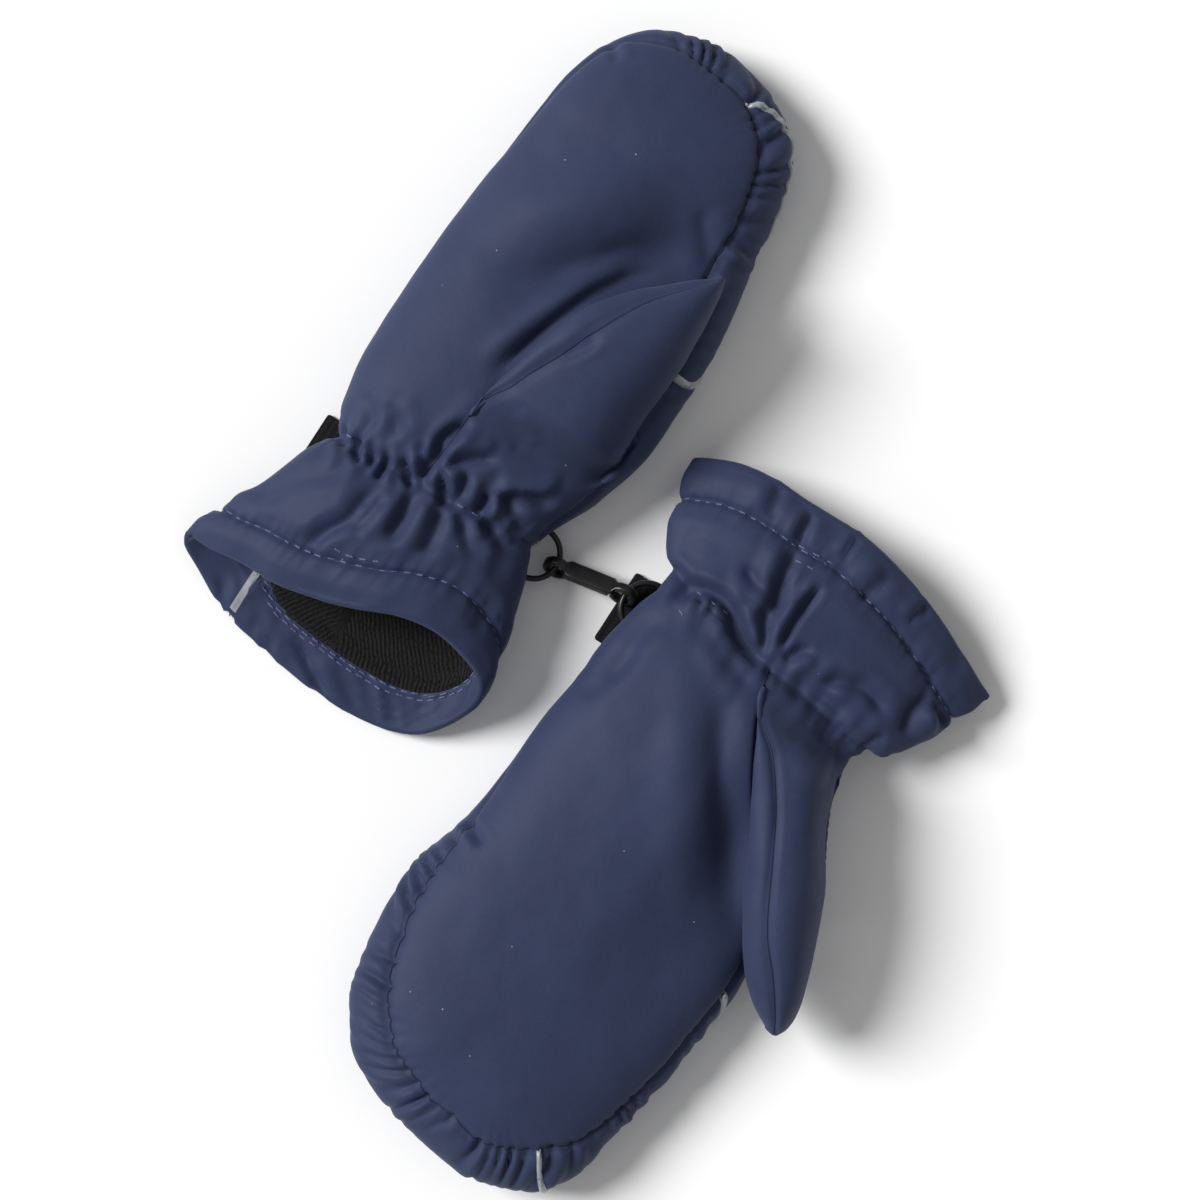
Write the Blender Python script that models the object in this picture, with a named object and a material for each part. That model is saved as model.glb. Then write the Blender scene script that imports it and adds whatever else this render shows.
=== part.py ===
"""A pair of padded children's ski mittens, palms up, clipped together at the wrists.

Sizes are millimetres on the surface that the pair lies on: x runs across the pair, and reach runs
from the pair's middle line towards the finger tips of each mitten. The first mitten's fingers
point along +y and the second's along -y. The cloth is one skin of points, shared out among the
pieces that are sewn, each of which becomes a padded wall inside its share of the skin.
"""

import math
from collections import namedtuple

import bmesh
import bpy
from mathutils import Matrix, Vector, kdtree

MM = 0.001
WALL = 3.4            # shell cloth, wadding and fleece together
SEAM_WALL = 1.0       # where the wadding is sewn down at a seam
THUMB_WALL = 2.8
LINING_WALL = 1.3
LINING_GAP = 0.6
SEAM_TAPER = 0.4      # how fast the wall thickens away from a seam
STRIP_WALL = 2.4      # the gathered strip round the palm
LEAF_WALL = 0.45      # the leaf's wall along its seams
LEAF_GAP = 1.0        # between the palm's edge and the thumb's leaf above it
SEAM_GAPS = {"palm": 0.3, "thumb_leaf": 0.4, "thumb_side": 0.3}      # set back from its seams
SEAM_GAP = 0.3        # between two pieces at a seam
REST_GAP = 1.0        # between the thumb and the palm it lies on
PIPING_WIDTH = 2.6
HEM_BAND = 14.0       # from the cuff's edge to its stitch line
HEM_ROLL = 0.8        # how far the rolled edge stands proud
HEM_GROOVE = 0.9      # how deep the stitch line lies
TIP_REACH = 125.0     # where the straight hand ends and the rounded tip begins
FLAT_SHARE = 0.6      # part of the half width that lies flat on the surface
UNDER_POWER = 2.6     # how square the lower edge of the hand is
CROWN_POWER = 2.2     # how square its upper side is
THUMB_POWER = 2.15    # how square the thumb's section is
WALL_SHARE = 0.25     # the thumb's wall against its thickness, where it is thin
LEFT_SHARE = 0.42     # how high the thumb's inner edge stands between the palm and its top
FAN_COLUMNS = 52      # columns round the tip, three to a gather
GATHER_DEPTH = 1.25
STRAP_LIFT = 0.3      # under the strap, where it lies on the surface
STRAP_THICK = 1.4
STRAP_CORNER = 1.0
RING_RADIUS = 8.2     # to the middle of the wire
WIRE_RADIUS = 0.95
RING_STEPS = 24
WIRE_STEPS = 6
LOOP_WIDTH = 6.0
LOOP_REACH = 2.3      # room in the loop for the ring's bend
LOOP_WALL = 0.9
LOOP_ROOM = 0.95      # above and below the wire
RIGHT_RING = Vector((-25.0, 6.0, 4.7))
LEFT_RING = Vector((14.5, 10.5, 5.2))
LEFT_TILT = 7.0       # degrees, its far side down
CLIP_EYE = Vector((-16.45, 6.0, 4.8))      # the middle of the eye's hole
CLIP_HOOK = Vector((5.8, 10.3, 6.5))        # the middle of the hook's hole
CLIP_SPAN = (CLIP_HOOK - CLIP_EYE).length
CLIP_LEAN = math.radians(60.0)             # how steeply the flat clip stands on its edge
CLIP_THICK = 3.0
CLIP_HALF = 2.8       # half its width between the eye and the hook
CLIP_MOUTH = 0.5      # between the tongue's end and the hook's tip
EYE_OUTER = 4.5
EYE_HOLE = 2.6
HOOK_OUTER = 4.8
HOOK_HOLE = 2.7
SPINE_EDGE = 0.5      # from the middle line to the spine
TONGUE_EDGE = 0.9     # from the middle line to the tongue
SHIFT = Vector((-1.0, -0.6, 0.0))  # brings the middle of the pair over the origin

NAVY = (0.036, 0.050, 0.094)
NAVY_BACK = (0.032, 0.045, 0.086)
FLEECE = (0.008, 0.008, 0.009)
REFLECTIVE = (0.42, 0.44, 0.46)
WEBBING = (0.010, 0.011, 0.014)
PLASTIC = (0.012, 0.012, 0.013)

Section = namedtuple(
    "Section",
    "reach left_x left_reach right_x right_reach mid_x left_z right_z crown dip floor "
    "left_inset right_inset",
)
Edge = namedtuple("Edge", "x reach inset")
Mouth = namedtuple("Mouth", "turn x reach z")
Thumb = namedtuple("Thumb", "reach left right ridge top right_z low")
Fold = namedtuple("Fold", "x0 reach0 x1 reach1 depth width")
Mitten = namedtuple(
    "Mitten",
    "name facing sections belly tip mouth mouth_sides thumb thumb_tip crotch slant fine coarse "
    "free folds crescent cuff_line",
)

# ---- The first mitten ------------------------------------------------------------------------
A_SECTIONS = (
    Section(4, -98.8, 3, -24.5, 6, -66.5, 16, 15, 31.0, 0, 8.0, 0.0, 0.0),
    Section(14, -101.6, 13, -22.8, 15, -65.3, 15, 14, 33.5, 0.5, 6.5, 0.0, 1.0),
    Section(30, -104.5, 30, -16.3, 30, -64.0, 14, 13, 36.0, 2.5, 0.0, 0.0, 2.5),
    Section(50, -105.0, 50, -11.2, 50, -63.0, 13.5, 12, 35.5, 5.5, 0.0, 0.0, 6.5),
    Section(75, -104.0, 75, -10.4, 75, -61.5, 13, 12, 34.5, 7.0, 0.0, 0.0, 8.0),
    Section(100, -101.9, 100, -12.4, 100, -60.5, 13, 12, 33.0, 5.0, 0.0, 0.0, 12.5),
    Section(125, -100.2, 125, -17.1, 125, -60.0, 13, 12.5, 31.0, 0, 0.0, 0.5, 9.5),
)
A_BELLY = Section(-14, -105.0, -14, -18.5, -15, -69.0, 15, 15, 32.5, 0, 6.0, 0.0, 0.0)
A_TIP = (
    Edge(-100.2, 125, 0.5), Edge(-99.5, 132, 0.8), Edge(-97.5, 141, 1.0), Edge(-94, 151, 1.2),
    Edge(-89, 159, 2.0), Edge(-82.5, 165, 4.0), Edge(-73, 169, 5.5), Edge(-62, 171, 8.0),
    Edge(-51, 170, 8.5), Edge(-41, 166.5, 8.0), Edge(-32, 162, 9.5), Edge(-25.5, 156.5, 10.5),
    Edge(-21, 149, 11.0), Edge(-18.5, 139, 10.5), Edge(-17.3, 130, 9.8), Edge(-17.1, 125, 9.5),
)
A_MOUTH = (
    Mouth(0, -70.5, -41.3, 28), Mouth(18, -62, -38, 30), Mouth(36, -50, -32.5, 32),
    Mouth(54, -38, -30, 31), Mouth(70, -27, -31.5, 27), Mouth(82, -18, -35, 22),
    Mouth(95, -13.5, -41, 17), Mouth(110, -15.5, -49.5, 11), Mouth(128, -22.5, -59.5, 5),
    Mouth(145, -33, -65, 1.2), Mouth(165, -50, -67.5, 0), Mouth(185, -66, -67, 0),
    Mouth(205, -82, -65, 0), Mouth(228, -98, -61.5, 0), Mouth(248, -112, -54.5, 2.0),
    Mouth(264, -119.2, -50.5, 6), Mouth(275, -120, -47.5, 9.5), Mouth(290, -112, -47.5, 14),
    Mouth(310, -101, -46, 18), Mouth(335, -86, -45, 23.5),
)
A_THUMB = (
    Thumb(30, -64, -16.3, -64, 36, 13, 0), Thumb(40, -63.3, -16.2, -60, 42.5, 17, 0),
    Thumb(50, -62, -17, -56, 44, 21, 0), Thumb(61, -60, -18, -50.5, 46, 25, 0),
    Thumb(72, -55, -17.3, -46, 47, 29, 0), Thumb(82, -48, -17, -41.5, 47, 31, 24),
    Thumb(93, -40, -17.5, -35.5, 45.5, 32, 26),
    Thumb(103, -30, -18.8, -27.5, 42, 33, 29),
    Thumb(108, -24, -20, -23, 38.5, 34.5, 32),
)
A_FOLDS = (
    Fold(-97, -8, -96, 14, 1.6, 2.2), Fold(-89, -7, -90, 16, 1.8, 2.2),
    Fold(-83, -10, -82, 17, 1.8, 2.2), Fold(-77, -9, -76, 14, 2.0, 2.4),
    Fold(-71, -6, -70, 19, 1.8, 2.2), Fold(-65, -12, -64, 21, 2.6, 2.6),
    Fold(-56, -8, -57, 15, 1.6, 2.4), Fold(-48, -11, -47, 16, 2.2, 2.6),
    Fold(-40, -9, -40, 14, 1.8, 2.4), Fold(-32, -7, -31, 14, 1.6, 2.4),
    Fold(-80, -3, -87, -31, 2.0, 3.0), Fold(-64, 31, -42, 35, 1.6, 3.0),
    Fold(-53, -8, -56, -20, 1.4, 3.0), Fold(-30, -12, -26, -26, 1.4, 3.2),
)
A_CRESCENT = (
    (-33.0, 178.0), (-31.6, 168.0), (-29.5, 161.5), (-24.6, 156.2), (-20.6, 148.5),
    (-19.2, 140.0), (-20.5, 128.0), (-22.0, 116.0), (-20.5, 102.0), (-16.5, 90.0),
    (-11.0, 80.0), (-3.0, 76.0), (6.0, 76.0),
)
A_CUFF_LINE = (
    (-95.5, -80.0), (-95.5, -66.0), (-92.0, -52.0), (-82.0, -34.0), (-66.0, -17.0),
    (-46.0, -3.0), (-30.0, 5.5), (-14.0, 11.0), (4.0, 15.0),
)

# ---- The second mitten -----------------------------------------------------------------------
B_SECTIONS = (
    Section(-16, 13.5, -22.5, 94.3, -7, 57.0, 15.5, 15, 28.5, 0, 9.2, 0.0, 0.0),
    Section(-11, 12.3, -15, 94.2, -2.5, 57.8, 15.5, 15, 30.8, 0, 9.2, 0.0, 0.0),
    Section(0, 9.9, -2, 95.0, 4, 58.0, 14, 13.5, 34.0, 1.0, 5.0, 0.0, 0.5),
    Section(15, 8.3, 14, 97.0, 17, 57.5, 13, 12, 35.5, 3.0, 0.0, 0.0, 2.0),
    Section(35, 5.2, 35, 99.6, 35, 56.5, 13, 12, 35.0, 5.5, 0.0, 0.0, 3.0),
    Section(55, 4.4, 55, 102.0, 55, 55.0, 13, 12, 34.0, 5.0, 0.0, 0.0, 2.0),
    Section(75, 2.6, 75, 104.0, 75, 53.0, 13, 12, 33.0, 3.0, 0.0, 1.5, 2.8),
    Section(95, -3.0, 95, 102.1, 95, 51.0, 13, 12, 32.0, 1.0, 0.0, 5.5, 3.0),
    Section(110, -3.4, 110, 100.4, 110, 50.0, 13, 12, 31.0, 0, 0.0, 7.0, 3.0),
    Section(125, -1.9, 125, 98.1, 125, 50.0, 13, 12, 30.0, 0, 0.0, 9.5, 4.3),
)
B_BELLY = Section(-31, 7.3, -31, 106.0, -16.5, 57.0, 14, 13, 27.0, 0, 7.0, 0.0, 0.0)
B_TIP = (
    Edge(-1.9, 125, 9.5), Edge(-0.5, 133, 10.8), Edge(2, 142, 12.5), Edge(7, 150, 13.5),
    Edge(12, 156.5, 14.0), Edge(20, 161, 14.0), Edge(28, 164, 13.5), Edge(38, 167, 12.5),
    Edge(50, 169, 13.5), Edge(62, 170, 13.0), Edge(72, 168.5, 13.5), Edge(79.5, 165.3, 14.0),
    Edge(86.5, 161, 14.0), Edge(91, 154.5, 12.5), Edge(94, 147, 9.0), Edge(95.2, 139, 6.0),
    Edge(96.8, 131, 4.5), Edge(98.1, 125, 4.3),
)
B_MOUTH = (
    Mouth(0, 57, -65.8, 23), Mouth(20, 70, -63.8, 22.5), Mouth(40, 85, -60, 20),
    Mouth(60, 100, -54.3, 16), Mouth(75, 113, -48.5, 12), Mouth(88, 121.5, -45, 7.5),
    Mouth(100, 118, -45, 3.6), Mouth(120, 105, -50, 0.8), Mouth(140, 90, -55, 0),
    Mouth(160, 72, -59.5, 0), Mouth(180, 57, -61, 0), Mouth(200, 42, -61, 0),
    Mouth(220, 28, -60.5, 0), Mouth(240, 15, -58.5, 1.6), Mouth(255, 4, -57, 5),
    Mouth(268, 0.3, -57.3, 9), Mouth(285, 6, -60.5, 14), Mouth(300, 14, -63.5, 18),
    Mouth(320, 26, -65.3, 21), Mouth(340, 41, -65.3, 22.5),
)
B_THUMB = (
    Thumb(-11, 57.8, 94.2, 57.8, 30, 12, 0), Thumb(-2, 62, 94, 66, 37, 15, 0),
    Thumb(8, 66.8, 96.3, 74, 40, 18, 0), Thumb(20, 72, 102, 82, 41, 20, 0),
    Thumb(31, 77, 108.5, 87.5, 42.5, 22, 0), Thumb(45, 83.8, 114, 94.5, 42.5, 23, 0),
    Thumb(55, 90, 118, 100.5, 41, 23, 15), Thumb(64, 97, 121.3, 108.5, 38.5, 22.5, 14),
    Thumb(71, 103.5, 122.6, 114, 35.5, 22, 14),
    Thumb(76, 110.5, 122.4, 117.5, 32, 21.5, 15.5),
    Thumb(79, 116, 121.3, 119.2, 28, 21.5, 18.5),
)
B_FOLDS = (
    Fold(18, -22, 30, -27, 1.4, 3.0), Fold(30, -27, 46, -18, 1.6, 3.0),
    Fold(46, -18, 57, -16, 1.4, 2.6), Fold(23, -28, 24, -8, 1.2, 2.4),
    Fold(32, -32, 31, -12, 1.4, 2.4), Fold(39, -30, 39, -10, 1.4, 2.4),
    Fold(46, -30, 46, -8, 1.6, 2.6), Fold(61, -28, 60, -15, 1.8, 2.4),
    Fold(68, -26, 67, -4, 1.6, 2.4), Fold(75, -27, 76, -2, 1.8, 2.6),
    Fold(83, -28, 82, 2, 1.6, 2.4), Fold(90, -24, 90, 4, 1.4, 2.4),
    Fold(43, -40, 48, -33, 1.6, 3.0), Fold(41, -60, 41, -50, 1.2, 2.8),
    Fold(47, -49, 55, -36, 1.6, 3.0), Fold(100, -42, 101, -22, 1.8, 3.2),
)
B_CRESCENT = (
    (114.0, 172.5), (104.5, 171.8), (98.5, 170.0), (92.5, 166.0), (87.6, 160.0), (87.5, 150.0),
    (89.5, 140.0), (91.5, 128.0), (94.0, 115.0), (97.5, 101.0), (102.0, 89.0), (109.0, 80.0),
    (120.0, 74.0),
)
B_CUFF_LINE = (
    (19.0, -80.0), (19.0, -60.0), (24.0, -46.0), (38.0, -32.0), (60.0, -20.0),
    (82.0, -12.0), (100.0, -6.0), (116.0, 0.0),
)

MITTENS = (
    Mitten(
        "right", 1, A_SECTIONS, A_BELLY, A_TIP, A_MOUTH, (95, 270), A_THUMB,
        Vector((-21.5, 109.6, 35.0)), 72, 1.9, (4, 8.5, 13, 18, 23.5, 30), (40, 50, 61, 72, 84, 97, 111),
        (78, 84, 90, 95.5, 100, 104, 107.5), A_FOLDS, A_CRESCENT, A_CUFF_LINE,
    ),
    Mitten(
        "left", -1, B_SECTIONS, B_BELLY, B_TIP, B_MOUTH, (88, 268), B_THUMB,
        Vector((119.4, 80.2, 21.8)), 45, 1.35, (-16, -13.5, -11), (-4, 4, 14, 24, 34, 45, 60, 76, 92, 108),
        (51, 57, 63, 68, 72.5, 76, 78.7), B_FOLDS, B_CRESCENT, B_CUFF_LINE,
    ),
)

FINE_ROWS = {"top": 12, "strip": 3, "under": 8, "flat": 4}
COARSE_ROWS = {"top": 4, "strip": 3, "under": 4, "flat": 1}
LEAF_ROWS = 5
THUMB_SIDE_ROWS = 6
HEM_STEPS = (0.0, 2.5, 8.0, 12.6, HEM_BAND, 15.4, 20.0)
CUFF_STEPS = 4        # stations between the hem and the elastic
CURVE_SAMPLES = 60


# ---- Curves ----------------------------------------------------------------------------------
def hermite(before, start, end, after, share, spans):
    """A value between start and end on a smooth curve through its neighbours."""
    lead, span, trail = spans
    out = (end - before) / (lead + span) * span
    into = (after - start) / (span + trail) * span
    s2, s3 = share * share, share * share * share
    return (
        start * (2 * s3 - 3 * s2 + 1) + out * (s3 - 2 * s2 + share)
        + end * (3 * s2 - 2 * s3) + into * (s3 - s2)
    )


def smooth_row(rows, key):
    """The table's columns at a key between two rows, as a smooth curve through the rows."""
    keys = [row[0] for row in rows]
    key = min(max(key, keys[0]), keys[-1])
    at = max(i for i in range(len(rows) - 1) if keys[i] <= key + 1e-9)
    lead, trail = max(at - 1, 0), min(at + 2, len(rows) - 1)
    span = keys[at + 1] - keys[at]
    spans = (max(keys[at] - keys[lead], 1e-9), span, max(keys[trail] - keys[at + 1], 1e-9))
    share = (key - keys[at]) / span
    values = [
        hermite(rows[lead][c], rows[at][c], rows[at + 1][c], rows[trail][c], share, spans)
        for c in range(len(rows[0]))
    ]
    return type(rows[0])(*values)


def resample(points, cells):
    """Points evenly spaced along a line of many points."""
    lengths = [0.0]
    for a, b in zip(points, points[1:]):
        lengths.append(lengths[-1] + (b - a).length)
    if lengths[-1] < 1e-6:
        return [points[0].copy() for _ in range(cells + 1)]
    found, at = [], 0
    for step in range(cells + 1):
        want = lengths[-1] * step / cells
        while at < len(points) - 2 and lengths[at + 1] < want:
            at += 1
        span = max(lengths[at + 1] - lengths[at], 1e-9)
        found.append(points[at].lerp(points[at + 1], min((want - lengths[at]) / span, 1.0)))
    return found


def smooth_path(points, cells):
    """Evenly spaced points on a smooth curve through a few points."""
    lengths = [0.0]
    for a, b in zip(points, points[1:]):
        lengths.append(lengths[-1] + math.dist(a, b))
    rows = [(length, *point) for length, point in zip(lengths, points)]
    table = [namedtuple("Way", "s x y z")(*(tuple(row) + (0.0,))[:4]) for row in rows]
    dense = [smooth_row(table, lengths[-1] * i / (cells * 4)) for i in range(cells * 4 + 1)]
    return resample([Vector((row.x, row.y, row.z)) for row in dense], cells)


# ---- The hand's section ----------------------------------------------------------------------
def half_section(mid, edge, mid_top, floor, dip, inset, rows):
    """Half a hand's section, from the middle of the palm over the edge to the middle of the back.

    It comes in four stretches: top, up to the palm's seam; strip, from there to the outline;
    under, down to where it lies flat; and flat, to the middle of the back.
    """
    out = Vector((edge.x - mid.x, edge.y - mid.y, 0.0))
    width = out.length
    seam_share = min(max(1.0 - inset / width, 0.0), 1.0)

    def over(turn):
        share = math.sin(turn) ** (2 / CROWN_POWER)
        height = edge.z + (mid_top - edge.z) * max(math.cos(turn), 0.0) ** (2 / CROWN_POWER)
        height -= dip * math.sin(math.pi * share) ** 2
        return Vector((mid.x + out.x * share, mid.y + out.y * share, height))

    def beneath(turn):
        share = FLAT_SHARE + (1 - FLAT_SHARE) * max(math.cos(turn), 0.0) ** (2 / UNDER_POWER)
        height = floor + (edge.z - floor) * (1 - math.sin(turn) ** (2 / UNDER_POWER))
        return Vector((mid.x + out.x * share, mid.y + out.y * share, height))

    seam_turn = math.asin(seam_share ** (CROWN_POWER / 2))
    turns = [i / CURVE_SAMPLES for i in range(CURVE_SAMPLES + 1)]
    top = [over(seam_turn * t) for t in turns]
    strip = [over(seam_turn + (math.pi / 2 - seam_turn) * t) for t in turns]
    strip[-1] = edge.copy()
    if inset <= 0:
        top[-1] = edge.copy()
        strip = [edge.copy() for _ in turns]
    floor = max(floor, 0.0)
    under = [beneath(math.pi / 2 * t) for t in turns]
    flat = [under[-1], Vector((mid.x, mid.y, floor))]
    return {
        "top": resample(top, rows["top"]), "strip": resample(strip, rows["strip"]),
        "under": resample(under, rows["under"]), "flat": resample(flat, rows["flat"]),
    }


def section_sides(section, rows):
    """Both halves of the hand's section at one station."""
    mid = Vector((section.mid_x, section.reach, 0.0))
    left = Vector((section.left_x, section.left_reach, section.left_z))
    right = Vector((section.right_x, section.right_reach, section.right_z))
    return (
        half_section(mid, left, section.crown, section.floor, 0.0, section.left_inset, rows),
        half_section(
            mid, right, section.crown, section.floor, section.dip, section.right_inset, rows
        ),
    )


def mouth_sides(mitten, rows):
    """Both halves of the cuff's open edge, in the same stretches as a hand's section."""
    table = list(mitten.mouth) + [mitten.mouth[0]._replace(turn=360)]
    right_turn, left_turn = mitten.mouth_sides

    def arc(first, last):
        turns = [first + (last - first) * i / CURVE_SAMPLES for i in range(CURVE_SAMPLES + 1)]
        found = [smooth_row(table, turn) for turn in turns]
        return [Vector((p.x, p.reach, max(p.z, 0.0))) for p in found]

    halves = []
    for side, top in ((left_turn, 360), (right_turn, 0)):
        lower = resample(arc(side, 180), rows["under"] + rows["flat"])
        edge = lower[0]
        halves.append({
            "top": resample(arc(top, side), rows["top"]),
            "strip": [edge.copy() for _ in range(rows["strip"] + 1)],
            "under": lower[: rows["under"] + 1], "flat": lower[rows["under"]:],
        })
    return halves


# ---- The skin and its pieces -----------------------------------------------------------------
class Skin:
    """The points of one mitten's cloth, welded where they meet, and the faces of each piece."""

    def __init__(self, facing):
        self.facing = facing
        self.base, self.lift, self.pattern, self.wall = [], [], [], []
        self.index = {}
        self.pieces = {}
        self.rim = set()

    def point(self, base, lift=0.0, pattern=None, layer="", wall=WALL):
        key = (round(base.x, 3), round(base.y, 3), round(base.z, 3), layer)
        if key not in self.index:
            self.index[key] = len(self.base)
            self.base.append(base.copy())
            self.lift.append(lift)
            self.pattern.append(pattern)
            self.wall.append(wall)
        found = self.index[key]
        if pattern is not None:
            self.pattern[found] = pattern
        return found

    def face(self, piece, corners):
        kept = [c for i, c in enumerate(corners) if c != corners[i - 1]]
        if len(set(kept)) == len(kept) >= 3:
            self.pieces.setdefault(piece, []).append(kept)

    def strip(self, piece, first, second):
        """The faces between two columns, one of which may have more rows than the other."""
        cells = min(len(first), len(second)) - 1
        a_step, b_step = (len(first) - 1) // cells, (len(second) - 1) // cells
        for k in range(cells):
            ahead = second[b_step * k: b_step * (k + 1) + 1]
            back = first[a_step * k + 1: a_step * (k + 1) + 1][::-1]
            self.face(piece, [first[a_step * k]] + ahead + back)

    def cut(self, piece, distance, low, high):
        """Shares a piece's faces out by how far they lie from a line on its pattern."""
        made = {}

        def side(faces, level, names):
            value = {}
            for face in faces:
                for c in face:
                    off = distance(self.pattern[c]) - level
                    value[c] = 0.0 if abs(off) < 0.3 else off
            for face in faces:
                parts = {1: [], -1: []}
                for i, c in enumerate(face):
                    nxt = face[(i + 1) % len(face)]
                    for sign in parts:
                        if value[c] * sign >= 0:
                            parts[sign].append(c)
                    if value[c] * value[nxt] < 0:
                        key = (min(c, nxt), max(c, nxt), level)
                        if key not in made:
                            share = value[key[0]] / (value[key[0]] - value[key[1]])
                            made[key] = self.between(key[0], key[1], share)
                        parts[1].append(made[key])
                        parts[-1].append(made[key])
                for sign, name in names.items():
                    inside = any(value.get(c, 0.0) * sign > 0 for c in parts[sign])
                    if inside:
                        self.face(name, parts[sign])

        faces = self.pieces.pop(piece)
        side(faces, -PIPING_WIDTH / 2, {-1: low, 1: "rest"})
        side(self.pieces.pop("rest"), PIPING_WIDTH / 2, {-1: "piping", 1: high})
        return self.pieces.pop("piping")

    def between(self, a, b, share):
        pattern = tuple(
            p + (q - p) * share for p, q in zip(self.pattern[a], self.pattern[b])
        )
        lift = self.lift[a] + (self.lift[b] - self.lift[a]) * share
        return self.point(self.base[a].lerp(self.base[b], share), lift, pattern, "cut")

    def placed(self, point):
        return Vector((point.x, point.y * self.facing, point.z))

    def find_rim(self):
        """The edges that no other piece joins: the hem's free edge."""
        seen, twice = set(), set()
        for faces in self.pieces.values():
            for face in faces:
                for i, c in enumerate(face):
                    edge = frozenset((c, face[(i + 1) % len(face)]))
                    (twice if edge in seen else seen).add(edge)
        self.rim = seen - twice

    def normals(self, faces):
        total = {}
        for face in faces:
            points = [self.base[c] for c in face]
            middle = sum(points, Vector()) / len(points)
            area = Vector()
            for p, q in zip(points, points[1:] + points[:1]):
                area += (p - middle).cross(q - middle)
            for c in face:
                total[c] = total.get(c, Vector()) + area
        return {c: n.normalized() for c, n in total.items()}


def wall_object(
    skin, name, faces, normals, colour, roughness, outer=0.0, wall=None, gap=SEAM_GAP / 2,
    seam_wall=SEAM_WALL
):
    """A closed wall over a piece's faces, set back from its seams.

    Without a wall of its own it takes each point's, thinner along the seams.
    """
    edges = {}
    for face in faces:
        for i, c in enumerate(face):
            edges[(c, face[(i + 1) % len(face)])] = face
    border = [edge for edge in edges if edge[::-1] not in edges]
    inward = {}
    for face in faces:
        middle = sum((skin.base[c] for c in face), Vector()) / len(face)
        for c in face:
            inward[c] = inward.get(c, Vector()) + (middle - skin.base[c])
    on_border = {c for edge in border for c in edge}
    on_seam = {c for edge in border if frozenset(edge) not in skin.rim for c in edge}
    seams = kdtree.KDTree(len(on_seam))
    for c in on_seam:
        seams.insert(skin.base[c], c)
    seams.balance()

    mesh = bmesh.new()
    top, low = {}, {}
    for c in inward:
        normal = normals[c]
        start = skin.base[c]
        if c in on_border:
            along = inward[c] - normal * inward[c].dot(normal)
            start = start + along.normalized() * gap
        lift = skin.lift[c] if outer == 0.0 else 0.0
        high = start + normal * (outer + lift)
        apart = seams.find(start)[2] if on_seam else WALL
        thick = wall or min(skin.wall[c], seam_wall + SEAM_TAPER * max(apart - SEAM_GAP, 0.0))
        deep = start + normal * (outer - thick)
        high.z = max(high.z, 0.0)
        top[c] = mesh.verts.new((skin.placed(high) + SHIFT) * MM)
        low[c] = mesh.verts.new((skin.placed(deep) + SHIFT) * MM)
    turned = skin.facing < 0
    for face in faces:
        order = face[::-1] if turned else face
        mesh.faces.new([top[c] for c in order])
        mesh.faces.new([low[c] for c in reversed(order)])
    for a, b in border:
        if a < b:
            sides = ((top[b], top[a], low[b]), (top[a], low[a], low[b]))
        else:
            sides = ((top[b], top[a], low[a]), (top[b], low[a], low[b]))
        for corner in sides:
            mesh.faces.new(corner[::-1] if turned else corner)
    return make_object(name, mesh, colour, roughness)


def make_object(name, mesh, colour, roughness, metallic=0.0, sharp_angle=50.0):
    data = bpy.data.meshes.new(name)
    mesh.to_mesh(data)
    mesh.free()
    data.shade_smooth()
    data.set_sharp_from_angle(angle=math.radians(sharp_angle))
    body = bpy.data.objects.new(name, data)
    bpy.context.scene.collection.objects.link(body)
    material = bpy.data.materials.new(name)
    material.use_nodes = True
    shader = material.node_tree.nodes["Principled BSDF"]
    shader.inputs["Base Color"].default_value = (*colour, 1.0)
    shader.inputs["Roughness"].default_value = roughness
    shader.inputs["Metallic"].default_value = metallic
    data.materials.append(material)
    return body


# ---- Folds and gathers -----------------------------------------------------------------------
def fold_lift(folds, point):
    """How far the soft troughs of the folds sink the cloth at a point."""
    lift = 0.0
    for fold in folds:
        along = Vector((fold.x1 - fold.x0, fold.reach1 - fold.reach0))
        start = Vector((point.x - fold.x0, point.y - fold.reach0))
        share = start.dot(along) / along.length_squared
        ends = 1.0 - max(abs(share - 0.5) - 0.35, 0.0) / 0.35
        if ends <= 0:
            continue
        off = (start - along * min(max(share, 0.0), 1.0)).length
        lift -= fold.depth * ends * math.exp(-((off / fold.width) ** 2))
    return lift


def hem_lift(distance):
    """The rolled edge of the cuff and the dip of its stitch line."""
    roll = HEM_ROLL * math.exp(-(((distance - 5.5) / 4.0) ** 2))
    return roll - HEM_GROOVE * math.exp(-(((distance - HEM_BAND) / 1.1) ** 2))


# ---- One mitten ------------------------------------------------------------------------------
def line_distance(points):
    """A function that gives how far a point of the pattern lies to the right of a line."""
    path = smooth_path(points, 40)

    def distance(pattern):
        spot = Vector((pattern[0], pattern[1], 0.0))
        best = None
        for a, b in zip(path, path[1:]):
            along = b - a
            share = min(max((spot - a).dot(along) / along.length_squared, 0.0), 1.0)
            off = spot - (a + along * share)
            if best is None or off.length < abs(best):
                best = math.copysign(off.length, along.cross(off).z * -1.0)
        return best

    return distance


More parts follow.
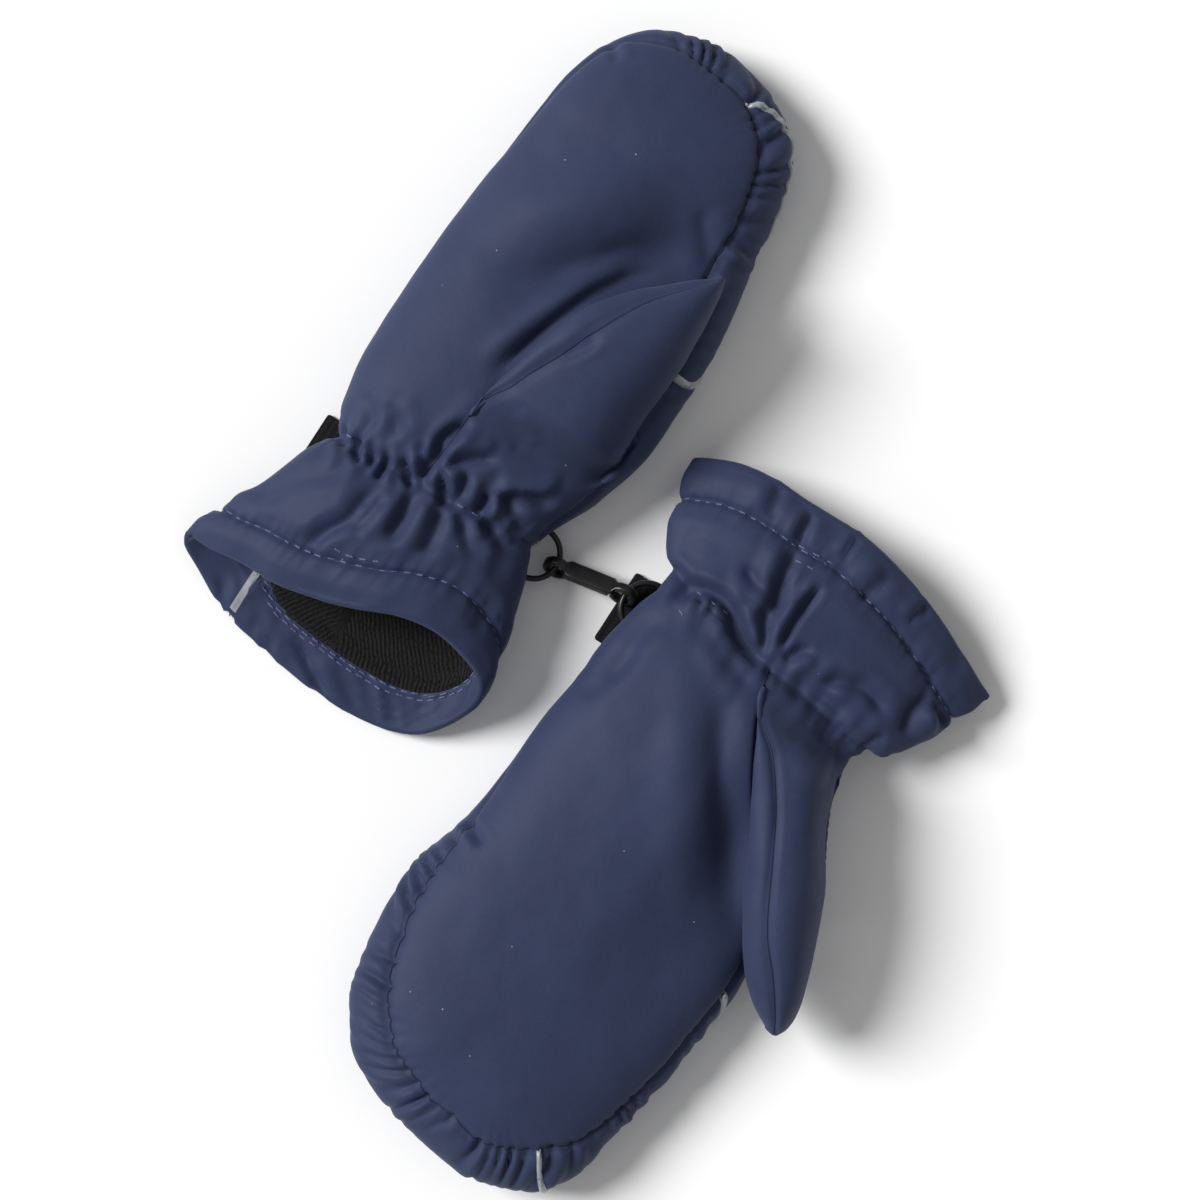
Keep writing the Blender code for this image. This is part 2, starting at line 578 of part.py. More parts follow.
def build_skin(mitten):
    skin = Skin(mitten.facing)
    fine_sections = [smooth_row(mitten.sections, r) for r in mitten.fine]
    coarse_sections = [smooth_row(mitten.sections, r) for r in mitten.coarse]
    tip_section = smooth_row(mitten.sections, TIP_REACH)
    apex = fine_sections[-1]

    def index_side(side, lifts=None, layer=""):
        """A half section's points in the skin, with their places on the back's flat pattern."""
        edge = side["under"][0]
        mid = side["flat"][-1]
        out = Vector((edge.x - mid.x, edge.y - mid.y, 0.0)).normalized()
        column = {}
        for stretch, points in side.items():
            row = []
            for k, p in enumerate(points):
                pattern = None
                if stretch == "strip":
                    rise = sum((a - b).length for a, b in zip(points[k:], points[k + 1:]))
                    pattern = (edge.x + out.x * rise, edge.y + out.y * rise)
                elif stretch in ("under", "flat"):
                    pattern = (p.x, p.y)
                lift = lifts[stretch][k] if lifts else 0.0
                wall = STRIP_WALL if stretch == "strip" else WALL
                row.append(skin.point(p, lift, pattern, layer, wall))
            column[stretch] = row
        return column

    def lifted(side, folds):
        """Folds on the palm side, and shallower ones below, where the cloth rests."""
        lifts = {}
        for stretch, points in side.items():
            share = 1.0 if stretch == "top" else 0.45
            lifts[stretch] = [fold_lift(folds, p) * share for p in points]
        return lifts

    # The cuff, from its open edge up to the elastic.
    mouth = mouth_sides(mitten, FINE_ROWS)
    belly = section_sides(mitten.belly, FINE_ROWS)
    wrist = section_sides(fine_sections[0], FINE_ROWS)
    steps = len(HEM_STEPS) + CUFF_STEPS
    cuff = []
    for half in (0, 1):
        stations = []
        for step in range(steps - 1):
            side, lifts = {}, {}
            for stretch in FINE_ROWS:
                side[stretch], lifts[stretch] = [], []
                for a, b, c in zip(mouth[half][stretch], belly[half][stretch], wrist[half][stretch]):
                    first, whole = (b - a).length, (b - a).length + (c - b).length
                    if step < len(HEM_STEPS):
                        at = HEM_STEPS[step]
                    else:
                        rest = (step - len(HEM_STEPS) + 1) / CUFF_STEPS
                        at = HEM_STEPS[-1] + (whole - HEM_STEPS[-1]) * rest
                    ahead = c + (c - b) * 0.25
                    if at <= first:
                        spans = (first, first, whole - first)
                        p = hermite(a - (b - a) * 0.6, a, b, c, at / first, spans)
                    else:
                        spans = (first, whole - first, whole - first)
                        p = hermite(a, b, c, ahead, (at - first) / (whole - first), spans)
                    p.z = max(p.z, 0.0)
                    side[stretch].append(p)
                    share = 1.0 if stretch == "top" else 0.45
                    lifts[stretch].append(hem_lift(at) + fold_lift(mitten.folds, p) * share)
            stations.append(index_side(side, lifts))
        cuff.append(stations)

    # The hand, from the elastic to where the tip begins.
    hand = ([], [])
    for section in fine_sections:
        for half, side in enumerate(section_sides(section, FINE_ROWS)):
            hand[half].append((section, index_side(side, lifted(side, mitten.folds))))
    for section in coarse_sections + [tip_section]:
        left, right = section_sides(section, COARSE_ROWS)
        hand[0].append((section, index_side(left)))
        hand[1].append((section, index_side(right)))

    # Between the thumb's root and its fork, the palm's edge slants across to the seam.
    fork_column = None
    palm_right = []
    for section, column in hand[1]:
        share = (section.reach - apex.reach) / (mitten.crotch - apex.reach)
        if share < 0 or share > 1 + 1e-6:
            palm_right.append(column["top"])
            continue
        dense = section_sides(section, dict(COARSE_ROWS, top=CURVE_SAMPLES))[1]["top"]
        kept = round(CURVE_SAMPLES * min(max(share, 0.0), 1.0) ** mitten.slant)
        if kept == 0:
            palm_right.append([column["top"][0]] * (COARSE_ROWS["top"] + 1))
        elif kept >= CURVE_SAMPLES:
            palm_right.append(column["top"])
            fork_column = column
        else:
            palm_right.append([skin.point(p) for p in resample(dense[: kept + 1], 4)])

    # The rounded tip, whose cloth is gathered along the palm's seam.
    edges = smooth_path([(e.x, e.reach, e.inset) for e in mitten.tip], FAN_COLUMNS)
    mid = Vector((tip_section.mid_x, TIP_REACH, 0.0))
    fan = []
    for i, e in enumerate(edges[1:-1], start=1):
        share = i / FAN_COLUMNS
        edge_z = tip_section.left_z + (tip_section.right_z - tip_section.left_z) * share
        side = half_section(
            mid, Vector((e.x, e.y, edge_z)), tip_section.crown, 0.0, 0.0, e.z, COARSE_ROWS
        )
        wave = GATHER_DEPTH * math.cos(2 * math.pi * i / 3) * min(1.0, 5 * share, 5 * (1 - share))
        lifts = {
            "top": [0.0] * 5, "strip": [0.25 * wave, wave, wave, 0.8 * wave],
            "under": [0.8 * wave, 0.45 * wave, 0.0, 0.0, 0.0], "flat": [0.0, 0.0],
        }
        fan.append(index_side(side, lifts))

    # Faces, left side up, round the tip and down the right side.
    left = cuff[0] + [column for _, column in hand[0]]
    right = cuff[1] + [column for _, column in hand[1]]
    tops = [column["top"] for column in cuff[1]] + palm_right
    order = left + fan + right[::-1]
    order_tops = [c["top"] for c in left + fan] + tops[::-1]
    apex_at = len(order) - 1 - (len(cuff[1]) + len(fine_sections) - 1)
    for i, (a, b) in enumerate(zip(order, order[1:])):
        for stretch in ("strip", "under", "flat"):
            skin.strip("back", a[stretch], b[stretch])
        if i < apex_at:
            skin.strip("palm", order_tops[i], order_tops[i + 1])
        else:
            skin.strip("thumb_side", a["top"], b["top"])

    build_thumb(mitten, skin, hand[1], palm_right, fork_column)
    return skin, cuff


def build_thumb(mitten, skin, hand_right, palm_right, fork_column):
    """The thumb: a leaf on the palm's side and the side piece that runs up from the cuff."""
    apex_reach = mitten.fine[-1]
    columns = []
    for (section, column), palm_top in zip(hand_right, palm_right):
        if apex_reach < section.reach < mitten.crotch:
            start = skin.base[palm_top[-1]] + Vector((0.0, 0.0, LEAF_GAP))
            end = skin.base[column["top"][-1]]
            columns.append(thumb_column(mitten, skin, section.reach, start, end, column["top"][-1]))
    fork = skin.base[fork_column["top"][-1]]
    meet = fork + Vector((0.0, 0.0, LEAF_GAP))
    columns.append(thumb_column(mitten, skin, mitten.crotch, meet, meet, None))
    for reach in mitten.free:
        share = (reach - mitten.crotch) / (mitten.thumb_tip.y - mitten.crotch)
        x = fork.x + (mitten.thumb_tip.x - fork.x) * share - 3.0 * math.sin(math.pi * share)
        low = max(palm_height(mitten, x, reach) + REST_GAP, smooth_row(mitten.thumb, reach).low)
        meet = Vector((x, reach, low))
        columns.append(thumb_column(mitten, skin, reach, meet, meet, None))
    pole = skin.point(mitten.thumb_tip, 0.0, None, "thumb", 0.9)
    leaf = [[pole] * (LEAF_ROWS + 1)] + [c[0] for c in columns[::-1]]
    side = [[pole] * (THUMB_SIDE_ROWS + 1)] + [c[1] for c in columns[::-1]]
    root = [column for section, column in hand_right if section.reach == apex_reach][0]
    side.append(root["top"])
    leaf.append([root["top"][0]] * (LEAF_ROWS + 1))
    for a, b in zip(leaf, leaf[1:]):
        skin.strip("thumb_leaf", a, b)
    for a, b in zip(side, side[1:]):
        skin.strip("thumb_side", a, b)


def palm_height(mitten, x, reach):
    """The height of the hand's palm side at a place, as if it had no thumb."""
    section = smooth_row(mitten.sections, reach)
    halves = section_sides(section, dict(COARSE_ROWS, top=24, strip=12))
    best = min(section.left_z, section.right_z)
    for half in halves:
        points = half["top"] + half["strip"][1:]
        for a, b in zip(points, points[1:]):
            low, high = min(a.x, b.x), max(a.x, b.x)
            if low <= x <= high and high - low > 1e-6:
                best = max(best, a.z + (b.z - a.z) * (x - a.x) / (b.x - a.x))
    return best


def thumb_column(mitten, skin, reach, start, end, end_index):
    """The thumb's section at one reach, as the leaf's points and the side piece's points."""
    row = smooth_row(mitten.thumb, reach)
    palm = palm_height_cached(mitten, row.left, reach)
    left_z = palm + LEFT_SHARE * (row.top - palm)
    wall = min(max(WALL_SHARE * min(row.top - palm, row.right - row.left), 0.7), THUMB_WALL)
    middle = (row.left + row.right) / 2
    power = 2 / THUMB_POWER

    def quarter(turn):
        wide, high = abs(math.cos(turn)) ** power, abs(math.sin(turn)) ** power
        if turn < 0:
            return start.x - (start.x - row.left) * wide, left_z - (left_z - start.z) * high
        if turn < math.pi / 2:
            return middle - (middle - row.left) * wide, left_z + (row.top - left_z) * high
        if turn < math.pi:
            return middle + (row.right - middle) * wide, row.right_z + (row.top - row.right_z) * high
        return end.x + (row.right - end.x) * wide, row.right_z - (row.right_z - end.z) * high

    def arc(first, last):
        points = []
        for i in range(CURVE_SAMPLES + 1):
            turn = first + (last - first) * i / CURVE_SAMPLES
            x, z = quarter(turn)
            gap = REST_GAP if end_index is None or x < start.x - 2.0 else LEAF_GAP
            if turn < 0 or (end_index is None and turn > math.pi):
                z = max(z, palm_height_cached(mitten, x, reach) + gap)
            along = (turn + math.pi / 2) / (2 * math.pi)
            points.append(Vector((x, start.y + (end.y - start.y) * along, z)))
        return points

    if row.ridge < middle:
        ridge_turn = math.acos(((middle - row.ridge) / (middle - row.left)) ** (1 / power))
    else:
        ridge_turn = math.pi - math.acos(
            ((row.ridge - middle) / (row.right - middle)) ** (1 / power)
        )
    leaf = resample(arc(-math.pi / 2, ridge_turn), LEAF_ROWS)
    side = resample(arc(ridge_turn, 1.5 * math.pi), THUMB_SIDE_ROWS)
    leaf[0], side[-1] = start.copy(), end.copy()
    side[0] = leaf[-1].copy()

    def index(point):
        return skin.point(point, fold_lift(mitten.folds, point), None, "thumb", wall)

    leaf_row = [index(p) for p in leaf]
    side_row = [leaf_row[-1]] + [index(p) for p in side[1:]]
    if end_index is not None:
        side_row[-1] = end_index
    else:
        side_row[-1] = leaf_row[0]
    return leaf_row, side_row


HEIGHTS = {}


def palm_height_cached(mitten, x, reach):
    """The palm's height from a table kept for each reach, half a millimetre apart."""
    key = (mitten.name, round(reach, 3), round(x * 2))
    if key not in HEIGHTS:
        HEIGHTS[key] = palm_height(mitten, round(x * 2) / 2, reach)
    return HEIGHTS[key]


def build_mitten(mitten):
    skin, cuff = build_skin(mitten)
    normals = skin.normals([face for faces in skin.pieces.values() for face in faces])
    crescent = skin.cut("back", line_distance(mitten.crescent), "back_crescent", "back_main")
    cuff_piping = skin.cut("back_main", line_distance(mitten.cuff_line), "back_main", "back_cuff")
    skin.pieces["piping_crescent"] = crescent
    skin.pieces["piping_cuff"] = cuff_piping
    skin.find_rim()
    pieces = skin.pieces
    normals = skin.normals([face for faces in pieces.values() for face in faces])
    for piece, faces in sorted(pieces.items()):
        colour = REFLECTIVE if piece.startswith("piping") else NAVY_BACK
        if piece in ("palm", "thumb_side", "thumb_leaf"):
            colour = NAVY
        roughness = 0.35 if piece.startswith("piping") else 0.7
        gap = SEAM_GAPS.get(piece, SEAM_GAP / 2)
        name = f"{mitten.name}_{piece}"
        seam_wall = LEAF_WALL if piece == "thumb_leaf" else SEAM_WALL
        wall_object(
            skin, name, faces, normals, colour, roughness, gap=gap, seam_wall=seam_wall
        )
    build_lining(mitten, skin, cuff, normals)


def build_lining(mitten, skin, cuff, normals):
    """The black fleece tube inside the cuff, from the hem's facing to the elastic."""
    stations = [HEM_STEPS.index(12.6), len(HEM_STEPS) - 1, len(HEM_STEPS), len(HEM_STEPS) + 2]
    before = dict(skin.pieces)
    skin.pieces = {}
    for a, b in zip(stations, stations[1:]):
        for half, sign in ((0, 1), (1, -1)):
            for stretch in ("top", "under", "flat"):
                first = cuff[half][a][stretch][::2]
                second = cuff[half][b][stretch][::2]
                pair = (first, second) if sign > 0 else (second, first)
                skin.strip("lining", *pair)
    faces = skin.pieces["lining"]
    skin.pieces = before
    outer = -(WALL + LINING_GAP)
    wall_object(skin, f"{mitten.name}_lining", faces, normals, FLEECE, 0.95, outer, LINING_WALL)


# ---- Strap, rings and clip -------------------------------------------------------------------
def plate_object(name, outlines, thickness, bevel, turn, place, colour, roughness):
    """A flat plate cut to outlines, its edges bevelled, turned and put in its place.

    The first outline runs round the plate and the next ones round its holes, the other way.
    """
    mesh = bmesh.new()
    caps = {-1: [], 1: []}
    for outline in outlines:
        flat = [Vector((x, y, 0.0)) for x, y in outline]
        inset = []
        for before, here, after in zip(flat[-1:] + flat[:-1], flat, flat[1:] + flat[:1]):
            along = (here - before).normalized() + (after - here).normalized()
            inset.append(here + Vector((-along.y, along.x, 0.0)).normalized() * bevel)
        half = thickness / 2
        levels = [(inset, -half), (flat, bevel - half), (flat, half - bevel), (inset, half)]
        if bevel == 0.0:
            levels = [(flat, -half), (flat, half)]
        loops = []
        for points, height in levels:
            placed = [turn @ Vector((p.x, p.y, height)) + place + SHIFT for p in points]
            loops.append([mesh.verts.new(p * MM) for p in placed])
        for low, high in zip(loops, loops[1:]):
            for i in range(len(flat)):
                k = (i + 1) % len(flat)
                mesh.faces.new((low[i], low[k], high[k], high[i]))
        for side, loop in ((-1, loops[0]), (1, loops[-1])):
            caps[side] += [
                mesh.edges.get((loop[i], loop[(i + 1) % len(loop)])) for i in range(len(loop))
            ]
    for edges in caps.values():
        bmesh.ops.triangle_fill(mesh, use_beauty=True, use_dissolve=False, edges=edges)
    bmesh.ops.recalc_face_normals(mesh, faces=mesh.faces)
    return make_object(name, mesh, colour, roughness)


def arc_points(centre_x, centre_y, radius, first, last, steps):
    """Points along an arc, its angles in degrees."""
    turns = [math.radians(first + (last - first) * i / steps) for i in range(steps + 1)]
    return [(centre_x + radius * math.cos(t), centre_y + radius * math.sin(t)) for t in turns]


def rounded_box(low_x, low_y, high_x, high_y, radius, steps=2):
    """A rectangle's outline with rounded corners."""
    corners = (
        (high_x - radius, high_y - radius, 0), (low_x + radius, high_y - radius, 90),
        (low_x + radius, low_y + radius, 180), (high_x - radius, low_y + radius, 270),
    )
    outline = []
    for x, y, first in corners:
        outline += arc_points(x, y, radius, first, first + 90, steps)
    return outline


def build_ring(name, centre, tilt_axis, tilt):
    """A round wire ring of black plastic."""
    mesh = bmesh.new()
    loops = []
    for i in range(RING_STEPS):
        turn = 2 * math.pi * i / RING_STEPS
        out = Vector((math.cos(turn), math.sin(turn), 0.0))
        loop = []
        for j in range(WIRE_STEPS):
            roll = 2 * math.pi * j / WIRE_STEPS
            p = out * (RING_RADIUS + WIRE_RADIUS * math.cos(roll))
            p.z = WIRE_RADIUS * math.sin(roll)
            p = Matrix.Rotation(math.radians(tilt), 3, tilt_axis) @ p + centre + SHIFT
            loop.append(mesh.verts.new(p * MM))
        loops.append(loop)
    for a, b in zip(loops, loops[1:] + loops[:1]):
        for j in range(WIRE_STEPS):
            k = (j + 1) % WIRE_STEPS
            mesh.faces.new((a[j], b[j], b[k], a[k]))
    make_object(name, mesh, PLASTIC, 0.4)


def build_strap(name, outer_x, inner_x, low_y, high_y):
    """The flat webbing across the back of the wrist, which shows at the little finger's side."""
    outline = rounded_box(
        min(outer_x, inner_x), low_y, max(outer_x, inner_x), high_y, STRAP_CORNER
    )
    place = Vector((0.0, 0.0, STRAP_LIFT + STRAP_THICK / 2))
    plate_object(name, [outline], STRAP_THICK, 0.3, Matrix.Identity(3), place, WEBBING, 0.9)


def build_ring_loop(name, wire, outward):
    """The fold of webbing on the strap that holds the ring by its wire."""
    low = STRAP_LIFT + STRAP_THICK + SEAM_GAP - wire.z
    inner, outer = -LOOP_REACH * outward, WIRE_RADIUS * 1.4 * outward
    room = WIRE_RADIUS + LOOP_ROOM
    hole = rounded_box(min(inner, outer), -room, max(inner, outer), room, 0.9)
    left, right = min(inner, outer) - LOOP_WALL, max(inner, outer) + LOOP_WALL
    shell = rounded_box(left, low, right, room + LOOP_WALL, 1.2)
    turn = Matrix.Rotation(math.pi / 2, 3, "X")
    plate_object(name, [shell, hole[::-1]], LOOP_WIDTH, 0.0, turn, wire, WEBBING, 0.9)


def build_clip():
    """The snap clip: an eye on the first ring and a sprung hook on the second, with its tongue."""
    eye_side = math.degrees(math.asin(CLIP_HALF / EYE_OUTER))
    hook_side = math.degrees(math.asin(CLIP_HALF / HOOK_OUTER))
    hole_side = math.degrees(math.asin(SPINE_EDGE / HOOK_HOLE))
    gap_x = CLIP_SPAN - HOOK_OUTER * math.cos(math.radians(hook_side)) - 0.2
    outline = [(gap_x - CLIP_MOUTH, -CLIP_HALF)]
    outline += arc_points(0, 0, EYE_OUTER, -eye_side, -360 + eye_side, 18)
    outline += arc_points(CLIP_SPAN, 0, HOOK_OUTER, 180 - hook_side, -180 + hook_side, 20)
    outline += [(gap_x, -CLIP_HALF), (gap_x, -TONGUE_EDGE)]
    outline += arc_points(CLIP_SPAN, 0, HOOK_HOLE, -150, 180 - hole_side, 16)
    outline += [(EYE_OUTER + 2.2, SPINE_EDGE), (EYE_OUTER + 1.2, 0.0)]
    outline += [(EYE_OUTER + 2.2, -TONGUE_EDGE), (gap_x - CLIP_MOUTH, -TONGUE_EDGE)]
    outline = outline[::-1]
    hole = arc_points(0, 0, EYE_HOLE, 360, 24, 14)
    along = (CLIP_HOOK - CLIP_EYE).normalized()
    across = Vector((0.0, math.cos(CLIP_LEAN), math.sin(CLIP_LEAN)))
    across = (across - along * across.dot(along)).normalized()
    turn = Matrix((along, across, along.cross(across))).transposed()
    plate_object("clip", [outline, hole], CLIP_THICK, 0.45, turn, CLIP_EYE, PLASTIC, 0.4)


def build_hardware():
    build_strap("right_strap", -103.8, -30.5, -17.5, 7.5)
    build_strap("left_strap", 5.5, 66.0, -6.5, 18.5)
    build_ring("right_ring", RIGHT_RING, "X", 3.0)
    build_ring("left_ring", LEFT_RING, "Y", LEFT_TILT)
    build_ring_loop("right_ring_loop", RIGHT_RING + Vector((-RING_RADIUS, 0.0, 0.0)), -1)
    drop = RING_RADIUS * math.sin(math.radians(LEFT_TILT))
    far = Vector((RING_RADIUS * math.cos(math.radians(LEFT_TILT)), 0.0, -drop))
    build_ring_loop("left_ring_loop", LEFT_RING + far, 1)
    build_clip()


def main():
    for existing in list(bpy.data.objects):
        bpy.data.objects.remove(existing)
    for mitten in MITTENS:
        build_mitten(mitten)
    build_hardware()


main()
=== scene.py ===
"""A pair of padded ski mittens, palms up, clipped together at the wrists by a snap clip.

Everything is in the frame of the solids: metres in the meshes, millimetres in the tables. A
mitten's own coordinates are x across the pair, reach from the pair's middle line towards its
finger tips, and z up from the surface. The left mitten reaches the other way.
"""

import logging
import math
from dataclasses import dataclass, field
from enum import Enum
from functools import cached_property, lru_cache
from typing import Any, Callable, NamedTuple, Optional, Sequence, TypeVar, Union

import bmesh
import bpy
import numpy as np
from mathutils import Matrix, Vector, noise
from mathutils.bvhtree import BVHTree
from mathutils.kdtree import KDTree


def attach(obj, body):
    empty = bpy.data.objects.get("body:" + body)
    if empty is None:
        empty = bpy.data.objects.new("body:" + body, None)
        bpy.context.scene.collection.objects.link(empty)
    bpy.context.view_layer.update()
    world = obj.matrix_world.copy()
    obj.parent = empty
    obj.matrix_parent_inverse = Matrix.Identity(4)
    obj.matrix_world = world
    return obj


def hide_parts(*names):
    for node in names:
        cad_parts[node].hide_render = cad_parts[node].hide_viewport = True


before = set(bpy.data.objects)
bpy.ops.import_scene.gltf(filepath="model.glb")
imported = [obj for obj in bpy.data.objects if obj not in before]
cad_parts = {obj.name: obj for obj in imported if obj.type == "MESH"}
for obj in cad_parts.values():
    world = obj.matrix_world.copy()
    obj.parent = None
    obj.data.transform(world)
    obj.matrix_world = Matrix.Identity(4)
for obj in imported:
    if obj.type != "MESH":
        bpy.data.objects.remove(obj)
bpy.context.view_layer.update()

log = logging.getLogger("mittens")

MM = 0.001
SHIFT = Vector((-1.0, -0.6, 0.0))   # brings the middle of the pair over the origin
FAR = 1.0e6                         # stands for "not near this line at all"
SAMPLES = 60                        # points on a section's curve before it is spaced evenly

WALL = 3.4              # outer cloth, wadding and lining together
THUMB_WALL = 2.8
THUMB_WALL_LEAST = 0.7
REST_GAP = 0.9          # between the thumb and the palm it lies on
TIP_REACH = 125.0       # where the straight hand ends and the rounded tip begins
FLAT_SHARE = 0.6        # how much of a section's width lies flat on the surface
UNDER_POWER = 2.6       # how full the rounding is: 2 is an ellipse, more is squarer
CROWN_POWER = 2.2
THUMB_POWER = 2.15
WALL_SHARE = 0.25       # the thumb's wall against its thickness, where it is thin
LEFT_SHARE = 0.42       # how far up the thumb its left side is widest
HEM_BAND = 14.0         # from the cuff's edge to its stitch line
PIPING_HALF = 1.3
LIP_REACH = -45.0       # the cuffs' lower lips lie beyond this


# ---- Tables ----------------------------------------------------------------------------------
class Section(NamedTuple):
    """A section across the hand: its outline's ends, heights, and how far the seam lies in."""

    reach: float
    left_x: float
    left_reach: float
    right_x: float
    right_reach: float
    mid_x: float
    left_z: float
    right_z: float
    crown: float
    dip: float
    floor: float
    left_inset: float
    right_inset: float


class Edge(NamedTuple):
    """A point on the tip's outline, and how far inside it the palm's seam runs."""

    x: float
    reach: float
    inset: float


class Mouth(NamedTuple):
    """A point on the cuff's open edge, by its turn in degrees from the top."""

    turn: float
    x: float
    reach: float
    z: float


class Thumb(NamedTuple):
    """A section of the thumb."""

    reach: float
    left: float
    right: float
    ridge: float
    top: float
    right_z: float
    low: float


class Fold(NamedTuple):
    """A crease in the cloth: a soft trough from one point to another."""

    x0: float
    reach0: float
    x1: float
    reach1: float
    depth: float
    width: float


class Crease(NamedTuple):
    """A crease through a few places (x, reach); below zero deep, it stands up as a ridge."""

    line: Sequence[tuple[float, float]]
    depth: float
    width: float


class Way(NamedTuple):
    """A point along a path, keyed by its length."""

    length: float
    x: float
    y: float
    z: float


@dataclass(frozen=True)
class Cut:
    """Everything that makes one mitten: its tables and where its lines run.

    The tables run along the hand; facing is 1 or -1 for the way it points. The thumb comes free
    of the palm at the crotch and starts at the apex, and slant says how steeply the palm's seam
    crosses from one to the other. An elastic is a line x, reach to x, reach. The facing is wider
    by its extra where x is below full and plain past none. The relief is calmed round some places
    (x, reach, room), where many faces meet.
    """

    name: str
    facing: int
    sections: Sequence[Section]
    belly: Section
    tip: Sequence[Edge]
    mouth: Sequence[Mouth]
    mouth_sides: tuple[float, float]
    thumb: Sequence[Thumb]
    thumb_tip: tuple[float, float, float]
    crotch: float
    slant: float
    apex: float
    folds: Sequence[Fold]
    creases: Sequence[Crease]
    lip: Sequence[Crease]
    crescent: Sequence[tuple[float, float]]
    cuff_line: Sequence[tuple[float, float]]
    elastic: tuple[float, float, float, float]
    gathers: tuple[float, float]
    seed: float
    wide_facing: tuple[float, float, float]
    calm: Sequence[tuple[float, float, float]]
    facing_tape: float


# ---- Curves ----------------------------------------------------------------------------------
Row = TypeVar("Row", bound=tuple)
Value = TypeVar("Value", float, Vector)


def hermite(
    before: Value, start: Value, end: Value, after: Value, share: float,
    spans: tuple[float, float, float],
) -> Value:
    """A smooth value between two others.

    Args:
        before: The value before the start.
        start: The value at the start.
        end: The value at the end.
        after: The value after the end.
        share: How far along from start to end, from 0 to 1.
        spans: The lengths before, between and after.

    Returns:
        The value there, of the same kind as the ones given.
    """
    lead, span, trail = spans
    out = (end - before) / (lead + span) * span
    into = (after - start) / (span + trail) * span
    s2, s3 = share * share, share * share * share
    return (
        start * (2 * s3 - 3 * s2 + 1) + out * (s3 - 2 * s2 + share)
        + end * (3 * s2 - 2 * s3) + into * (s3 - s2)
    )


def smooth_row(rows: Sequence[Row], key: float) -> Row:
    """The table's columns at a key between two rows, as a smooth curve through the rows.

    Args:
        rows: Rows of one named tuple, their first column rising.
        key: The value of the first column that is wanted.

    Returns:
        A row of the same named tuple.
    """
    keys = [row[0] for row in rows]
    key = min(max(key, keys[0]), keys[-1])
    at = max(i for i in range(len(rows) - 1) if keys[i] <= key + 1e-9)
    lead, trail = max(at - 1, 0), min(at + 2, len(rows) - 1)
    span = keys[at + 1] - keys[at]
    spans = (max(keys[at] - keys[lead], 1e-9), span, max(keys[trail] - keys[at + 1], 1e-9))
    share = (key - keys[at]) / span
    values = [
        hermite(rows[lead][c], rows[at][c], rows[at + 1][c], rows[trail][c], share, spans)
        for c in range(len(rows[0]))
    ]
    return type(rows[0])(*values)


def resample(points: Sequence[Vector], cells: int) -> list[Vector]:
    """Points evenly spaced along a line of many points.

    Args:
        points: The line.
        cells: How many equal steps to make.

    Returns:
        One point more than there are steps.
    """
    line = np.array(points, float)
    steps = np.linalg.norm(np.diff(line, axis=0), axis=1)
    lengths = np.concatenate(([0.0], np.cumsum(steps)))
    if lengths[-1] < 1e-6:
        return [points[0].copy() for _ in range(cells + 1)]
    wanted = np.linspace(0.0, lengths[-1], cells + 1)
    return [Vector(p) for p in zip(*(np.interp(wanted, lengths, line[:, k]) for k in range(3)))]


def smooth_path(points: Sequence[Sequence[float]], cells: int) -> list[Vector]:
    """Evenly spaced points on a smooth curve through a few points.

    Args:
        points: Two or three numbers each.
        cells: How many equal steps to make.

    Returns:
        One point more than there are steps.
    """
    full = [(*point, 0.0)[:3] for point in points]
    lengths = [0.0]
    for a, b in zip(full, full[1:]):
        lengths.append(lengths[-1] + math.dist(a, b))
    table = [Way(length, *point) for length, point in zip(lengths, full)]
    dense = [smooth_row(table, lengths[-1] * i / (cells * 4)) for i in range(cells * 4 + 1)]
    return resample([Vector((row.x, row.y, row.z)) for row in dense], cells)


def trimmed(points: Sequence[Vector], share: float, cells: int) -> list[Vector]:
    """The first part of a line, evenly spaced.

    Args:
        points: The whole line.
        share: How much of it is kept, from 0 to 1.
        cells: How many equal steps to make.

    Returns:
        One point more than there are steps.
    """
    at = share * (len(points) - 1)
    whole = min(int(at), len(points) - 2)
    last = points[whole].lerp(points[whole + 1], at - whole)
    return resample(list(points[: whole + 1]) + [last], cells)


class Rows:
    """How many cells each stretch of a section has."""

    TOP = 42
    STRIP = 9
    UNDER = 18
    FLAT = 7
    LEAF = 20
    STRETCHES = ("top", "strip", "under", "flat")


Side = dict[str, list[Vector]]      # half a section's places, by stretch
Column = dict[str, list[int]]       # the same as indices of a grid's points


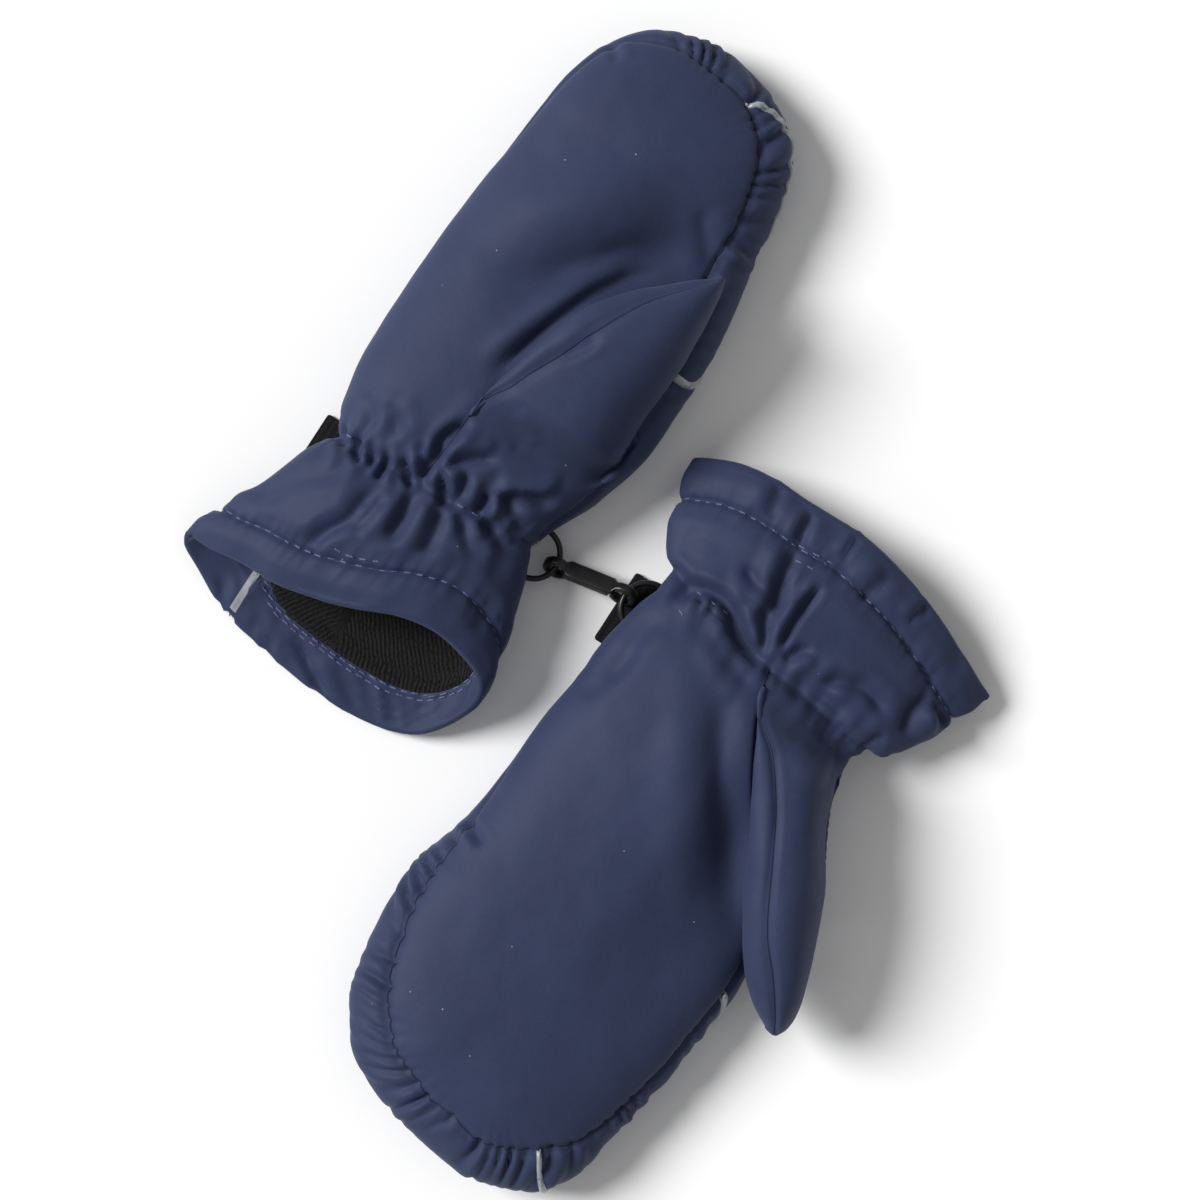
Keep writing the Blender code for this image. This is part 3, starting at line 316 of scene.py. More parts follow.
def half_section(
    mid: Vector, edge: Vector, crown: float, floor: float, dip: float, inset: float
) -> Side:
    """Half a hand's section, from the middle of the palm to the middle of the back.

    Args:
        mid: The section's middle, on the surface.
        edge: The outline's point.
        crown: The height in the middle of the palm.
        floor: The height of the back's lowest line.
        dip: How far the palm sinks beside the middle.
        inset: How far the palm's seam lies inside the outline.

    Returns:
        The points of its four stretches.
    """
    out = Vector((edge.x - mid.x, edge.y - mid.y, 0.0))
    seam_share = min(max(1.0 - inset / out.length, 0.0), 1.0)

    def over(turn: float) -> Vector:
        """A point of the upper side, by its turn from the middle.

        Args:
            turn: From 0 in the middle to a quarter turn at the edge.

        Returns:
            The point.
        """
        share = math.sin(turn) ** (2 / CROWN_POWER)
        height = edge.z + (crown - edge.z) * max(math.cos(turn), 0.0) ** (2 / CROWN_POWER)
        height -= dip * math.sin(math.pi * share) ** 2
        return Vector((mid.x + out.x * share, mid.y + out.y * share, height))

    def beneath(turn: float) -> Vector:
        """A point of the lower side, by its turn from the edge.

        Args:
            turn: From 0 at the edge to a quarter turn on the flat.

        Returns:
            The point.
        """
        share = FLAT_SHARE + (1 - FLAT_SHARE) * max(math.cos(turn), 0.0) ** (2 / UNDER_POWER)
        height = floor + (edge.z - floor) * (1 - math.sin(turn) ** (2 / UNDER_POWER))
        return Vector((mid.x + out.x * share, mid.y + out.y * share, height))

    floor = max(floor, 0.0)
    seam_turn = math.asin(seam_share ** (CROWN_POWER / 2))
    turns = [i / SAMPLES for i in range(SAMPLES + 1)]
    top = [over(seam_turn * t) for t in turns]
    strip = [over(seam_turn + (math.pi / 2 - seam_turn) * t) for t in turns]
    strip[-1] = edge.copy()
    if inset <= 0:
        top[-1] = edge.copy()
        strip = [edge.copy() for _ in turns]
    under = [beneath(math.pi / 2 * t) for t in turns]
    return {
        "top": resample(top, Rows.TOP), "strip": resample(strip, Rows.STRIP),
        "under": resample(under, Rows.UNDER),
        "flat": resample([under[-1], Vector((mid.x, mid.y, floor))], Rows.FLAT),
    }


def section_sides(section: Section) -> tuple[Side, Side]:
    """Both halves of the hand's section at one station.

    Args:
        section: The station's row.

    Returns:
        The left half and the right half, in the stretches of half_section.
    """
    s = section
    mid = Vector((s.mid_x, s.reach, 0.0))
    left = Vector((s.left_x, s.left_reach, s.left_z))
    right = Vector((s.right_x, s.right_reach, s.right_z))
    return (
        half_section(mid, left, s.crown, s.floor, 0.0, s.left_inset),
        half_section(mid, right, s.crown, s.floor, s.dip, s.right_inset),
    )


def mouth_sides(cut: Cut) -> list[Side]:
    """Both halves of the cuff's open edge, in the same stretches as a hand's section.

    Args:
        cut: The mitten.

    Returns:
        The left half and the right half.
    """
    table = list(cut.mouth) + [cut.mouth[0]._replace(turn=360)]
    right_turn, left_turn = cut.mouth_sides

    def arc(first: float, last: float) -> list[Vector]:
        """The edge's points between two turns.

        Args:
            first: The first turn, in degrees.
            last: The last one.

        Returns:
            The points.
        """
        turns = [first + (last - first) * i / SAMPLES for i in range(SAMPLES + 1)]
        found = [smooth_row(table, turn) for turn in turns]
        return [Vector((p.x, p.reach, max(p.z, 0.0))) for p in found]

    halves = []
    for side, top in ((left_turn, 360), (right_turn, 0)):
        lower = resample(arc(side, 180), Rows.UNDER + Rows.FLAT)
        halves.append({
            "top": resample(arc(top, side), Rows.TOP),
            "strip": [lower[0].copy() for _ in range(Rows.STRIP + 1)],
            "under": lower[: Rows.UNDER + 1], "flat": lower[Rows.UNDER:],
        })
    return halves


# ---- The cloth's grid ------------------------------------------------------------------------
@dataclass
class Grid:
    """The points of one mitten's cloth, welded where they meet, and each piece's faces.

    Besides its place a point keeps how it lies in the cloth: hem is its distance from the
    cuff's edge, past its distance beyond the palm's seam, around its place round the section
    and along its place round the outline.
    """

    facing: int
    base: list[Vector] = field(default_factory=list)
    facts: list[dict[str, float]] = field(default_factory=list)
    index: dict[tuple, int] = field(default_factory=dict)
    pieces: dict[str, list[list[int]]] = field(default_factory=dict)

    def point(self, base: Vector, layer: str = "", **facts: float) -> int:
        """The index of a point, which is new if nothing lies there yet.

        Args:
            base: Its place.
            layer: Keeps it apart from points of other layers in the same place.
            **facts: How it lies in the cloth.

        Returns:
            Its index.
        """
        key = (round(base.x, 3), round(base.y, 3), round(base.z, 3), layer)
        if key not in self.index:
            self.index[key] = len(self.base)
            self.base.append(base.copy())
            self.facts.append(dict(facts))
        found = self.index[key]
        for name, value in facts.items():
            self.facts[found].setdefault(name, value)
        return found

    def fact(self, name: str, missing: float) -> np.ndarray:
        """One fact of every point, or a stand-in where it has none."""
        return np.array([facts.get(name, missing) for facts in self.facts])

    def face(self, piece: str, corners: Sequence[int]) -> None:
        """Adds a face unless it has shrunk to a line.

        Args:
            piece: The piece that it belongs to.
            corners: Its points, seen from outside.
        """
        kept = [c for i, c in enumerate(corners) if c != corners[i - 1]]
        if len(set(kept)) == len(kept) >= 3:
            self.pieces.setdefault(piece, []).append(kept)

    def faces(self) -> list[list[int]]:
        """Every piece's faces in one list."""
        return [face for faces in self.pieces.values() for face in faces]

    def strip(self, piece: str, first: Sequence[int], second: Sequence[int]) -> None:
        """Adds the faces between two columns.

        Args:
            piece: The piece that they belong to.
            first: One column's points.
            second: The next column's points, as many.
        """
        for a, b, c, d in zip(first, second, second[1:], first[1:]):
            self.face(piece, (a, b, c, d))

    def split(self, piece: str, off: list[float], level: float, low: str, high: str) -> None:
        """Shares a piece's faces out along a line on it, cutting those that it crosses.

        Args:
            piece: The piece to cut, which is used up.
            off: Every point's distance from a line, to which new points are added.
            level: The distance at which to cut.
            low: The piece below it.
            high: The piece above it.
        """
        made: dict[tuple[int, int], int] = {}
        for face in self.pieces.pop(piece):
            value = [0.0 if abs(off[c] - level) < 0.04 else off[c] - level for c in face]
            if min(value) >= 0 or max(value) <= 0:
                self.face(high if sum(value) > 0 else low, face)
                continue
            parts: dict[int, list[int]] = {1: [], -1: []}
            for i, c in enumerate(face):
                k = (i + 1) % len(face)
                for sign, part in parts.items():
                    if value[i] * sign >= 0:
                        part.append(c)
                if value[i] * value[k] < 0:
                    key = (min(c, face[k]), max(c, face[k]))
                    if key not in made:
                        made[key] = self.between(c, face[k], value[i] / (value[i] - value[k]))
                        off.append(level)
                    parts[1].append(made[key])
                    parts[-1].append(made[key])
            self.face(high, parts[1])
            self.face(low, parts[-1])

    def between(self, a: int, b: int, share: float) -> int:
        """A new point between two others.

        Args:
            a: The first.
            b: The second.
            share: How far along it lies.

        Returns:
            Its index.
        """
        self.base.append(self.base[a].lerp(self.base[b], share))
        facts, other = self.facts[a], self.facts[b]
        self.facts.append({
            name: value + (other.get(name, value) - value) * share
            for name, value in facts.items()
        })
        return len(self.base) - 1

    def borders(self, first: str, second: str) -> list[tuple[int, int]]:
        """The edges where one group of pieces meets another.

        Args:
            first: What the names of the one group start with.
            second: What the names of the other start with.

        Returns:
            The edges, in the direction of the first group's faces.
        """
        def edges(start: str) -> set[tuple[int, int]]:
            """The directed edges of the pieces whose names start so.

            Args:
                start: What the names start with.

            Returns:
                Pairs of points.
            """
            return {
                (c, face[(i + 1) % len(face)])
                for name, faces in self.pieces.items() if name.startswith(start)
                for face in faces for i, c in enumerate(face)
            }

        others = edges(second)
        return [edge for edge in edges(first) if edge[::-1] in others]


class GridMaker:
    """Lays out one mitten's grid from its tables."""

    HEM_STEPS = (
        0.0, 0.4, 1.0, 1.8, 2.9, 4.2, 5.6, 7.0, 8.4, 9.8, 11.0, 12.1, 13.0, 13.6, HEM_BAND,
        14.4, 15.0, 16.0, 17.2, 18.6, 20.0,
    )
    CUFF_STEPS = 34
    STEP = 1.45             # between two stations of the hand
    FAN_COLUMNS = 132
    ROOT_LENGTH = 15.0      # over which the thumb rises from the hand
    THUMB_STEP = 1.3
    THUMB_BOW = 3.0         # how far the thumb's inner line bows out
    THUMB_CAPS = (0.4, 0.7, 0.9)    # the rings that close its tip, from the last section on
    FORK_WALL, TIP_WALL = 1.0, 0.8
    MOUTH_FLARE = 0.6       # how fast the cuff's curve leaves its open edge
    WRIST_EASE = 0.25       # and meets the wrist

    def __init__(self, cut: Cut) -> None:
        """Starts an empty grid for a mitten.

        Args:
            cut: The mitten.
        """
        self.cut = cut
        self.grid = Grid(cut.facing)
        self.rings: list[list[int]] = []

    def add_side(
        self, side: Side, sign: int, hems: Optional[list[float]] = None, along: float = 0.0
    ) -> Column:
        """Adds the points of half a section.

        Args:
            side: Its stretches.
            sign: -1 for the left half, 1 for the right.
            hems: Each point's distance from the cuff's edge, if it is on the cuff.
            along: Its place round the tip's outline.

        Returns:
            The stretches' indices.
        """
        edge, mid = side["under"][0], side["flat"][-1]
        out = Vector((edge.x - mid.x, edge.y - mid.y, 0.0)).normalized()
        seam_at = sum((a - b).length for a, b in zip(side["top"], side["top"][1:]))
        strip_length = sum((a - b).length for a, b in zip(side["strip"], side["strip"][1:]))
        column, gone, count = {}, 0.0, 0
        for level, stretch in enumerate(Rows.STRETCHES):
            row, before = [], side[stretch][0]
            for p in side[stretch]:
                gone += (p - before).length
                before = p
                facts = {
                    "around": sign * gone, "past": gone - seam_at, "along": along,
                    "level": float(level),
                }
                if hems is not None:
                    facts["hem"] = hems[count]
                if stretch == "strip":
                    rise = strip_length - (gone - seam_at)
                    facts["flat_x"] = edge.x + out.x * rise
                    facts["flat_y"] = edge.y + out.y * rise
                elif stretch in ("under", "flat"):
                    facts["flat_x"], facts["flat_y"] = p.x, p.y
                row.append(self.grid.point(p, **facts))
                count += 1
            column[stretch] = row
        return column

    def make_cuff(self, wrist: Section) -> tuple[list[Column], list[Column]]:
        """The cuff, from its open edge up to the elastic.

        Args:
            wrist: The hand's first section.

        Returns:
            The columns of the left and the right side.
        """
        mouth, belly = mouth_sides(self.cut), section_sides(self.cut.belly)
        ends = section_sides(wrist)
        sides: tuple[list[Column], list[Column]] = ([], [])
        steps = len(self.HEM_STEPS) + self.CUFF_STEPS
        for half, sign in ((0, -1), (1, 1)):
            for step in range(steps - 1):
                side, hems = {}, []
                for stretch in Rows.STRETCHES:
                    side[stretch] = []
                    for a, b, c in zip(
                        mouth[half][stretch], belly[half][stretch], ends[half][stretch]
                    ):
                        first, whole = (b - a).length, (b - a).length + (c - b).length
                        at = self.HEM_STEPS[min(step, len(self.HEM_STEPS) - 1)]
                        if step >= len(self.HEM_STEPS):
                            rest = (step - len(self.HEM_STEPS) + 1) / self.CUFF_STEPS
                            at += (whole - at) * rest
                        if at <= first:
                            spans = (first, first, whole - first)
                            before = a - (b - a) * self.MOUTH_FLARE
                            p = hermite(before, a, b, c, at / first, spans)
                        else:
                            spans = (first, whole - first, whole - first)
                            share = (at - first) / (whole - first)
                            p = hermite(a, b, c, c + (c - b) * self.WRIST_EASE, share, spans)
                        p.z = max(p.z, 0.0)
                        side[stretch].append(p)
                        hems.append(at)
                sides[half].append(self.add_side(side, sign, hems))
        for left, right in zip(*sides):
            ring = []
            for column, backwards in ((left, False), (right, True)):
                line = [c for stretch in Rows.STRETCHES for c in column[stretch]]
                ring += line[::-1] if backwards else line
            self.rings.append([c for i, c in enumerate(ring) if c != ring[i - 1]])
        return sides

    @staticmethod
    @lru_cache(maxsize=None)
    def palm_profile(cut_name: str, reach: float) -> tuple[np.ndarray, np.ndarray]:
        """The palm's height across the hand at one reach, as if it had no thumb.

        Args:
            cut_name: The mitten's name.
            reach: The station.

        Returns:
            Rising x values and their heights.
        """
        left, right = section_sides(smooth_row(CUTS[cut_name].sections, reach))
        points = [p for stretch in ("top", "strip") for p in left[stretch]][::-1]
        points += [p for stretch in ("top", "strip") for p in right[stretch]]
        return np.array([p.x for p in points]), np.array([p.z for p in points])

    def palm_height(self, x: float, reach: float) -> float:
        """The palm's height at a place, as if it had no thumb."""
        return float(np.interp(x, *self.palm_profile(self.cut.name, round(reach, 2))))

    def make(self) -> Grid:
        """Lays out the whole mitten.

        Returns:
            Its grid.
        """
        cut, grid = self.cut, self.grid
        first = cut.sections[0].reach
        before = max(round((cut.apex - first) / self.STEP), 1)
        after = round((TIP_REACH - cut.apex) / self.STEP)
        reaches = list(np.linspace(first, cut.apex, before + 1))
        reaches += list(np.linspace(cut.apex, TIP_REACH, after + 1))[1:]
        crotch_at = min(range(len(reaches)), key=lambda i: abs(reaches[i] - cut.crotch))
        reaches[crotch_at] = cut.crotch
        sections = [smooth_row(cut.sections, reach) for reach in reaches]

        cuff = self.make_cuff(sections[0])
        hand: tuple[list[Column], list[Column]] = ([], [])
        for section in sections:
            for half, side in enumerate(section_sides(section)):
                sign = 1 if half else -1
                offset = section.reach - TIP_REACH
                hand[half].append(self.add_side(side, sign, None, offset))
        palm_right = self.make_palm_right(sections, hand[1])
        fan = self.make_tip(sections[-1])

        left, right = cuff[0] + hand[0], cuff[1] + hand[1]
        order = left + fan + right[::-1]
        tops = [c["top"] for c in left + fan]
        tops += ([c["top"] for c in cuff[1]] + palm_right)[::-1]
        apex_index = len(order) - 1 - (len(cuff[1]) + before)
        for i, (a, b) in enumerate(zip(order, order[1:])):
            for stretch in ("strip", "under", "flat"):
                grid.strip("back", a[stretch], b[stretch])
            if i < apex_index:
                grid.strip("palm", tops[i], tops[i + 1])
            else:
                grid.strip("thumb_side", a["top"], b["top"])
        self.make_thumb(reaches, hand[1], palm_right, before, crotch_at)
        return grid

    def make_palm_right(
        self, sections: Sequence[Section], hand: Sequence[Column]
    ) -> list[list[int]]:
        """The palm's right side, which the thumb's seam cuts short.

        Args:
            sections: The hand's sections.
            hand: Its right side's columns.

        Returns:
            One row of points a section, from the middle to the seam.
        """
        cut, rows = self.cut, []
        for section, column in zip(sections, hand):
            share = (section.reach - cut.apex) / (cut.crotch - cut.apex)
            if share <= -1e-6 or share >= 1 - 1e-6:
                rows.append(column["top"])
            elif share < 1e-6:
                rows.append([column["top"][0]] * (Rows.TOP + 1))
            else:
                places = [self.grid.base[c] for c in column["top"]]
                kept = trimmed(places, share ** cut.slant, Rows.TOP)
                rows.append([self.grid.point(p, level=0.0) for p in kept])
        return rows

    def make_tip(self, tip: Section) -> list[Column]:
        """The columns that fan out round the tip, and the way round for the hand's right side.

        Args:
            tip: The hand's last section.

        Returns:
            The columns between its left and its right side.
        """
        edges = smooth_path([(e.x, e.reach, e.inset) for e in self.cut.tip], self.FAN_COLUMNS)
        mid = Vector((tip.mid_x, TIP_REACH, 0.0))
        fan, gone = [], 0.0
        for i, e in enumerate(edges[1:-1], start=1):
            gone += math.dist(e[:2], edges[i - 1][:2])
            share = i / self.FAN_COLUMNS
            edge = Vector((e.x, e.y, tip.left_z + (tip.right_z - tip.left_z) * share))
            half = half_section(mid, edge, tip.crown, 0.0, 0.0, e.z)
            fan.append(self.add_side(half, 1, None, gone))
        for facts in self.grid.facts:
            if facts.get("around", 0.0) > 0 and facts.get("along", 0.0) < 0:
                facts["along"] = gone - facts["along"]
        return fan

    def make_thumb(
        self, reaches: list[float], hand: list[Column], palm: list[list[int]],
        apex_at: int, crotch_at: int,
    ) -> None:
        """The thumb: a leaf on the palm's side and the side piece that runs up from the cuff.

        Args:
            reaches: The hand's stations.
            hand: The right side's columns there.
            palm: The palm's right side there.
            apex_at: The station of the thumb's lower end.
            crotch_at: The station where the thumb comes free.
        """
        cut, grid = self.cut, self.grid
        columns = []
        for i in range(apex_at + 1, crotch_at):
            plain = [grid.base[c] for c in hand[i]["top"]]
            grown = float(fade(np.array(reaches[i]), cut.apex, cut.apex + self.ROOT_LENGTH))
            columns.append(self.thumb_column(
                reaches[i], palm[i][-1], hand[i]["top"][-1], plain, grown
            ))
        fork_at = hand[crotch_at]["top"][-1]
        columns.append(self.thumb_column(cut.crotch, fork_at, fork_at))
        fork, last = grid.base[fork_at], cut.thumb[-1].reach
        steps = max(round((last - cut.crotch) / self.THUMB_STEP), 2)
        for reach in np.linspace(cut.crotch, last, steps + 1)[1:]:
            share = (reach - cut.crotch) / (cut.thumb_tip[1] - cut.crotch)
            bow = self.THUMB_BOW * math.sin(math.pi * share)
            x = fork.x + (cut.thumb_tip[0] - fork.x) * share - bow
            low = max(self.palm_height(x, reach) + REST_GAP, smooth_row(cut.thumb, reach).low)
            meet = grid.point(Vector((x, reach, low)), "thumb", wall=self.FORK_WALL)
            columns.append(self.thumb_column(float(reach), meet, meet))
        end = Vector(cut.thumb_tip)
        rim = [[grid.base[c] for c in row] for row in columns[-1]]
        centre = sum((p for row in rim for p in row), Vector()) / sum(len(row) for row in rim)
        for share in self.THUMB_CAPS:
            shrink = math.sqrt(1 - share * share)
            rows = []
            for row in rim:
                placed = [centre + (p - centre) * shrink + (end - centre) * share for p in row]
                rows.append([grid.point(p, "thumb", wall=self.TIP_WALL) for p in placed])
            columns.append((rows[0], rows[1]))
        pole = grid.point(end, "thumb", wall=self.TIP_WALL)
        leaf = [[pole] * (Rows.LEAF + 1)] + [c[0] for c in columns[::-1]]
        side = [[pole] * (Rows.TOP + 1)] + [c[1] for c in columns[::-1]]
        root = hand[apex_at]["top"]
        side.append(root)
        leaf.append([root[0]] * (Rows.LEAF + 1))
        for a, b in zip(leaf, leaf[1:]):
            grid.strip("thumb_leaf", a, b)
        for a, b in zip(side, side[1:]):
            grid.strip("thumb_side", a, b)

    def thumb_column(
        self, reach: float, start_at: int, end_at: int,
        plain: Sequence[Vector] = (), grown: float = 1.0,
    ) -> tuple[list[int], list[int]]:
        """The thumb's section at one reach.

        Args:
            reach: The station.
            start_at: The point where the leaf begins.
            end_at: The point where the side piece ends.
            plain: The hand's own points, from which the side piece rises near its root.
            grown: How far it has risen, from 0 to 1.

        Returns:
            The leaf's points and the side piece's points.
        """
        start, end = self.grid.base[start_at], self.grid.base[end_at]
        row = smooth_row(self.cut.thumb, reach)
        palm = self.palm_height(row.left, reach)
        left_z = palm + LEFT_SHARE * (row.top - palm)
        thin = min(row.top - palm, row.right - row.left)
        wall = min(max(WALL_SHARE * thin, THUMB_WALL_LEAST), THUMB_WALL)
        middle, power = (row.left + row.right) / 2, 2 / THUMB_POWER
        free = start_at == end_at

        def quarter(turn: float) -> tuple[float, float]:
            """The section's x and z, by its turn from the start.

            Args:
                turn: From a quarter turn below 0, through the ridge, to three quarters.

            Returns:
                Both of them.
            """
            wide, high = abs(math.cos(turn)) ** power, abs(math.sin(turn)) ** power
            if turn < 0:
                return start.x - (start.x - row.left) * wide, left_z - (left_z - start.z) * high
            if turn < math.pi / 2:
                return middle - (middle - row.left) * wide, left_z + (row.top - left_z) * high
            if turn < math.pi:
                z = row.right_z + (row.top - row.right_z) * high
                return middle + (row.right - middle) * wide, z
            return end.x + (row.right - end.x) * wide, row.right_z - (row.right_z - end.z) * high

        def arc(first: float, last: float) -> list[Vector]:
            """The section's points between two turns, clear of the palm.

            Args:
                first: The first turn, in radians.
                last: The last one.

            Returns:
                The points.
            """
            points = []
            for turn in np.linspace(first, last, SAMPLES + 1):
                x, z = quarter(turn)
                if turn < 0 or (free and turn > math.pi):
                    z = max(z, self.palm_height(x, reach) + REST_GAP * abs(math.cos(turn)))
                along = (turn + math.pi / 2) / (2 * math.pi)
                points.append(Vector((x, start.y + (end.y - start.y) * along, z)))
            return points

        if row.ridge < middle:
            share = min(max((middle - row.ridge) / (middle - row.left), 0.0), 1.0)
            ridge = math.acos(share ** (1 / power))
        else:
            share = min(max((row.ridge - middle) / (row.right - middle), 0.0), 1.0)
            ridge = math.pi - math.acos(share ** (1 / power))
        leaf = resample(arc(-math.pi / 2, ridge), Rows.LEAF)
        side = resample(arc(ridge, 1.5 * math.pi), Rows.TOP)
        side[0] = leaf[-1].copy()
        if grown < 1.0:
            top = side[0].copy()
            side = [flat.lerp(full, grown) for flat, full in zip(plain, side)]
            moved = side[0] - top
            leaf = [p + moved * (k / Rows.LEAF) for k, p in enumerate(leaf)]
        leaf_row = [self.grid.point(p, "thumb", wall=wall) for p in leaf]
        side_row = [leaf_row[-1]] + [self.grid.point(p, "thumb", wall=wall) for p in side[1:]]
        leaf_row[0], side_row[-1] = start_at, end_at
        return leaf_row, side_row


# ---- The two mittens' tables ------------------------------------------------------------------
A_SECTIONS = (
    Section(4, -98.8, 3, -24.5, 6, -66.5, 16, 15, 31.0, 0, 8.0, 0.0, 0.0),
    Section(14, -101.6, 13, -22.8, 15, -65.3, 15, 14, 33.5, 0.5, 6.5, 0.0, 1.0),
    Section(30, -104.5, 30, -16.3, 30, -64.0, 14, 13, 36.0, 2.5, 0.0, 0.0, 2.5),
    Section(50, -105.0, 50, -11.2, 50, -63.0, 13.5, 12, 35.5, 5.5, 0.0, 0.0, 6.5),
    Section(75, -104.0, 75, -10.4, 75, -61.5, 13, 12, 34.5, 7.0, 0.0, 0.0, 8.0),
    Section(100, -101.9, 100, -12.4, 100, -60.5, 13, 12, 33.0, 5.0, 0.0, 0.0, 12.5),
    Section(125, -100.2, 125, -17.1, 125, -60.0, 13, 12.5, 31.0, 0, 0.0, 0.5, 9.5),
)
A_BELLY = Section(-14, -105.0, -14, -18.5, -15, -69.0, 15, 15, 32.5, 0, 6.0, 0.0, 0.0)
A_TIP = (
    Edge(-100.2, 125, 0.5), Edge(-99.5, 132, 0.8), Edge(-97.5, 141, 1.0), Edge(-94, 151, 1.2),
    Edge(-89, 159, 2.0), Edge(-82.5, 165, 4.0), Edge(-73, 169, 5.5), Edge(-62, 171, 8.0),
    Edge(-51, 170, 8.5), Edge(-41, 166.5, 8.0), Edge(-32, 162, 9.5), Edge(-25.5, 156.5, 10.5),
    Edge(-21, 149, 11.0), Edge(-18.5, 139, 10.5), Edge(-17.3, 130, 9.8), Edge(-17.1, 125, 9.5),
)
A_MOUTH = (
    Mouth(0, -70.5, -41.3, 28), Mouth(18, -62, -38, 30), Mouth(36, -50, -32.5, 32),
    Mouth(54, -38, -30, 31), Mouth(70, -27, -31.5, 27), Mouth(82, -18, -35, 22),
    Mouth(95, -13.5, -41, 17), Mouth(110, -15.5, -49.5, 11), Mouth(128, -22.5, -59.5, 5),
    Mouth(145, -33, -65, 1.2), Mouth(165, -50, -67.5, 0), Mouth(185, -66, -67, 0),
    Mouth(205, -82, -65, 0), Mouth(228, -98, -61.5, 0), Mouth(248, -112, -54.5, 2.0),
    Mouth(264, -119.2, -50.5, 6), Mouth(275, -120, -47.5, 9.5), Mouth(290, -112, -47.5, 14),
    Mouth(310, -101, -46, 18), Mouth(335, -86, -45, 23.5),
)
A_THUMB = (
    Thumb(30, -64, -16.3, -64, 36, 13, 0), Thumb(40, -63.3, -16.2, -60, 42.5, 17, 0),
    Thumb(50, -62, -17, -56, 44, 21, 0), Thumb(61, -60, -18, -50.5, 46, 25, 0),
    Thumb(72, -55, -17.3, -46, 47, 29, 0), Thumb(82, -48, -17, -41.5, 47, 31, 24),
    Thumb(93, -40, -17.5, -35.5, 45.5, 32, 26),
    Thumb(103, -30, -18.8, -27.5, 42, 33, 29),
    Thumb(108, -24, -20, -23, 38.5, 34.5, 32),
)
A_FOLDS = (
    Fold(-97, -8, -96, 14, 1.6, 2.2), Fold(-89, -7, -90, 16, 1.8, 2.2),
    Fold(-83, -10, -82, 17, 1.8, 2.2), Fold(-77, -9, -76, 14, 2.0, 2.4),
    Fold(-71, -6, -70, 19, 1.8, 2.2), Fold(-65, -12, -64, 21, 2.6, 2.6),
    Fold(-56, -8, -57, 15, 1.6, 2.4), Fold(-48, -11, -47, 16, 2.2, 2.6),
    Fold(-40, -9, -40, 14, 1.8, 2.4), Fold(-32, -7, -31, 14, 1.6, 2.4),
    Fold(-80, -3, -87, -31, 2.0, 3.0), Fold(-64, 31, -42, 35, 1.6, 3.0),
    Fold(-53, -8, -56, -20, 1.4, 3.0), Fold(-30, -12, -26, -26, 1.4, 3.2),
)
A_CRESCENT = (
    (-36.5, 186.0), (-35.4, 178.3), (-32.2, 171.0), (-28.2, 165.0), (-22.0, 157.5),
    (-18.0, 149.5), (-16.6, 141.0), (-18.5, 128.0), (-21.5, 116.0), (-20.5, 102.0),
    (-16.5, 90.0),
    (-11.0, 80.0), (-3.0, 76.0), (6.0, 76.0),
)
A_CUFF_LINE = (
    (-95.5, -80.0), (-95.5, -66.0), (-92.0, -52.0), (-82.0, -34.0), (-66.0, -17.0),
    (-46.0, -3.0), (-30.0, 5.5), (-14.0, 11.0), (4.0, 15.0),
)

B_SECTIONS = (
    Section(-16, 13.5, -22.5, 94.3, -7, 57.0, 15.5, 15, 28.5, 0, 9.2, 0.0, 0.0),
    Section(-11, 12.3, -15, 94.2, -2.5, 57.8, 15.5, 15, 30.8, 0, 9.2, 0.0, 0.0),
    Section(0, 9.9, -2, 95.0, 4, 58.0, 14, 13.5, 34.0, 1.0, 5.0, 0.0, 0.5),
    Section(15, 8.3, 14, 97.0, 17, 57.5, 13, 12, 35.5, 3.0, 0.0, 0.0, 2.0),
    Section(35, 5.2, 35, 99.6, 35, 56.5, 13, 12, 35.0, 5.5, 0.0, 0.0, 3.0),
    Section(55, 4.4, 55, 102.0, 55, 55.0, 13, 12, 34.0, 5.0, 0.0, 0.0, 2.0),
    Section(75, 2.6, 75, 104.0, 75, 53.0, 13, 12, 33.0, 3.0, 0.0, 1.5, 2.8),
    Section(95, -3.0, 95, 102.1, 95, 51.0, 13, 12, 32.0, 1.0, 0.0, 5.5, 3.0),
    Section(110, -3.4, 110, 100.4, 110, 50.0, 13, 12, 31.0, 0, 0.0, 7.0, 3.0),
    Section(125, -1.9, 125, 98.1, 125, 50.0, 13, 12, 30.0, 0, 0.0, 9.5, 4.3),
)
B_BELLY = Section(-31, 7.3, -31, 106.0, -16.5, 57.0, 14, 13, 27.0, 0, 7.0, 0.0, 0.0)
B_TIP = (
    Edge(-1.9, 125, 9.5), Edge(-0.5, 133, 10.8), Edge(2, 142, 12.5), Edge(7, 150, 13.5),
    Edge(12, 156.5, 14.0), Edge(20, 161, 14.0), Edge(28, 164, 13.5), Edge(38, 167, 12.5),
    Edge(50, 169, 13.5), Edge(62, 170, 13.0), Edge(72, 168.5, 13.5), Edge(79.5, 165.3, 14.0),
    Edge(86.5, 161, 14.0), Edge(91, 154.5, 12.5), Edge(94, 147, 9.0), Edge(95.2, 139, 6.0),
    Edge(96.8, 131, 4.5), Edge(98.1, 125, 4.3),
)
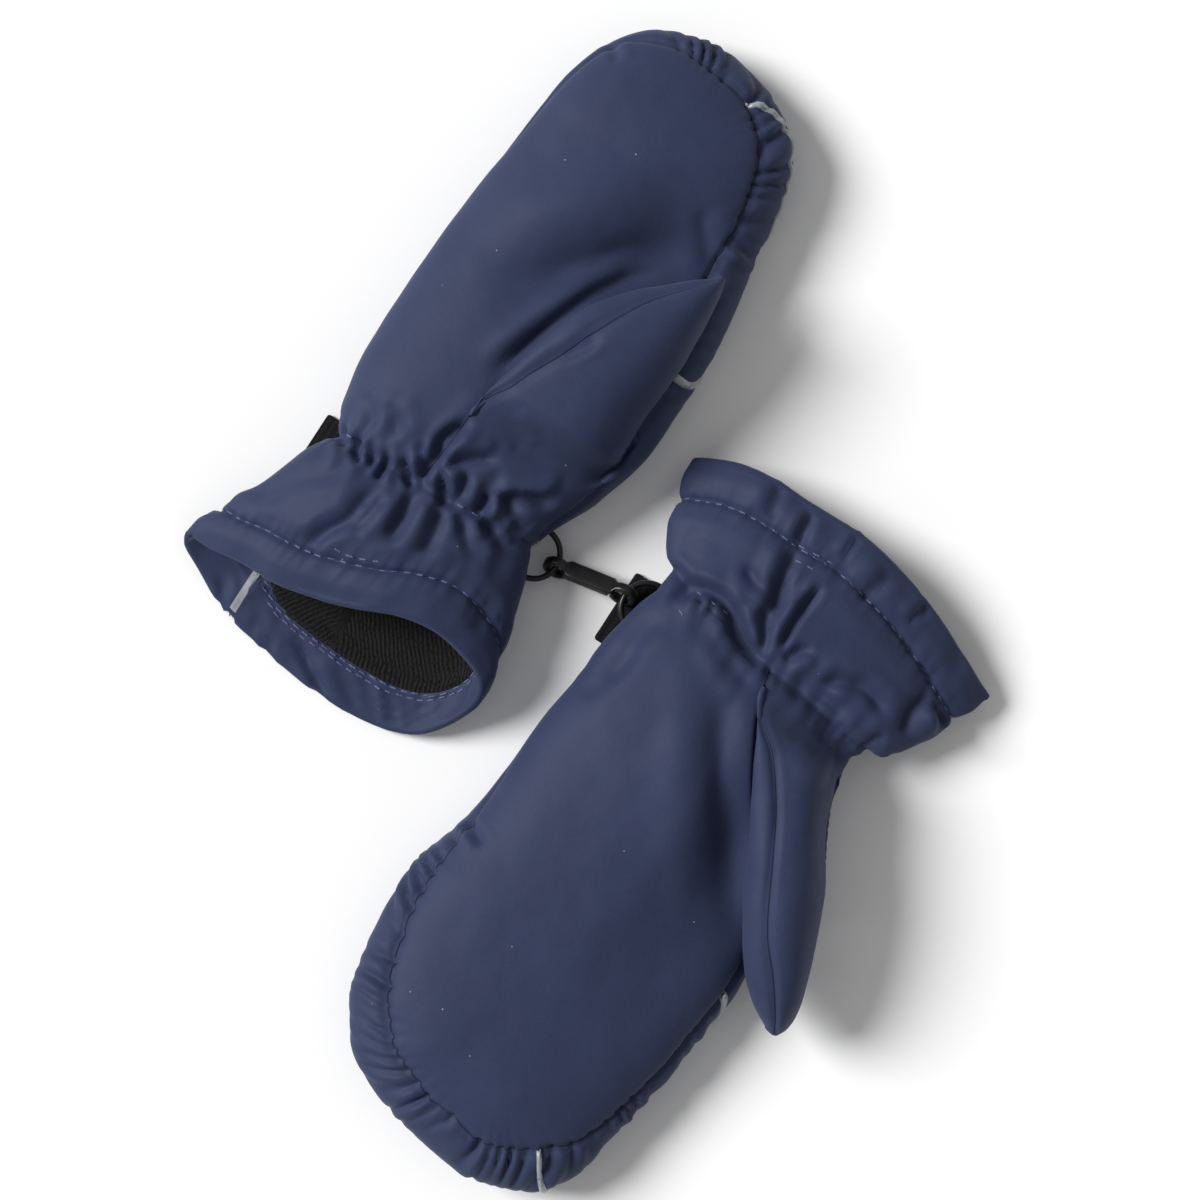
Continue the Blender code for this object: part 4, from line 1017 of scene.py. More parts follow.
B_MOUTH = (
    Mouth(0, 57, -65.8, 23), Mouth(20, 70, -63.8, 22.5), Mouth(40, 85, -60, 20),
    Mouth(60, 100, -54.3, 16), Mouth(75, 113, -48.5, 12), Mouth(88, 121.5, -45, 7.5),
    Mouth(100, 118, -45, 3.6), Mouth(120, 105, -50, 0.8), Mouth(140, 90, -55, 0),
    Mouth(160, 72, -59.5, 0), Mouth(180, 57, -61, 0), Mouth(200, 42, -61, 0),
    Mouth(220, 28, -60.5, 0), Mouth(240, 15, -58.5, 1.6), Mouth(255, 4, -57, 5),
    Mouth(268, 0.3, -57.3, 9), Mouth(285, 6, -60.5, 14), Mouth(300, 14, -63.5, 18),
    Mouth(320, 26, -65.3, 21), Mouth(340, 41, -65.3, 22.5),
)
B_THUMB = (
    Thumb(-11, 57.8, 94.2, 57.8, 30, 12, 0), Thumb(-2, 62, 94, 66, 37, 15, 0),
    Thumb(8, 66.8, 96.3, 74, 40, 18, 0), Thumb(20, 72, 102, 82, 41, 20, 0),
    Thumb(31, 77, 108.5, 87.5, 42.5, 22, 0), Thumb(45, 83.8, 114, 94.5, 42.5, 23, 0),
    Thumb(55, 90, 118, 100.5, 41, 23, 15), Thumb(64, 97, 121.3, 108.5, 38.5, 22.5, 14),
    Thumb(71, 103.5, 122.6, 114, 35.5, 22, 14),
    Thumb(76, 110.5, 122.4, 117.5, 32, 21.5, 15.5),
    Thumb(79, 116, 121.3, 119.2, 28, 21.5, 18.5),
)
B_FOLDS = (
    Fold(18, -22, 30, -27, 1.4, 3.0), Fold(30, -27, 46, -18, 1.6, 3.0),
    Fold(46, -18, 57, -16, 1.4, 2.6), Fold(23, -28, 24, -8, 1.2, 2.4),
    Fold(32, -32, 31, -12, 1.4, 2.4), Fold(39, -30, 39, -10, 1.4, 2.4),
    Fold(46, -30, 46, -8, 1.6, 2.6), Fold(61, -28, 60, -15, 1.8, 2.4),
    Fold(68, -26, 67, -4, 1.6, 2.4), Fold(75, -27, 76, -2, 1.8, 2.6),
    Fold(83, -28, 82, 2, 1.6, 2.4), Fold(90, -24, 90, 4, 1.4, 2.4),
    Fold(43, -40, 48, -33, 1.6, 3.0), Fold(41, -60, 41, -50, 1.2, 2.8),
    Fold(47, -49, 55, -36, 1.6, 3.0), Fold(100, -42, 101, -22, 1.8, 3.2),
)
B_CRESCENT = (
    (114.0, 172.5), (104.5, 171.8), (98.5, 170.0), (92.5, 166.0), (87.6, 160.0), (87.5, 150.0),
    (89.5, 140.0), (91.5, 128.0), (94.0, 115.0), (97.5, 101.0), (102.0, 89.0), (109.0, 80.0),
    (120.0, 74.0),
)
B_CUFF_LINE = (
    (19.0, -80.0), (19.0, -60.0), (24.0, -46.0), (38.0, -32.0), (60.0, -20.0),
    (82.0, -12.0), (100.0, -6.0), (116.0, 0.0),
)

A_CREASES = (
    Crease(((-91.1, 6.9), (-88.4, 2.1), (-84.4, -0.7)), 2.0, 1.4),
    Crease(((-81.1, 7.6), (-78.8, 4.0), (-77.9, -2.3)), 1.9, 1.4),
    Crease(((-75.3, 8.5), (-70.6, 4.9), (-66.9, 1.5)), 2.0, 1.4),
    Crease((
        (-62.0, 31.6), (-65.3, 25.4), (-67.3, 19.5), (-66.7, 14.1), (-66.9, 8.1), (-67.8, 2.8),
    ), 2.8, 1.9),
    Crease(((-64.2, 12.5), (-59.3, 7.2), (-55.4, 2.1)), 2.4, 1.8),
    Crease(((-55.6, 16.1), (-53.7, 9.4), (-53.8, 2.8)), 1.6, 1.8),
    Crease(((-46.4, 13.8), (-45.7, 8.7), (-45.7, 5.5)), 2.4, 1.7),
    Crease(((-43.3, 12.9), (-37.0, 17.6), (-30.4, 21.0), (-26.3, 22.5)), 2.4, 3.0),
    Crease(((-46.5, 14.4), (-41.8, 18.4), (-35.6, 22.3), (-28.4, 25.8)), -1.3, 1.8),
    Crease(((-54.3, 35.9), (-48.5, 33.1), (-44.8, 29.7)), 1.2, 1.9),
    Crease(((-62.9, 12.4), (-57.8, 18.3), (-48.9, 24.8)), 1.8, 1.9),
    Crease(
        ((-85.5, -33.1), (-82.4, -24.5), (-78.5, -16.9), (-77.6, -9.4), (-75.5, -2.6)), 1.9, 2.4,
    ),
    Crease(
        ((-108.0, -33.2), (-105.7, -24.4), (-99.8, -15.6), (-92.6, -8.8), (-85.3, -3.2)), 1.0, 3.8,
    ),
    Crease(((-73.0, -3.1), (-74.1, -12.6), (-75.7, -20.2)), 1.3, 2.0),
    Crease(((-66.7, 2.4), (-64.7, -6.5), (-64.5, -17.3)), 1.6, 2.4),
    Crease(((-55.8, 2.2), (-53.4, -6.4), (-53.3, -14.4)), 1.6, 2.4),
    Crease(((-45.4, 6.0), (-37.2, 4.1), (-31.7, 1.1)), 1.5, 2.5),
    Crease(((-42.6, 15.1), (-36.2, 12.0), (-31.0, 6.6)), 1.3, 2.4),
    Crease(((-97.2, 7.3), (-95.0, 3.0), (-91.0, 0.4)), 1.4, 1.8),
    Crease(((-86.4, 8.5), (-84.2, 4.1), (-81.0, 0.3)), 1.2, 1.4),
    Crease(((-73.4, 15.5), (-69.9, 11.9), (-68.4, 7.8)), 1.4, 1.5),
    Crease(((-51.7, 3.4), (-45.2, -1.1), (-41.3, -5.9)), 1.0, 2.2),
    Crease(((-96.4, 19.5), (-92.0, 15.0), (-86.7, 11.3)), 0.8, 3.0),
    Crease(((-88.2, 20.4), (-82.9, 16.6), (-78.5, 12.2)), 0.9, 2.6),
    Crease(((-93.0, 154.0), (-86.0, 148.0)), 0.6, 2.0),
    Crease(((-20.0, 123.0), (-28.0, 121.0)), 1.3, 2.0),
    Crease(((-84.0, 64.0), (-30.0, 118.0)), 4.0, 9.0),
    Crease(((-66.0, 42.0), (-62.5, 54.0), (-54.0, 79.0), (-46.0, 92.0), (-38.0, 101.5)), 1.9, 2.6),
    Crease(((-40.0, 125.0), (-25.0, 108.0)), 0.8, 3.4),
    Crease(((-50.0, 60.0), (-46.0, 66.0), (-43.0, 73.0)), 1.0, 1.8),
)
A_LIP = (
    Crease(((-73.8, -56.1), (-67.2, -61.3), (-55.1, -68.4)), 1.6, 1.8),
    Crease(((-39.8, -55.1), (-35.3, -60.2), (-30.8, -65.3)), 1.3, 1.0),
    Crease(((-29.6, -49.2), (-26.0, -54.1), (-22.2, -59.7)), 1.1, 1.0),
    Crease(((-81.4, -59.6), (-79.1, -65.4), (-75.4, -68.8)), 0.9, 1.6),
    Crease(((-54.0, -59.2), (-50.3, -62.7), (-44.9, -66.4)), 0.8, 1.8),
    Crease(((-104.0, -53.9), (-100.9, -57.6), (-99.7, -62.7)), 0.8, 1.6),
    Crease(((-88.0, -55.0), (-86.5, -60.0), (-86.0, -66.0)), 0.8, 1.5),
    Crease(((-66.0, -55.5), (-62.5, -60.0), (-57.0, -66.5)), 0.7, 1.3),
    Crease(((-48.0, -54.0), (-44.0, -60.0), (-38.5, -66.5)), 0.9, 1.4),
)
B_CREASES = (
    Crease((
        (16.4, -15.9), (20.8, -22.1), (25.6, -25.3), (31.2, -26.1), (37.2, -23.9), (42.8, -19.9),
        (50.8, -15.9), (56.6, -14.8),
    ), 3.4, 2.2),
    Crease(((43.9, -52.5), (43.7, -46.5), (45.2, -39.9), (47.1, -33.4), (48.9, -27.7)), 2.3, 2.4),
    Crease(((56.2, -47.7), (55.2, -38.7), (54.9, -30.8), (55.7, -20.9)), 2.2, 1.4),
    Crease(((43.5, -31.9), (48.8, -25.3), (52.2, -16.8)), 1.7, 2.0),
    Crease(((97.0, -23.0), (84.9, -26.6), (77.0, -24.0), (70.0, -19.0)), 1.5, 2.4),
    Crease(((103.6, -20.3), (101.5, -27.4), (101.8, -32.9), (103.6, -36.7)), 1.5, 2.4),
    Crease(((76.0, -10.0), (94.0, -5.0)), 1.5, 4.0),
    Crease(((104.8, -34.1), (109.5, -32.9), (113.3, -30.5)), 1.6, 1.6),
    Crease(((41.8, -64.0), (42.3, -56.6), (43.6, -51.3)), 1.7, 1.8),
    Crease(((57.2, -65.7), (57.0, -59.5), (56.6, -55.8)), 0.9, 1.1),
    Crease(((88.2, -59.8), (86.2, -55.0), (84.5, -50.6)), 1.0, 1.5),
    Crease(((14.3, -29.7), (13.6, -35.4), (15.6, -41.8)), 0.3, 2.8),
    Crease(((12.4, -26.2), (18.0, -25.2), (22.6, -25.2)), 1.2, 2.0),
    Crease(((16.7, -21.3), (19.9, -18.8), (20.9, -16.4)), 0.9, 1.1),
    Crease(((25.1, -23.7), (27.5, -20.7), (28.7, -17.6)), 0.9, 1.1),
    Crease(((29.9, -24.5), (31.3, -21.6), (31.6, -18.8)), 0.8, 1.1),
    Crease(((21.0, -13.4), (17.0, -5.5), (15.8, 4.5), (15.0, 17.3)), 1.1, 3.6),
    Crease(((37.8, -18.2), (46.7, -11.7), (56.1, -7.1)), 1.6, 3.2),
    Crease(((61.5, -18.3), (69.2, -17.1), (78.4, -17.0), (86.2, -14.4)), 1.4, 3.0),
    Crease(((58.5, -19.4), (60.3, -23.6), (64.7, -28.8)), 1.2, 1.8),
    Crease(((96.1, -8.6), (95.9, -13.8), (98.8, -18.7)), 1.2, 2.4),
    Crease(((32.0, -38.9), (37.2, -36.2), (42.7, -34.4)), 1.2, 2.2),
    Crease(((3.0, 75.0), (12.0, 79.0)), 1.3, 1.8),
    Crease(((20.0, 0.0), (16.0, 12.0), (12.0, 25.0)), 0.7, 3.2),
    Crease(((46.0, -4.0), (105.0, 76.0)), 2.0, 7.0),
    Crease(((40.0, -14.0), (56.0, 12.0), (72.0, 36.0)), 1.7, 5.5),
    Crease(((103.0, -78.0), (98.0, -74.0)), 0.9, 2.0),
    Crease(((72.0, -62.0), (71.0, -55.0), (69.0, -48.0)), 1.1, 2.6),
    Crease(((28.0, -66.0), (30.0, -60.0), (31.0, -54.0)), 1.1, 2.4),
)


CUTS = {
    "right": Cut(
        name="right", facing=1, sections=A_SECTIONS, belly=A_BELLY, tip=A_TIP, mouth=A_MOUTH,
        mouth_sides=(95, 270), thumb=A_THUMB, thumb_tip=(-21.5, 109.6, 35.0), crotch=72.0,
        slant=1.9, apex=30.0, folds=A_FOLDS, creases=A_CREASES, lip=A_LIP,
        crescent=A_CRESCENT, cuff_line=A_CUFF_LINE, elastic=(-99.0, 3.0, -30.0, 7.0),
        gathers=(52.0, 200.0), seed=1.7, wide_facing=(-99.0, -82.0, 8.0),
        calm=((-94.0, -57.5, 15.0), (-64.0, 32.6, 9.0)), facing_tape=-95.2,
    ),
    "left": Cut(
        name="left", facing=-1, sections=B_SECTIONS, belly=B_BELLY, tip=B_TIP, mouth=B_MOUTH,
        mouth_sides=(88, 268), thumb=B_THUMB, thumb_tip=(119.4, 80.2, 21.8), crotch=45.0,
        slant=1.35, apex=-11.0, folds=B_FOLDS, creases=B_CREASES, lip=(),
        crescent=B_CRESCENT, cuff_line=B_CUFF_LINE, elastic=(13.0, -24.0, 95.0, -10.0),
        gathers=(-46.0, 190.0), seed=7.3, wide_facing=(-FAR, -FAR + 1, 0.0),
        calm=((59.5, -7.2, 9.0), (97.0, 7.0, 9.0)), facing_tape=58.3,
    ),
}


# ---- Surfaces as arrays ----------------------------------------------------------------------
def fan_triangles(faces: Sequence[Sequence[int]]) -> np.ndarray:
    """The faces cut into triangles, three corners a row."""
    return np.array([(f[0], f[i], f[i + 1]) for f in faces for i in range(1, len(f) - 1)])


def surface_normals(points: np.ndarray, triangles: np.ndarray) -> np.ndarray:
    """The smooth normal at every point.

    Args:
        points: One place a row.
        triangles: Three corners a row.

    Returns:
        One unit vector a row.
    """
    a, b, c = (points[triangles[:, k]] for k in range(3))
    area = np.cross(b - a, c - a)
    total = np.zeros_like(points)
    for k in range(3):
        np.add.at(total, triangles[:, k], area)
    return total / np.maximum(np.linalg.norm(total, axis=1, keepdims=True), 1e-9)


def unit(vector: np.ndarray) -> np.ndarray:
    """A vector of length 1."""
    return vector / max(float(np.linalg.norm(vector)), 1e-9)


def tree_of(places: Sequence[Sequence[float]]) -> KDTree:
    """A tree that finds the places nearest to another.

    Args:
        places: One place a row.

    Returns:
        The balanced tree.
    """
    tree = KDTree(len(places))
    for i, place in enumerate(places):
        tree.insert(place, i)
    tree.balance()
    return tree


def calmed(points: np.ndarray, normals: np.ndarray, close: float, room: float) -> np.ndarray:
    """Evens out the normals where points crowd together, as at the middle of a fan.

    Args:
        points: One place a row.
        normals: Their unit normals.
        close: Points with four neighbours nearer than this are crowded.
        room: How far round a crowded point the normals are averaged.

    Returns:
        The normals, changed at the crowded points only.
    """
    tree, result = tree_of(points), normals.copy()
    for i, point in enumerate(points):
        if tree.find_n(point, 5)[-1][2] < close:
            near = [k for _, k, _ in tree.find_range(point, room)]
            near = [k for k in near if normals[k] @ normals[near[0]] > 0.2] or near
            result[i] = unit(normals[near].sum(axis=0))
    return result


def calmed_normals(points: np.ndarray, grid: Grid) -> np.ndarray:
    """The smooth normals of a grid's points at given places, evened out at its poles."""
    return calmed(points, surface_normals(points, fan_triangles(grid.faces())), 0.4, 3.0)


def line_offsets(line: Sequence[tuple[float, float]], x: np.ndarray, y: np.ndarray) -> np.ndarray:
    """How far points lie to the right of a line.

    Args:
        line: A few of its points.
        x: The points' first coordinates.
        y: Their second ones.

    Returns:
        One distance a point, below zero to the left of the line.
    """
    path = np.array([(p.x, p.y) for p in smooth_path(line, 60)])
    spots = np.stack((x, y), axis=1)
    best = np.full(len(x), FAR)
    for start, step in zip(path, np.diff(path, axis=0)):
        away = spots - start
        share = np.clip((away @ step) / (step @ step), 0.0, 1.0)
        off = away - share[:, None] * step
        length = np.linalg.norm(off, axis=1)
        left = step[0] * off[:, 1] - step[1] * off[:, 0] > 0
        best = np.where(length < np.abs(best), np.where(left, -length, length), best)
    return best


def wander(values: np.ndarray, seed: float, step: float) -> np.ndarray:
    """A slow, smooth change along a line, from about -1 to 1, with swells a step apart."""
    return np.array([noise.noise(Vector((v / step, seed, 0.7 * seed))) for v in values])


def cloud(points: np.ndarray, seed: float, step: float) -> np.ndarray:
    """The same in space: one value for each point."""
    return np.array([noise.noise(Vector(p)) for p in points / step + seed])


def fade(values: np.ndarray, start: float, end: float) -> np.ndarray:
    """A smooth rise from 0 at the start to 1 at the end."""
    share = np.clip((values - start) / (end - start), 0.0, 1.0)
    return share * share * (3 - 2 * share)


def bell(off: np.ndarray, reach: float) -> np.ndarray:
    """1 at zero, falling smoothly to almost nothing within two reaches on either side."""
    return np.exp(-((off / reach) ** 2))


class Drift(Enum):
    """What is uneven: by how much, which change it follows, and how far apart its swells are."""

    HEM_PHASE = (1.3, 0, 9.0)
    HEM_HEIGHT = (0.6, 5, 3.5)
    EDGE = (1.1, 9, 8.5)
    PUCKER_PHASE = (0.9, 2, 12.0)
    PUCKER_HEIGHT = (0.6, 3, 17.0)
    PUCKER_REACH = (3.0, 4, 8.0)
    PLEAT_PHASE = (1.5, 6, 19.0)
    PLEAT_HEIGHT = (1.1, 7, 12.0)
    PLEAT_REACH = (0.45, 8, 9.0)
    GATHER_PHASE = (1.15, 11, 17.0)
    GATHER_LEAN = (0.75, 12, 26.0)
    GATHER_HEIGHT = (1.3, 13, 9.0)
    GATHER_REACH = (0.6, 14, 12.0)
    FINE_HEIGHT = (0.9, 15, 7.0)
    FACING = (1.0, 40, 7.0)
    FACING_FINE = (0.6, 41, 2.8)


@dataclass(frozen=True)
class ReliefSizes:
    """The heights and widths, in millimetres, of what shows in the padded cloth."""

    seam_pinch: float = 1.25
    seam_reach: float = 1.2
    seam_slope: float = 0.8
    seam_slope_reach: float = 5.5
    cuff_seam: float = 0.14         # how much of that shows on the cuff's plain seam
    crease: float = 0.42            # the creases' depths against their tables
    path_crease: float = 1.35       # the same for those through a few places
    crease_width: float = 0.82
    ridge_share: float = 0.34       # the swelling beside a fold, against its depth
    ridge_place: float = 2.1        # how far beside it, against its width
    fold_end: float = 0.35          # the part of a fold's length over which it runs out
    ridge_shares: tuple[float, float] = (0.62, 0.2)     # left and right of a crease
    ridge_widths: tuple[float, float] = (1.15, 0.9)
    crease_ridge_place: float = 1.9
    crease_end: float = 0.24        # the same as fold_end for the creases
    broad: float = 5.0              # a crease wider than this runs out over its whole length
    under_share: float = 0.45       # how much of a crease reaches the underside
    hem_puff: float = 1.3
    hem_puff_place: float = 7.0     # all three from the cuff's edge
    hem_puff_reach: float = 4.6
    next_puff: float = 0.7          # past the stitches, against the first
    next_puff_place: float = 21.0
    next_puff_reach: float = 4.0
    hem_groove: float = 1.5
    hem_groove_reach: float = 1.0
    hem_pucker: float = 0.42
    hem_pucker_step: float = 4.6
    hem_pucker_reach: float = 4.5
    edge_reach: float = 9.0
    edge_share: float = 0.6         # how much of the relief is left at the very edge
    elastic_groove: float = 1.5
    elastic_reach: float = 1.4
    elastic_pull: float = 0.9
    elastic_pull_reach: float = 6.5
    wrist_pleat: float = 0.45
    wrist_pleat_step: float = 11.0
    wrist_pleat_reach: float = 12.0
    wrist_height: float = 0.7       # the pleats' and puckers' mean height
    wrist_level: float = 0.6        # puts their middle at the plain form
    elastic_pucker: float = 0.6
    elastic_pucker_step: float = 4.1
    elastic_pucker_reach: float = 5.5
    above_elastic: float = 1.15     # how much longer the pleats are towards the tip
    below_elastic: float = 0.9      # and towards the cuff
    pleat: float = 4.4
    pleat_step: float = 7.2
    pleat_reach: float = 27.0
    pleat_lean: float = 0.35
    pleat_level: float = 0.66       # puts the pleats' middle at the plain form
    pleat_height: float = 0.75
    pleat_heights: tuple[float, float] = (0.08, 1.5)    # the least and the most of it
    least_pleat_reach: float = 4.0
    fine_pleat: float = 0.9
    fine_pleat_step: float = 3.6
    fine_pleat_reach: float = 4.0
    fine_pleat_level: float = 0.62
    fine_pleat_height: float = 0.8
    fine_pleat_heights: tuple[float, float] = (0.1, 1.6)
    palm_pucker: float = 0.18
    palm_pucker_reach: float = 3.2
    steep_calm: float = 0.55        # what is left of the pleats where the cloth stands upright
    seam_sway: float = 0.4
    seam_sway_reach: float = 5.0
    piping_sink: float = 0.5
    piping_reach: float = 2.2
    swell: float = 0.75
    swell_step: float = 24.0
    ripple: float = 0.2
    ripple_step: float = 9.0
    deepest: float = 1.2            # against the wall
    deepest_thumb: float = 0.62


class Relief:
    """How far the cloth of one mitten rises and sinks over its plain form."""

    def __init__(self, cut: Cut, grid: Grid, sizes: ReliefSizes) -> None:
        """Takes the grid's points and facts.

        Args:
            cut: The mitten.
            grid: Its cloth.
            sizes: The relief's sizes.
        """
        self.cut, self.grid, self.sizes = cut, grid, sizes
        self.points = np.array(grid.base, float)
        self.x, self.reach = self.points[:, 0], self.points[:, 1]
        self.hem = grid.fact("hem", FAR)
        self.past = grid.fact("past", -FAR)
        self.around = grid.fact("around", 0.0)
        self.along = grid.fact("along", -FAR)
        self.level = grid.fact("level", 0.0)
        self.wall = grid.fact("wall", WALL)
        self.seam = self.seam_distances()
        flat_x, flat_y = grid.fact("flat_x", FAR), grid.fact("flat_y", FAR)
        self.piping = np.minimum(
            np.abs(line_offsets(cut.crescent, flat_x, flat_y)),
            np.abs(line_offsets(cut.cuff_line, flat_x, flat_y)),
        )
        self.lift = np.zeros(len(self.points))

    def seam_distances(self) -> np.ndarray:
        """Every point's distance from the nearest seam.

        Returns:
            One distance a point.
        """
        pairs = (
            ("palm", "back"), ("palm", "piping"), ("palm", "thumb"),
            ("thumb_leaf", "thumb_side"), ("thumb_side", "back"), ("thumb_side", "piping"),
        )
        edges = [edge for a, b in pairs for edge in self.grid.borders(a, b)]
        places, weights = [], []
        for a, b in edges:
            on_cuff = min(self.hem[a], self.hem[b]) < FAR
            for k in range(6):
                places.append(self.grid.base[a].lerp(self.grid.base[b], k / 5))
                weights.append(self.sizes.cuff_seam if on_cuff else 1.0)
        tree = tree_of(places)
        found = [tree.find(p) for p in self.grid.base]
        self.seam_weight = np.array([weights[index] for _, index, _ in found])
        return np.array([distance for _, _, distance in found])

    def elastic_distance(self) -> np.ndarray:
        """Every point's distance along the hand from the elastic at the wrist.

        Returns:
            One distance a point, above zero towards the tip.
        """
        x0, reach0, x1, reach1 = self.cut.elastic
        line = reach0 + (self.x - x0) / (x1 - x0) * (reach1 - reach0)
        return self.reach - line

    def drift(self, kind: Drift, values: np.ndarray) -> np.ndarray:
        """How far something strays at places along a line."""
        share, pick, step = kind.value
        return share * wander(values, self.cut.seed + pick, step)

    def creases(self) -> None:
        """The listed creases, each a soft trough between two low swellings."""
        s = self.sizes
        share = np.where(self.level >= 2, s.under_share, 1.0)
        for f in self.cut.folds:
            along = np.array((f.x1 - f.x0, f.reach1 - f.reach0))
            start = np.stack((self.x - f.x0, self.reach - f.reach0), axis=1)
            at = (start @ along) / (along @ along)
            ends = 1.0 - np.clip(np.abs(at - 0.5) - s.fold_end, 0.0, s.fold_end) / s.fold_end
            off = np.linalg.norm(start - np.clip(at, 0, 1)[:, None] * along, axis=1)
            ridge = s.ridge_share * bell(off - s.ridge_place * f.width, f.width)
            self.lift += s.crease * f.depth * ends * share * (ridge - bell(off, f.width))
        for crease in self.cut.creases:
            self.lift += share * self.crease_lift(crease)

    def crease_lift(self, crease: Crease) -> np.ndarray:
        """What one crease through a few places adds to the height.

        Args:
            crease: The crease.

        Returns:
            One height a point.
        """
        s = self.sizes
        path = np.array([(p.x, p.y) for p in smooth_path(crease.line, 24)])
        room = 4.0 * crease.width
        low, high = path.min(axis=0) - room, path.max(axis=0) + room
        spots = np.stack((self.x, self.reach), axis=1)
        near = np.flatnonzero(((spots > low) & (spots < high)).all(axis=1))
        spots = spots[near]
        best, at, left = np.full(len(near), FAR), np.zeros(len(near)), np.zeros(len(near))
        for k, (start, step) in enumerate(zip(path, np.diff(path, axis=0))):
            away = spots - start
            part = np.clip((away @ step) / (step @ step), 0.0, 1.0)
            off = away - part[:, None] * step
            length = np.linalg.norm(off, axis=1)
            closer = length < best
            left = np.where(closer, step[0] * off[:, 1] > step[1] * off[:, 0], left)
            best = np.where(closer, length, best)
            at = np.where(closer, (k + part) / (len(path) - 1), at)
        taper = 0.5 if crease.width > s.broad else s.crease_end
        ends = fade(at, 0.0, taper) * (1 - fade(at, 1 - taper, 1.0))
        trough = bell(best, s.crease_width * crease.width)
        wide = np.where(left > 0, *s.ridge_widths) * crease.width
        ridge = np.where(left > 0, *s.ridge_shares)
        ridge = ridge * bell(best - s.crease_ridge_place * wide, wide)
        lift = np.zeros(len(self.points))
        lift[near] = s.path_crease * crease.depth * ends * (ridge - trough)
        return lift

    def seams(self) -> None:
        """The wadding drawn in along every seam, and under the piping."""
        s = self.sizes
        pinch = s.seam_pinch * bell(self.seam, s.seam_reach)
        slope = s.seam_slope * np.exp(-self.seam / s.seam_slope_reach)
        self.lift -= self.seam_weight * (pinch + slope)
        self.lift -= s.piping_sink * bell(self.piping, s.piping_reach)

    def hems(self) -> None:
        """The puffed band at the cuff's edge, its stitched groove and its puckers."""
        s, around = self.sizes, self.around
        puff = bell(self.hem - s.hem_puff_place, s.hem_puff_reach)
        puff += s.next_puff * bell(self.hem - s.next_puff_place, s.next_puff_reach)
        groove = bell(self.hem - HEM_BAND, s.hem_groove_reach)
        near = bell(self.hem - HEM_BAND, s.hem_pucker_reach)
        phase = around / s.hem_pucker_step + self.drift(Drift.HEM_PHASE, around)
        pucker = np.sin(2 * math.pi * phase) + self.drift(Drift.HEM_HEIGHT, around)
        self.lift += s.hem_puff * puff - s.hem_groove * groove + s.hem_pucker * pucker * near
        self.lift += bell(self.hem, s.edge_reach) * self.drift(Drift.EDGE, around)

    def wrist(self) -> None:
        """The elastic's groove, what it pulls in, and the pleats and puckers along it."""
        s, around = self.sizes, self.around
        off = self.elastic_distance()
        phase = around / s.elastic_pucker_step + self.drift(Drift.PUCKER_PHASE, around)
        height = s.wrist_height + self.drift(Drift.PUCKER_HEIGHT, around)
        pucker = (np.abs(np.sin(math.pi * phase)) - s.wrist_level) * height
        reach = s.elastic_pucker_reach + self.drift(Drift.PUCKER_REACH, around)
        spread = bell(off, reach) * np.where(off > 0, 1.0, 0.8)
        phase = around / s.wrist_pleat_step + self.drift(Drift.PLEAT_PHASE, around)
        height = s.wrist_height + self.drift(Drift.PLEAT_HEIGHT, around)
        pleat = (np.abs(np.sin(math.pi * phase)) - s.wrist_level) * height
        length = s.wrist_pleat_reach * (1 + self.drift(Drift.PLEAT_REACH, around))
        length = length * np.where(off > 0, s.above_elastic, s.below_elastic)
        self.lift += s.wrist_pleat * pleat * bell(off, length)
        groove, pull = bell(off, s.elastic_reach), bell(off, s.elastic_pull_reach)
        self.lift -= s.elastic_groove * groove + s.elastic_pull * pull
        self.lift += s.elastic_pucker * pucker * spread

    def gathers(self) -> None:
        """The back's cloth, gathered along the palm's seam round the tip."""
        s, along = self.sizes, self.along
        first, last = self.cut.gathers
        span = fade(along, first - 8, first + 8) * (1 - fade(along, last - 12, last + 10))
        past = np.clip(self.past, 0.0, None)
        drift = self.drift(Drift.GATHER_PHASE, along)
        lean = (s.pleat_lean + self.drift(Drift.GATHER_LEAN, along)) * past / s.pleat_step
        wave = np.abs(np.sin(math.pi * (along / s.pleat_step + drift + lean))) ** 0.8
        wave -= s.pleat_level
        height = s.pleat_height + self.drift(Drift.GATHER_HEIGHT, along)
        height = np.clip(height, *s.pleat_heights)
        length = s.pleat_reach * (1.0 + self.drift(Drift.GATHER_REACH, along))
        fall = np.clip(1 - past / np.maximum(length, s.least_pleat_reach), 0.0, 1.0) ** 1.2
        fall *= (self.past >= 0) * (0.5 + 0.5 * fade(self.past, 0.0, 4.0))
        fine = np.abs(np.sin(math.pi * (along / s.fine_pleat_step + 2 * drift)))
        height_fine = s.fine_pleat_height + self.drift(Drift.FINE_HEIGHT, along)
        fine = (fine - s.fine_pleat_level) * np.clip(height_fine, *s.fine_pleat_heights)
        near = bell(self.past, s.fine_pleat_reach) * (self.past >= -0.5)
        inside = np.exp(np.clip(self.past, -60.0, 0.0) / s.palm_pucker_reach) * (self.past < 0)
        calm = s.steep_calm + (1 - s.steep_calm) * fade(self.normals[:, 2], 0.0, 0.45)
        self.lift += span * calm * (
            s.pleat * height * wave * fall + s.fine_pleat * fine * near
            + s.palm_pucker * wave * inside
        )
        away = self.points[:, :2] - np.array((self.x[along > -FAR].mean(), TIP_REACH - 10))
        away /= np.maximum(np.linalg.norm(away, axis=1, keepdims=True), 1e-6)
        sway = s.seam_sway * span * wave * bell(self.past, s.seam_sway_reach)
        self.shift = away * sway[:, None]

